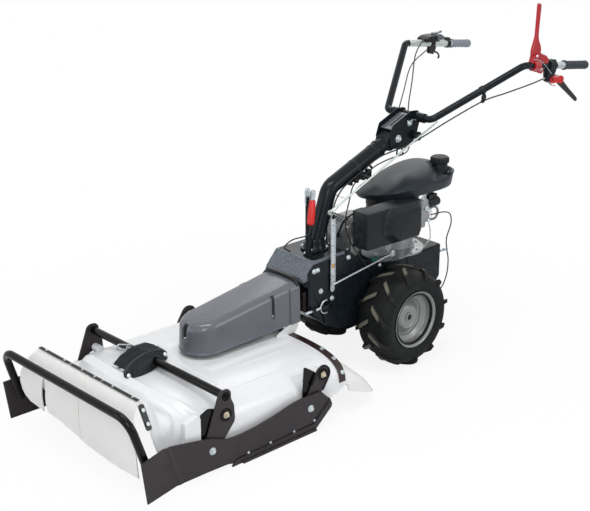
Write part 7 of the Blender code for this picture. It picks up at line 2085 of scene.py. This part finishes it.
def hand_grip(side):
    """A grip: a bulged end and a flange, and between them finger waves r = 0.0172 + 0.0012 * cos(2 pi * h
    / 0.0245) that are deepest below, with fine ribs above."""
    end = bar_at(0.989, side) + BAR_BACK * 0.006
    length = 0.166 if side == 1 else 0.13
    height = np.concatenate([np.linspace(0, 0.012, 10), np.linspace(0.0135, length - 0.013, 90),
        length - np.array([0.011, 0.009, 0.0065, 0.002, 0.0])])
    radius = np.interp(height, [0, 0.0012, 0.004, 0.009, 0.013, 0.018, length - 0.013, length - 0.009,
        length - 0.0065, length - 0.002, length], [0.008, 0.0135, 0.0172, 0.0186, 0.0186, 0.0174, 0.0172,
        0.0176, 0.0205, 0.0207, 0.0195])
    inside = (height > 0.014) & (height < length - 0.012)
    fade = window(height, 0.022, length - 0.023, 0.008) * inside
    angle = np.arange(48) / 48 * TURN
    toward = -BAR_BACK
    across = unit(np.cross(toward, ABOVE))
    above = np.cross(across, toward)
    spoke = across * np.cos(angle)[:, None] + above * np.sin(angle)[:, None]
    below = 0.35 + 0.65 * np.clip(-np.sin(angle), 0, 1)
    wave = 0.0012 * np.cos(TURN * height / 0.0245)[:, None] * fade[:, None] * below[None]
    ribs = 0.0003 * np.cos(TURN * height / 0.0035)[:, None] * window(height, 0.03, length - 0.027,
        0.004)[:, None]
    ribs = ribs * np.clip(np.sin(angle), 0, 1)[None]
    reach = radius[:, None] + wave + ribs
    points = end + toward * height[:, None, None] + spoke[None] * reach[..., None]
    first = np.broadcast_to(points[0].mean(0), (1, 48, 3))
    bore = [end + toward * h + spoke * 0.0146 for h in (length, 0.006)]
    last = np.broadcast_to(end + toward * 0.006, (1, 48, 3))
    return grid(np.concatenate([first, points, np.stack(bore), last]), False, True)


piece("left_hand_grip", hand_grip(1), GRIP, "handlebar", ["left_grip"])
piece("right_hand_grip", hand_grip(-1), PALE_GRIP, "handlebar", ["right_grip"])
piece("right_grip_clamp", join(sleeve(-1, 0.832, 0.85, 0.02), block((-0.333, 0.833, bar_at(0.84)[2] + 0.016),
    (-0.311, 0.849, bar_at(0.84)[2] + 0.027))), BLACK_PLASTIC, "handlebar", bevel=0.002)


# Tall red lever and its bracket

CLUTCH = np.array([BAR_X, 0.632, bar_at(0.632)[2] + 0.04])


def offset_outline(points, centre):
    """An outline measured from a pin, in the machine's own y and z."""
    return [(centre[1] + y, centre[2] + z) for y, z in points]


def red_bracket():
    """Folded bracket: a ring on the bar, two cheeks whose rear top edges are cut into teeth, and a cross
    piece in front and below."""
    teeth = []
    for k in range(4):
        y, z = 0.02 + 0.0125 * k, 0.006 - 0.0052 * k
        teeth += [(y, z), (y + 0.0045, z + 0.0042), (y + 0.0085, z + 0.0026), (y + 0.01, z - 0.003)]
    outline = [(-0.024, -0.052), (-0.028, -0.026), (-0.016, 0.006), (0.004, 0.013), (0.016, 0.01)] + teeth
    outline += [(0.078, -0.02), (0.083, -0.034), (0.076, -0.05), (0.056, -0.054), (0.04, -0.076),
        (0.014, -0.07)]
    parts = []
    for low, high in ((0.0078, 0.0106), (-0.0106, -0.0078)):
        parts.append(prism(offset_outline(outline, CLUTCH), 'X', BAR_X + low, BAR_X + high))
    parts.append(sleeve(1, 0.614, 0.653, 0.0225))
    parts.append(prism(offset_outline([(-0.027, -0.045), (-0.031, -0.026), (-0.0195, 0.004), (-0.017, 0.003),
        (-0.028, -0.026), (-0.0245, -0.045)], CLUTCH), 'X', 0.3115, 0.3325))
    parts.append(prism(offset_outline([(0.036, -0.078), (0.056, -0.056), (0.053, -0.053), (0.034, -0.074)],
        CLUTCH), 'X', 0.3115, 0.3325))
    return join(*parts)


piece("red_lever_bracket", red_bracket(), RED_PAINT, "handlebar", ["clutch_bracket"],
    bevel=0.0009)
piece("red_bracket_bolts", join(stick(CLUTCH - (0.0135, 0, 0), CLUTCH + (0.0135, 0, 0), 0.0033, 18),
    button(CLUTCH + (0.0108, 0, 0), LEFT, 0.0062, 0.0035), hex_bolt(CLUTCH + (0.0108, 0.03, -0.058), LEFT,
    0.0056), tube(spline([CLUTCH + (0.0118, -0.022, -0.01), CLUTCH + (0.0132, 0.02, -0.022),
    CLUTCH + (0.014, 0.062, -0.052), CLUTCH + (0.015, 0.098, -0.086)], 40), 0.0011, 8)), ZINC,
    "handlebar")


def tall_lever():
    """Side outline with a broad root and a slim blade; the section is rounded by a wide bevel."""
    outline = [(-0.018, -0.01), (0.01, -0.013), (0.026, 0.004), (0.03, 0.024), (0.0245, 0.042),
        (0.013, 0.062), (0.008, 0.082), (0.0085, 0.11), (0.0135, 0.192), (0.0115, 0.208), (0.004, 0.2125),
        (-0.003, 0.207), (-0.0035, 0.192), (-0.0065, 0.11), (-0.0085, 0.08), (-0.017, 0.056),
        (-0.027, 0.028), (-0.0275, 0.006)]
    line = spline(offset_outline(outline + outline[:1], CLUTCH), 110)[:-1]
    return prism(line, 'X', CLUTCH[0] - 0.0062, CLUTCH[0] + 0.0062)


piece("tall_red_lever", tall_lever(), RED_PAINT, "clutch_lever", ["clutch_lever"],
    bevel=0.0042, segments=4)


# Perch and lower lever on the left

PERCH = np.array([BAR_X, 0.739, bar_at(0.735)[2] - 0.058])


def perch():
    """A rounded housing and sleeve round the bar, the two ears of the lever's pin below, and the loop in
    front."""
    body = slab(offset_outline([(-0.027, -0.004), (-0.033, 0.06), (-0.029, 0.08), (0.023, 0.081),
        (0.03, 0.064), (0.029, 0.034), (0.017, 0.014), (0.009, -0.0085), (-0.016, -0.011)], PERCH),
        [0.006, 0.012, 0.008, 0.008, 0.01, 0.012, 0.006, 0.006, 0.006], 'X', 0.3105, 0.3335, 5)
    ears = [prism(link((PERCH[1], PERCH[2]), 0.012, (PERCH[1] - 0.002, PERCH[2] + 0.02), 0.014, 14), 'X',
        BAR_X + low, BAR_X + high) for low, high in ((0.0076, 0.011), (-0.011, -0.0076))]
    front = tube(filled(bent([PERCH + (0, -0.02, 0.05), PERCH + (0, -0.034, 0.034),
        PERCH + (0, -0.034, 0.006), PERCH + (0, -0.022, 0.004)], 0.008, 5), 0.004), 0.004, 12)
    return join(body, front, sleeve(1, 0.72, 0.752, 0.0235), *ears)


def perch_hook():
    """Small bent strip below the perch."""
    line = bent([PERCH + (0.0125, -0.026, -0.006), PERCH + (0.0125, 0.0, -0.024),
        PERCH + (0.0125, 0.026, -0.03)], 0.02, 6)
    return carried(filled(line, 0.004), [(-0.0014, -0.004), (0.0014, -0.004), (0.0014, 0.004),
        (-0.0014, 0.004)])


piece("lever_perch_body", perch(), BLACK_PLASTIC, "handlebar", ["lever_perch"],
    bevel=0.0022, segments=3)
piece("perch_bolts", join(stick(PERCH - (0.013, 0, 0), PERCH + (0.013, 0, 0), 0.0033, 18),
    button(PERCH + (0.012, 0.016, 0.046), LEFT, 0.005, 0.003),
    stick(PERCH + (0, -0.024, 0.01), PERCH + (0, -0.042, 0.007), 0.0036, 16)), ZINC, "handlebar")


def lever_root():
    """Two cheeks outside the perch and the block behind it that joins them."""
    cheek = [(-0.014, 0.004), (-0.01, -0.012), (0.01, -0.018), (0.04, -0.018), (0.062, -0.026),
        (0.078, -0.02), (0.08, -0.004), (0.062, 0.008), (0.04, 0.004), (0.02, 0.008), (0.004, 0.012)]
    line = spline(offset_outline(cheek + cheek[:1], PERCH), 80)[:-1]
    middle = bent(offset_outline([(0.034, -0.017), (0.04, -0.018), (0.062, -0.025), (0.077, -0.019),
        (0.079, -0.005), (0.062, 0.007), (0.04, 0.003), (0.034, 0.004)], PERCH), 0.002, 3, True)
    return join(prism(line, 'X', 0.334, 0.3376), prism(line, 'X', 0.3064, 0.31),
        prism(middle, 'X', 0.309, 0.335))


def lever_blade():
    """The blade's side outline with rounded corners, given its thickness."""
    outline = [(0.056, -0.008), (0.06, -0.03), (0.122, -0.074), (0.19, -0.123), (0.1985, -0.1275),
        (0.206, -0.119), (0.199, -0.108), (0.132, -0.054), (0.078, -0.006)]
    return slab(offset_outline(outline, PERCH), [0.004, 0.004, 0.04, 0.01, 0.004, 0.004, 0.02, 0.04, 0.004],
        'X', 0.3168, 0.3272, 5)


piece("lower_lever_root", lever_root(), RED_PLASTIC, "brake_lever", ["brake_lever"],
    bevel=0.0014, segments=4)
piece("lower_lever_blade", lever_blade(), CABLE, "brake_lever", bevel=0.003, segments=4)
piece("lower_lever_screw", button((0.3374, PERCH[1], PERCH[2]), LEFT, 0.0058, 0.0022), GLOSS_BLACK,
    "brake_lever")
piece("perch_hook", perch_hook(), STEEL, "handlebar", bevel=0.0004)


# Throttle box and small lever on the right

BOX_Z = bar_at(0.735)[2]


def throttle_base():
    """Black housing on the bar: a wedge in front, and the clamp round the bar."""
    wedge = slab([(0.668, BOX_Z + 0.017), (0.672, BOX_Z + 0.03), (0.694, BOX_Z + 0.0385),
        (0.738, BOX_Z + 0.0395), (0.746, BOX_Z + 0.015), (0.7, BOX_Z + 0.012)], 0.005, 'X', -0.3515, -0.2925,
        5)
    return join(wedge, sleeve(-1, 0.718, 0.744, 0.018))


def throttle_cover():
    """Grey rear part of the housing with its step."""
    return slab([(0.73, BOX_Z + 0.014), (0.732, BOX_Z + 0.04), (0.772, BOX_Z + 0.039),
        (0.794, BOX_Z + 0.025), (0.794, BOX_Z + 0.012)], 0.005, 'X', -0.348, -0.296, 5)


piece("throttle_base", throttle_base(), BLACK_PLASTIC, "handlebar", ["throttle_box"],
    bevel=0.003, segments=3)
piece("throttle_cover", throttle_cover(), COVER, "handlebar", bevel=0.0035, segments=3)
piece("throttle_thumb_lever", join(prism(link((-BAR_X, 0.745), 0.0112, (-0.32, 0.794), 0.0048, 20), 'Z',
    BOX_Z + 0.041, BOX_Z + 0.0465), stick((-0.3203, 0.79, BOX_Z + 0.044), (-0.3203, 0.79, BOX_Z + 0.05),
    0.0046, 20)), GREY_HOSE, "throttle_lever", ["throttle_lever"], bevel=0.0012)

SMALL = np.array([-BAR_X, 0.739, BOX_Z - 0.04])


def small_perch():
    """Dark bracket under the bar: broad above, narrow at the cable, with the two ears of the pin."""
    ears = [slab(offset_outline([(-0.024, 0.0265), (0.02, 0.0285), (0.012, 0.004), (0.002, -0.009),
        (-0.014, -0.006), (-0.026, 0.0)], SMALL), 0.003, 'X', -BAR_X + low, -BAR_X + high, 3)
        for low, high in ((0.0066, 0.0094), (-0.0094, -0.0066))]
    body = block(SMALL + (-0.009, -0.023, 0.012), SMALL + (0.009, -0.012, 0.025))
    return join(body, stick(SMALL + (0, -0.019, 0.0165), SMALL + (0, -0.033, 0.013), 0.004, 16), *ears)


def hooked_lever():
    """A flat lever that runs back and curls down: a rounded section carried on an arc-shaped line."""
    route = spline([SMALL + (0, -0.004, 0), SMALL + (0, 0.012, -0.001), SMALL + (0, 0.027, -0.004),
        SMALL + (0, 0.04, -0.0115), SMALL + (0, 0.048, -0.022), SMALL + (0, 0.047, -0.031),
        SMALL + (0, 0.04, -0.0325)], 60)
    size = np.interp(np.linspace(0, 1, 60), [0, 0.08, 0.3, 0.8, 0.95, 1.0],
        [0.0056, 0.0062, 0.0052, 0.004, 0.0046, 0.0026])
    return carried(route, circle(20) * (0.85, 1.0), size)


piece("small_perch", small_perch(), SKID, "handlebar", bevel=0.0012)
piece("small_hooked_lever", hooked_lever(), GLOSS_BLACK, "right_lever", ["right_lever"])
piece("small_lever_pin", stick(SMALL - (0.0115, 0, 0), SMALL + (0.0115, 0, 0), 0.0029, 16), ZINC,
    "handlebar")


# Cable guide under the left bar

def cable_guide():
    """Curved plate hanging from the bar, its clamp round the bar, the ring round the cable and a round
    stop."""
    top = bar_at(0.415)
    low = np.array([0.236, 0.415, 1.028])
    line = bent([top + (0, 0.006, -0.012), top + (0.004, 0.012, -0.03), low + (0, 0.002, 0.004)], 0.01, 6)
    plate = carried(filled(line, 0.004), [(-0.002, -0.01), (0.002, -0.01), (0.002, 0.01), (-0.002, 0.01)])
    along = unit(bar_at(0.5) - bar_at(0.4))
    clamp = turned([(0.0146, -0.008), (0.0172, -0.008), (0.0172, 0.008), (0.0146, 0.008)], top, along, 32,
        True)
    ring = turned([(0.0032, -0.006), (0.0066, -0.006), (0.0066, 0.006), (0.0032, 0.006)], low,
        (0.3, 0.8, 0.35), 20, True)
    stop = turned([(0, -0.005), (0.0095, -0.005), (0.0105, -0.003), (0.0105, 0.003), (0.0095, 0.005),
        (0, 0.005)], top + (0.012, -0.006, -0.026), (1, 0.2, 0), 28)
    return join(plate, clamp, ring, stop)


piece("cable_guide", cable_guide(), BLACK_PLASTIC, "handlebar", bevel=0.001)


# Control cables

def cable(name, points, radius, stretches, material=CABLE, replaced=()):
    """One smooth route, cut at its own points into stretches that each ride a body, or stay unattached
    where two bodies are named.
    """
    length = np.linalg.norm(np.diff(np.asarray(points), axis=0), axis=1).sum()
    route = spline(points, int(length / 0.005))
    marks = [int(np.argmin(np.linalg.norm(route - np.asarray(p), axis=1))) for p in points]
    marks[0], marks[-1] = 0, len(route) - 1
    for k, (first, last, holder) in enumerate(stretches):
        part = route[marks[first]:marks[last] + 1]
        held = None
        if isinstance(holder, tuple):
            held = (*holder, part[0] + (0, SHIFT, 0), part[-1] + (0, SHIFT, 0))
        piece("%s_%d" % (name, k + 1), tube(part, radius, 14), material, holder,
            replaced if k == 0 else (), held=held)


cable("clutch_cable", [(0.322, 0.7155, 1.094), (0.303, 0.64, 1.075), (0.268, 0.52, 1.05),
    (0.236, 0.415, 1.028), (0.15, 0.31, 0.95), (0.095, 0.235, 0.893), (0.062, 0.16, 0.856),
    column_at(0.26, 0.046, 0.006), column_at(0.16, 0.041, 0.01), column_at(0.04, 0.04, 0.016),
    (0.042, -0.238, 0.676), (0.046, -0.252, 0.59), (0.05, -0.248, 0.514)], 0.0029,
    [(0, 4, "handlebar"), (4, 7, ("handlebar", "column")), (7, 10, "column"),
    (10, 12, ("column", "chassis"))], replaced=["lever_cable"])
cable("engine_cable", [(-0.304, 0.6725, 1.17), (-0.298, 0.645, 1.168), (-0.262, 0.56, 1.12),
    (-0.205, 0.48, 1.03), (-0.145, 0.395, 0.955), (-0.085, 0.326, 0.895), (-0.03, 0.27, 0.85),
    (0.014, 0.226, 0.826), (0.044, 0.165, 0.818), (0.05, 0.08, 0.816), column_at(0.24, 0.04, 0.034),
    column_at(0.18, 0.033, 0.043), column_at(0.11, 0.036, 0.042), (0.052, -0.16, 0.69),
    (0.066, -0.195, 0.61), (0.094, -0.192, 0.535), (0.1165, -0.15, 0.456), (0.1173, -0.084, 0.374),
    (0.1173, 0.02, 0.296), (0.1173, 0.15, 0.222), (0.1173, 0.27, 0.18), (0.1165, 0.345, 0.2),
    (0.1175, 0.378, 0.255), (0.1175, 0.384, 0.32), (0.1175, 0.372, 0.372), (0.122, 0.362, 0.425),
    (0.134, 0.372, 0.49), (0.146, 0.35, 0.54), (0.16, 0.295, 0.566), (0.162, 0.24, 0.572),
    (0.162, 0.2058, 0.574)], 0.0026, [(0, 5, "handlebar"), (5, 9, ("handlebar", "column")),
    (9, 13, "column"), (13, 15, ("column", "chassis")), (15, 30, "chassis")], replaced=["throttle_cable"])
cable("small_lever_cable", [(-0.322, 0.7175, 1.119), (-0.314, 0.679, 1.112), (-0.286, 0.56, 1.07),
    (-0.206, 0.43, 0.996), (-0.13, 0.31, 0.925), (-0.066, 0.225, 0.886), (-0.056, 0.16, 0.85)], 0.0025,
    [(0, 6, "handlebar")], DARK_RED, ["right_cable"])
cable("front_loop_cable", [(0.076, -0.3965, 0.6458), (0.074, -0.408, 0.612), (0.03, -0.448, 0.59),
    (-0.01, -0.452, 0.552), (-0.03, -0.42, 0.526), (-0.034, -0.4, 0.514)], 0.0027,
    [(0, 2, ("swivel_lever", "column")), (2, 5, ("column", "chassis"))], replaced=["swivel_cable"])


# Inner parts that stay as they are made, with their finishes

for name, material in (("gearbox_housing", BLUE_BLACK), ("bevel_gearbox", CAST), ("spindle_housing", CAST),
        ("drive_pulley", STEEL), ("rotor_spindle", STEEL), ("knife_rotor", STEEL), ("left_knife", STEEL),
        ("right_knife", STEEL), ("pto_shaft", STEEL), ("wheel_axle", STEEL), ("drive_belt", BELT)):
    for held_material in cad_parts[name].material_slots:
        held_material.material = material


# Floor

FLOOR_HALF, FLOOR_COLOUR = 14.0, (0.97, 0.97, 0.97, 1.0)
FLOOR_FADE = (0.5, 1.9, 0.86, 1.0)


def floor():
    """A plain pale floor that keeps the contact shadow; far out it is as white as the background to the
    camera."""
    mesh = bpy.data.meshes.new("floor")
    corners = [(x * FLOOR_HALF, y * FLOOR_HALF, 0) for x, y in ((-1, -1), (1, -1), (1, 1), (-1, 1))]
    mesh.from_pydata(corners, [], [(0, 1, 2, 3)])
    made = bpy.data.objects.new("floor", mesh)
    bpy.context.scene.collection.objects.link(made)
    paint = bpy.data.materials.new("floor_finish")
    paint.use_nodes = True
    tree = paint.node_tree
    shader = tree.nodes["Principled BSDF"]
    wire(tree, shader, {"Base Color": FLOOR_COLOUR, "Roughness": 0.9, "Specular IOR Level": 0.0})
    white = node(tree, "Emission", {"Strength": 1.0, "Color": WHITE})
    reach = node(tree, "VectorMath", {0: node(tree, "TexCoord")["Object"]}, operation='LENGTH')["Value"]
    fade = remapped(tree, reach, *FLOOR_FADE, interpolation_type='SMOOTHSTEP')
    seen = combined(tree, 'MULTIPLY', node(tree, "LightPath")["Is Camera Ray"], fade)
    both = node(tree, "MixShader", {0: seen, 1: shader.outputs["BSDF"], 2: white["Emission"]})
    wire(tree, tree.nodes["Material Output"], {"Surface": both["Shader"]})
    mesh.materials.append(paint)


floor()
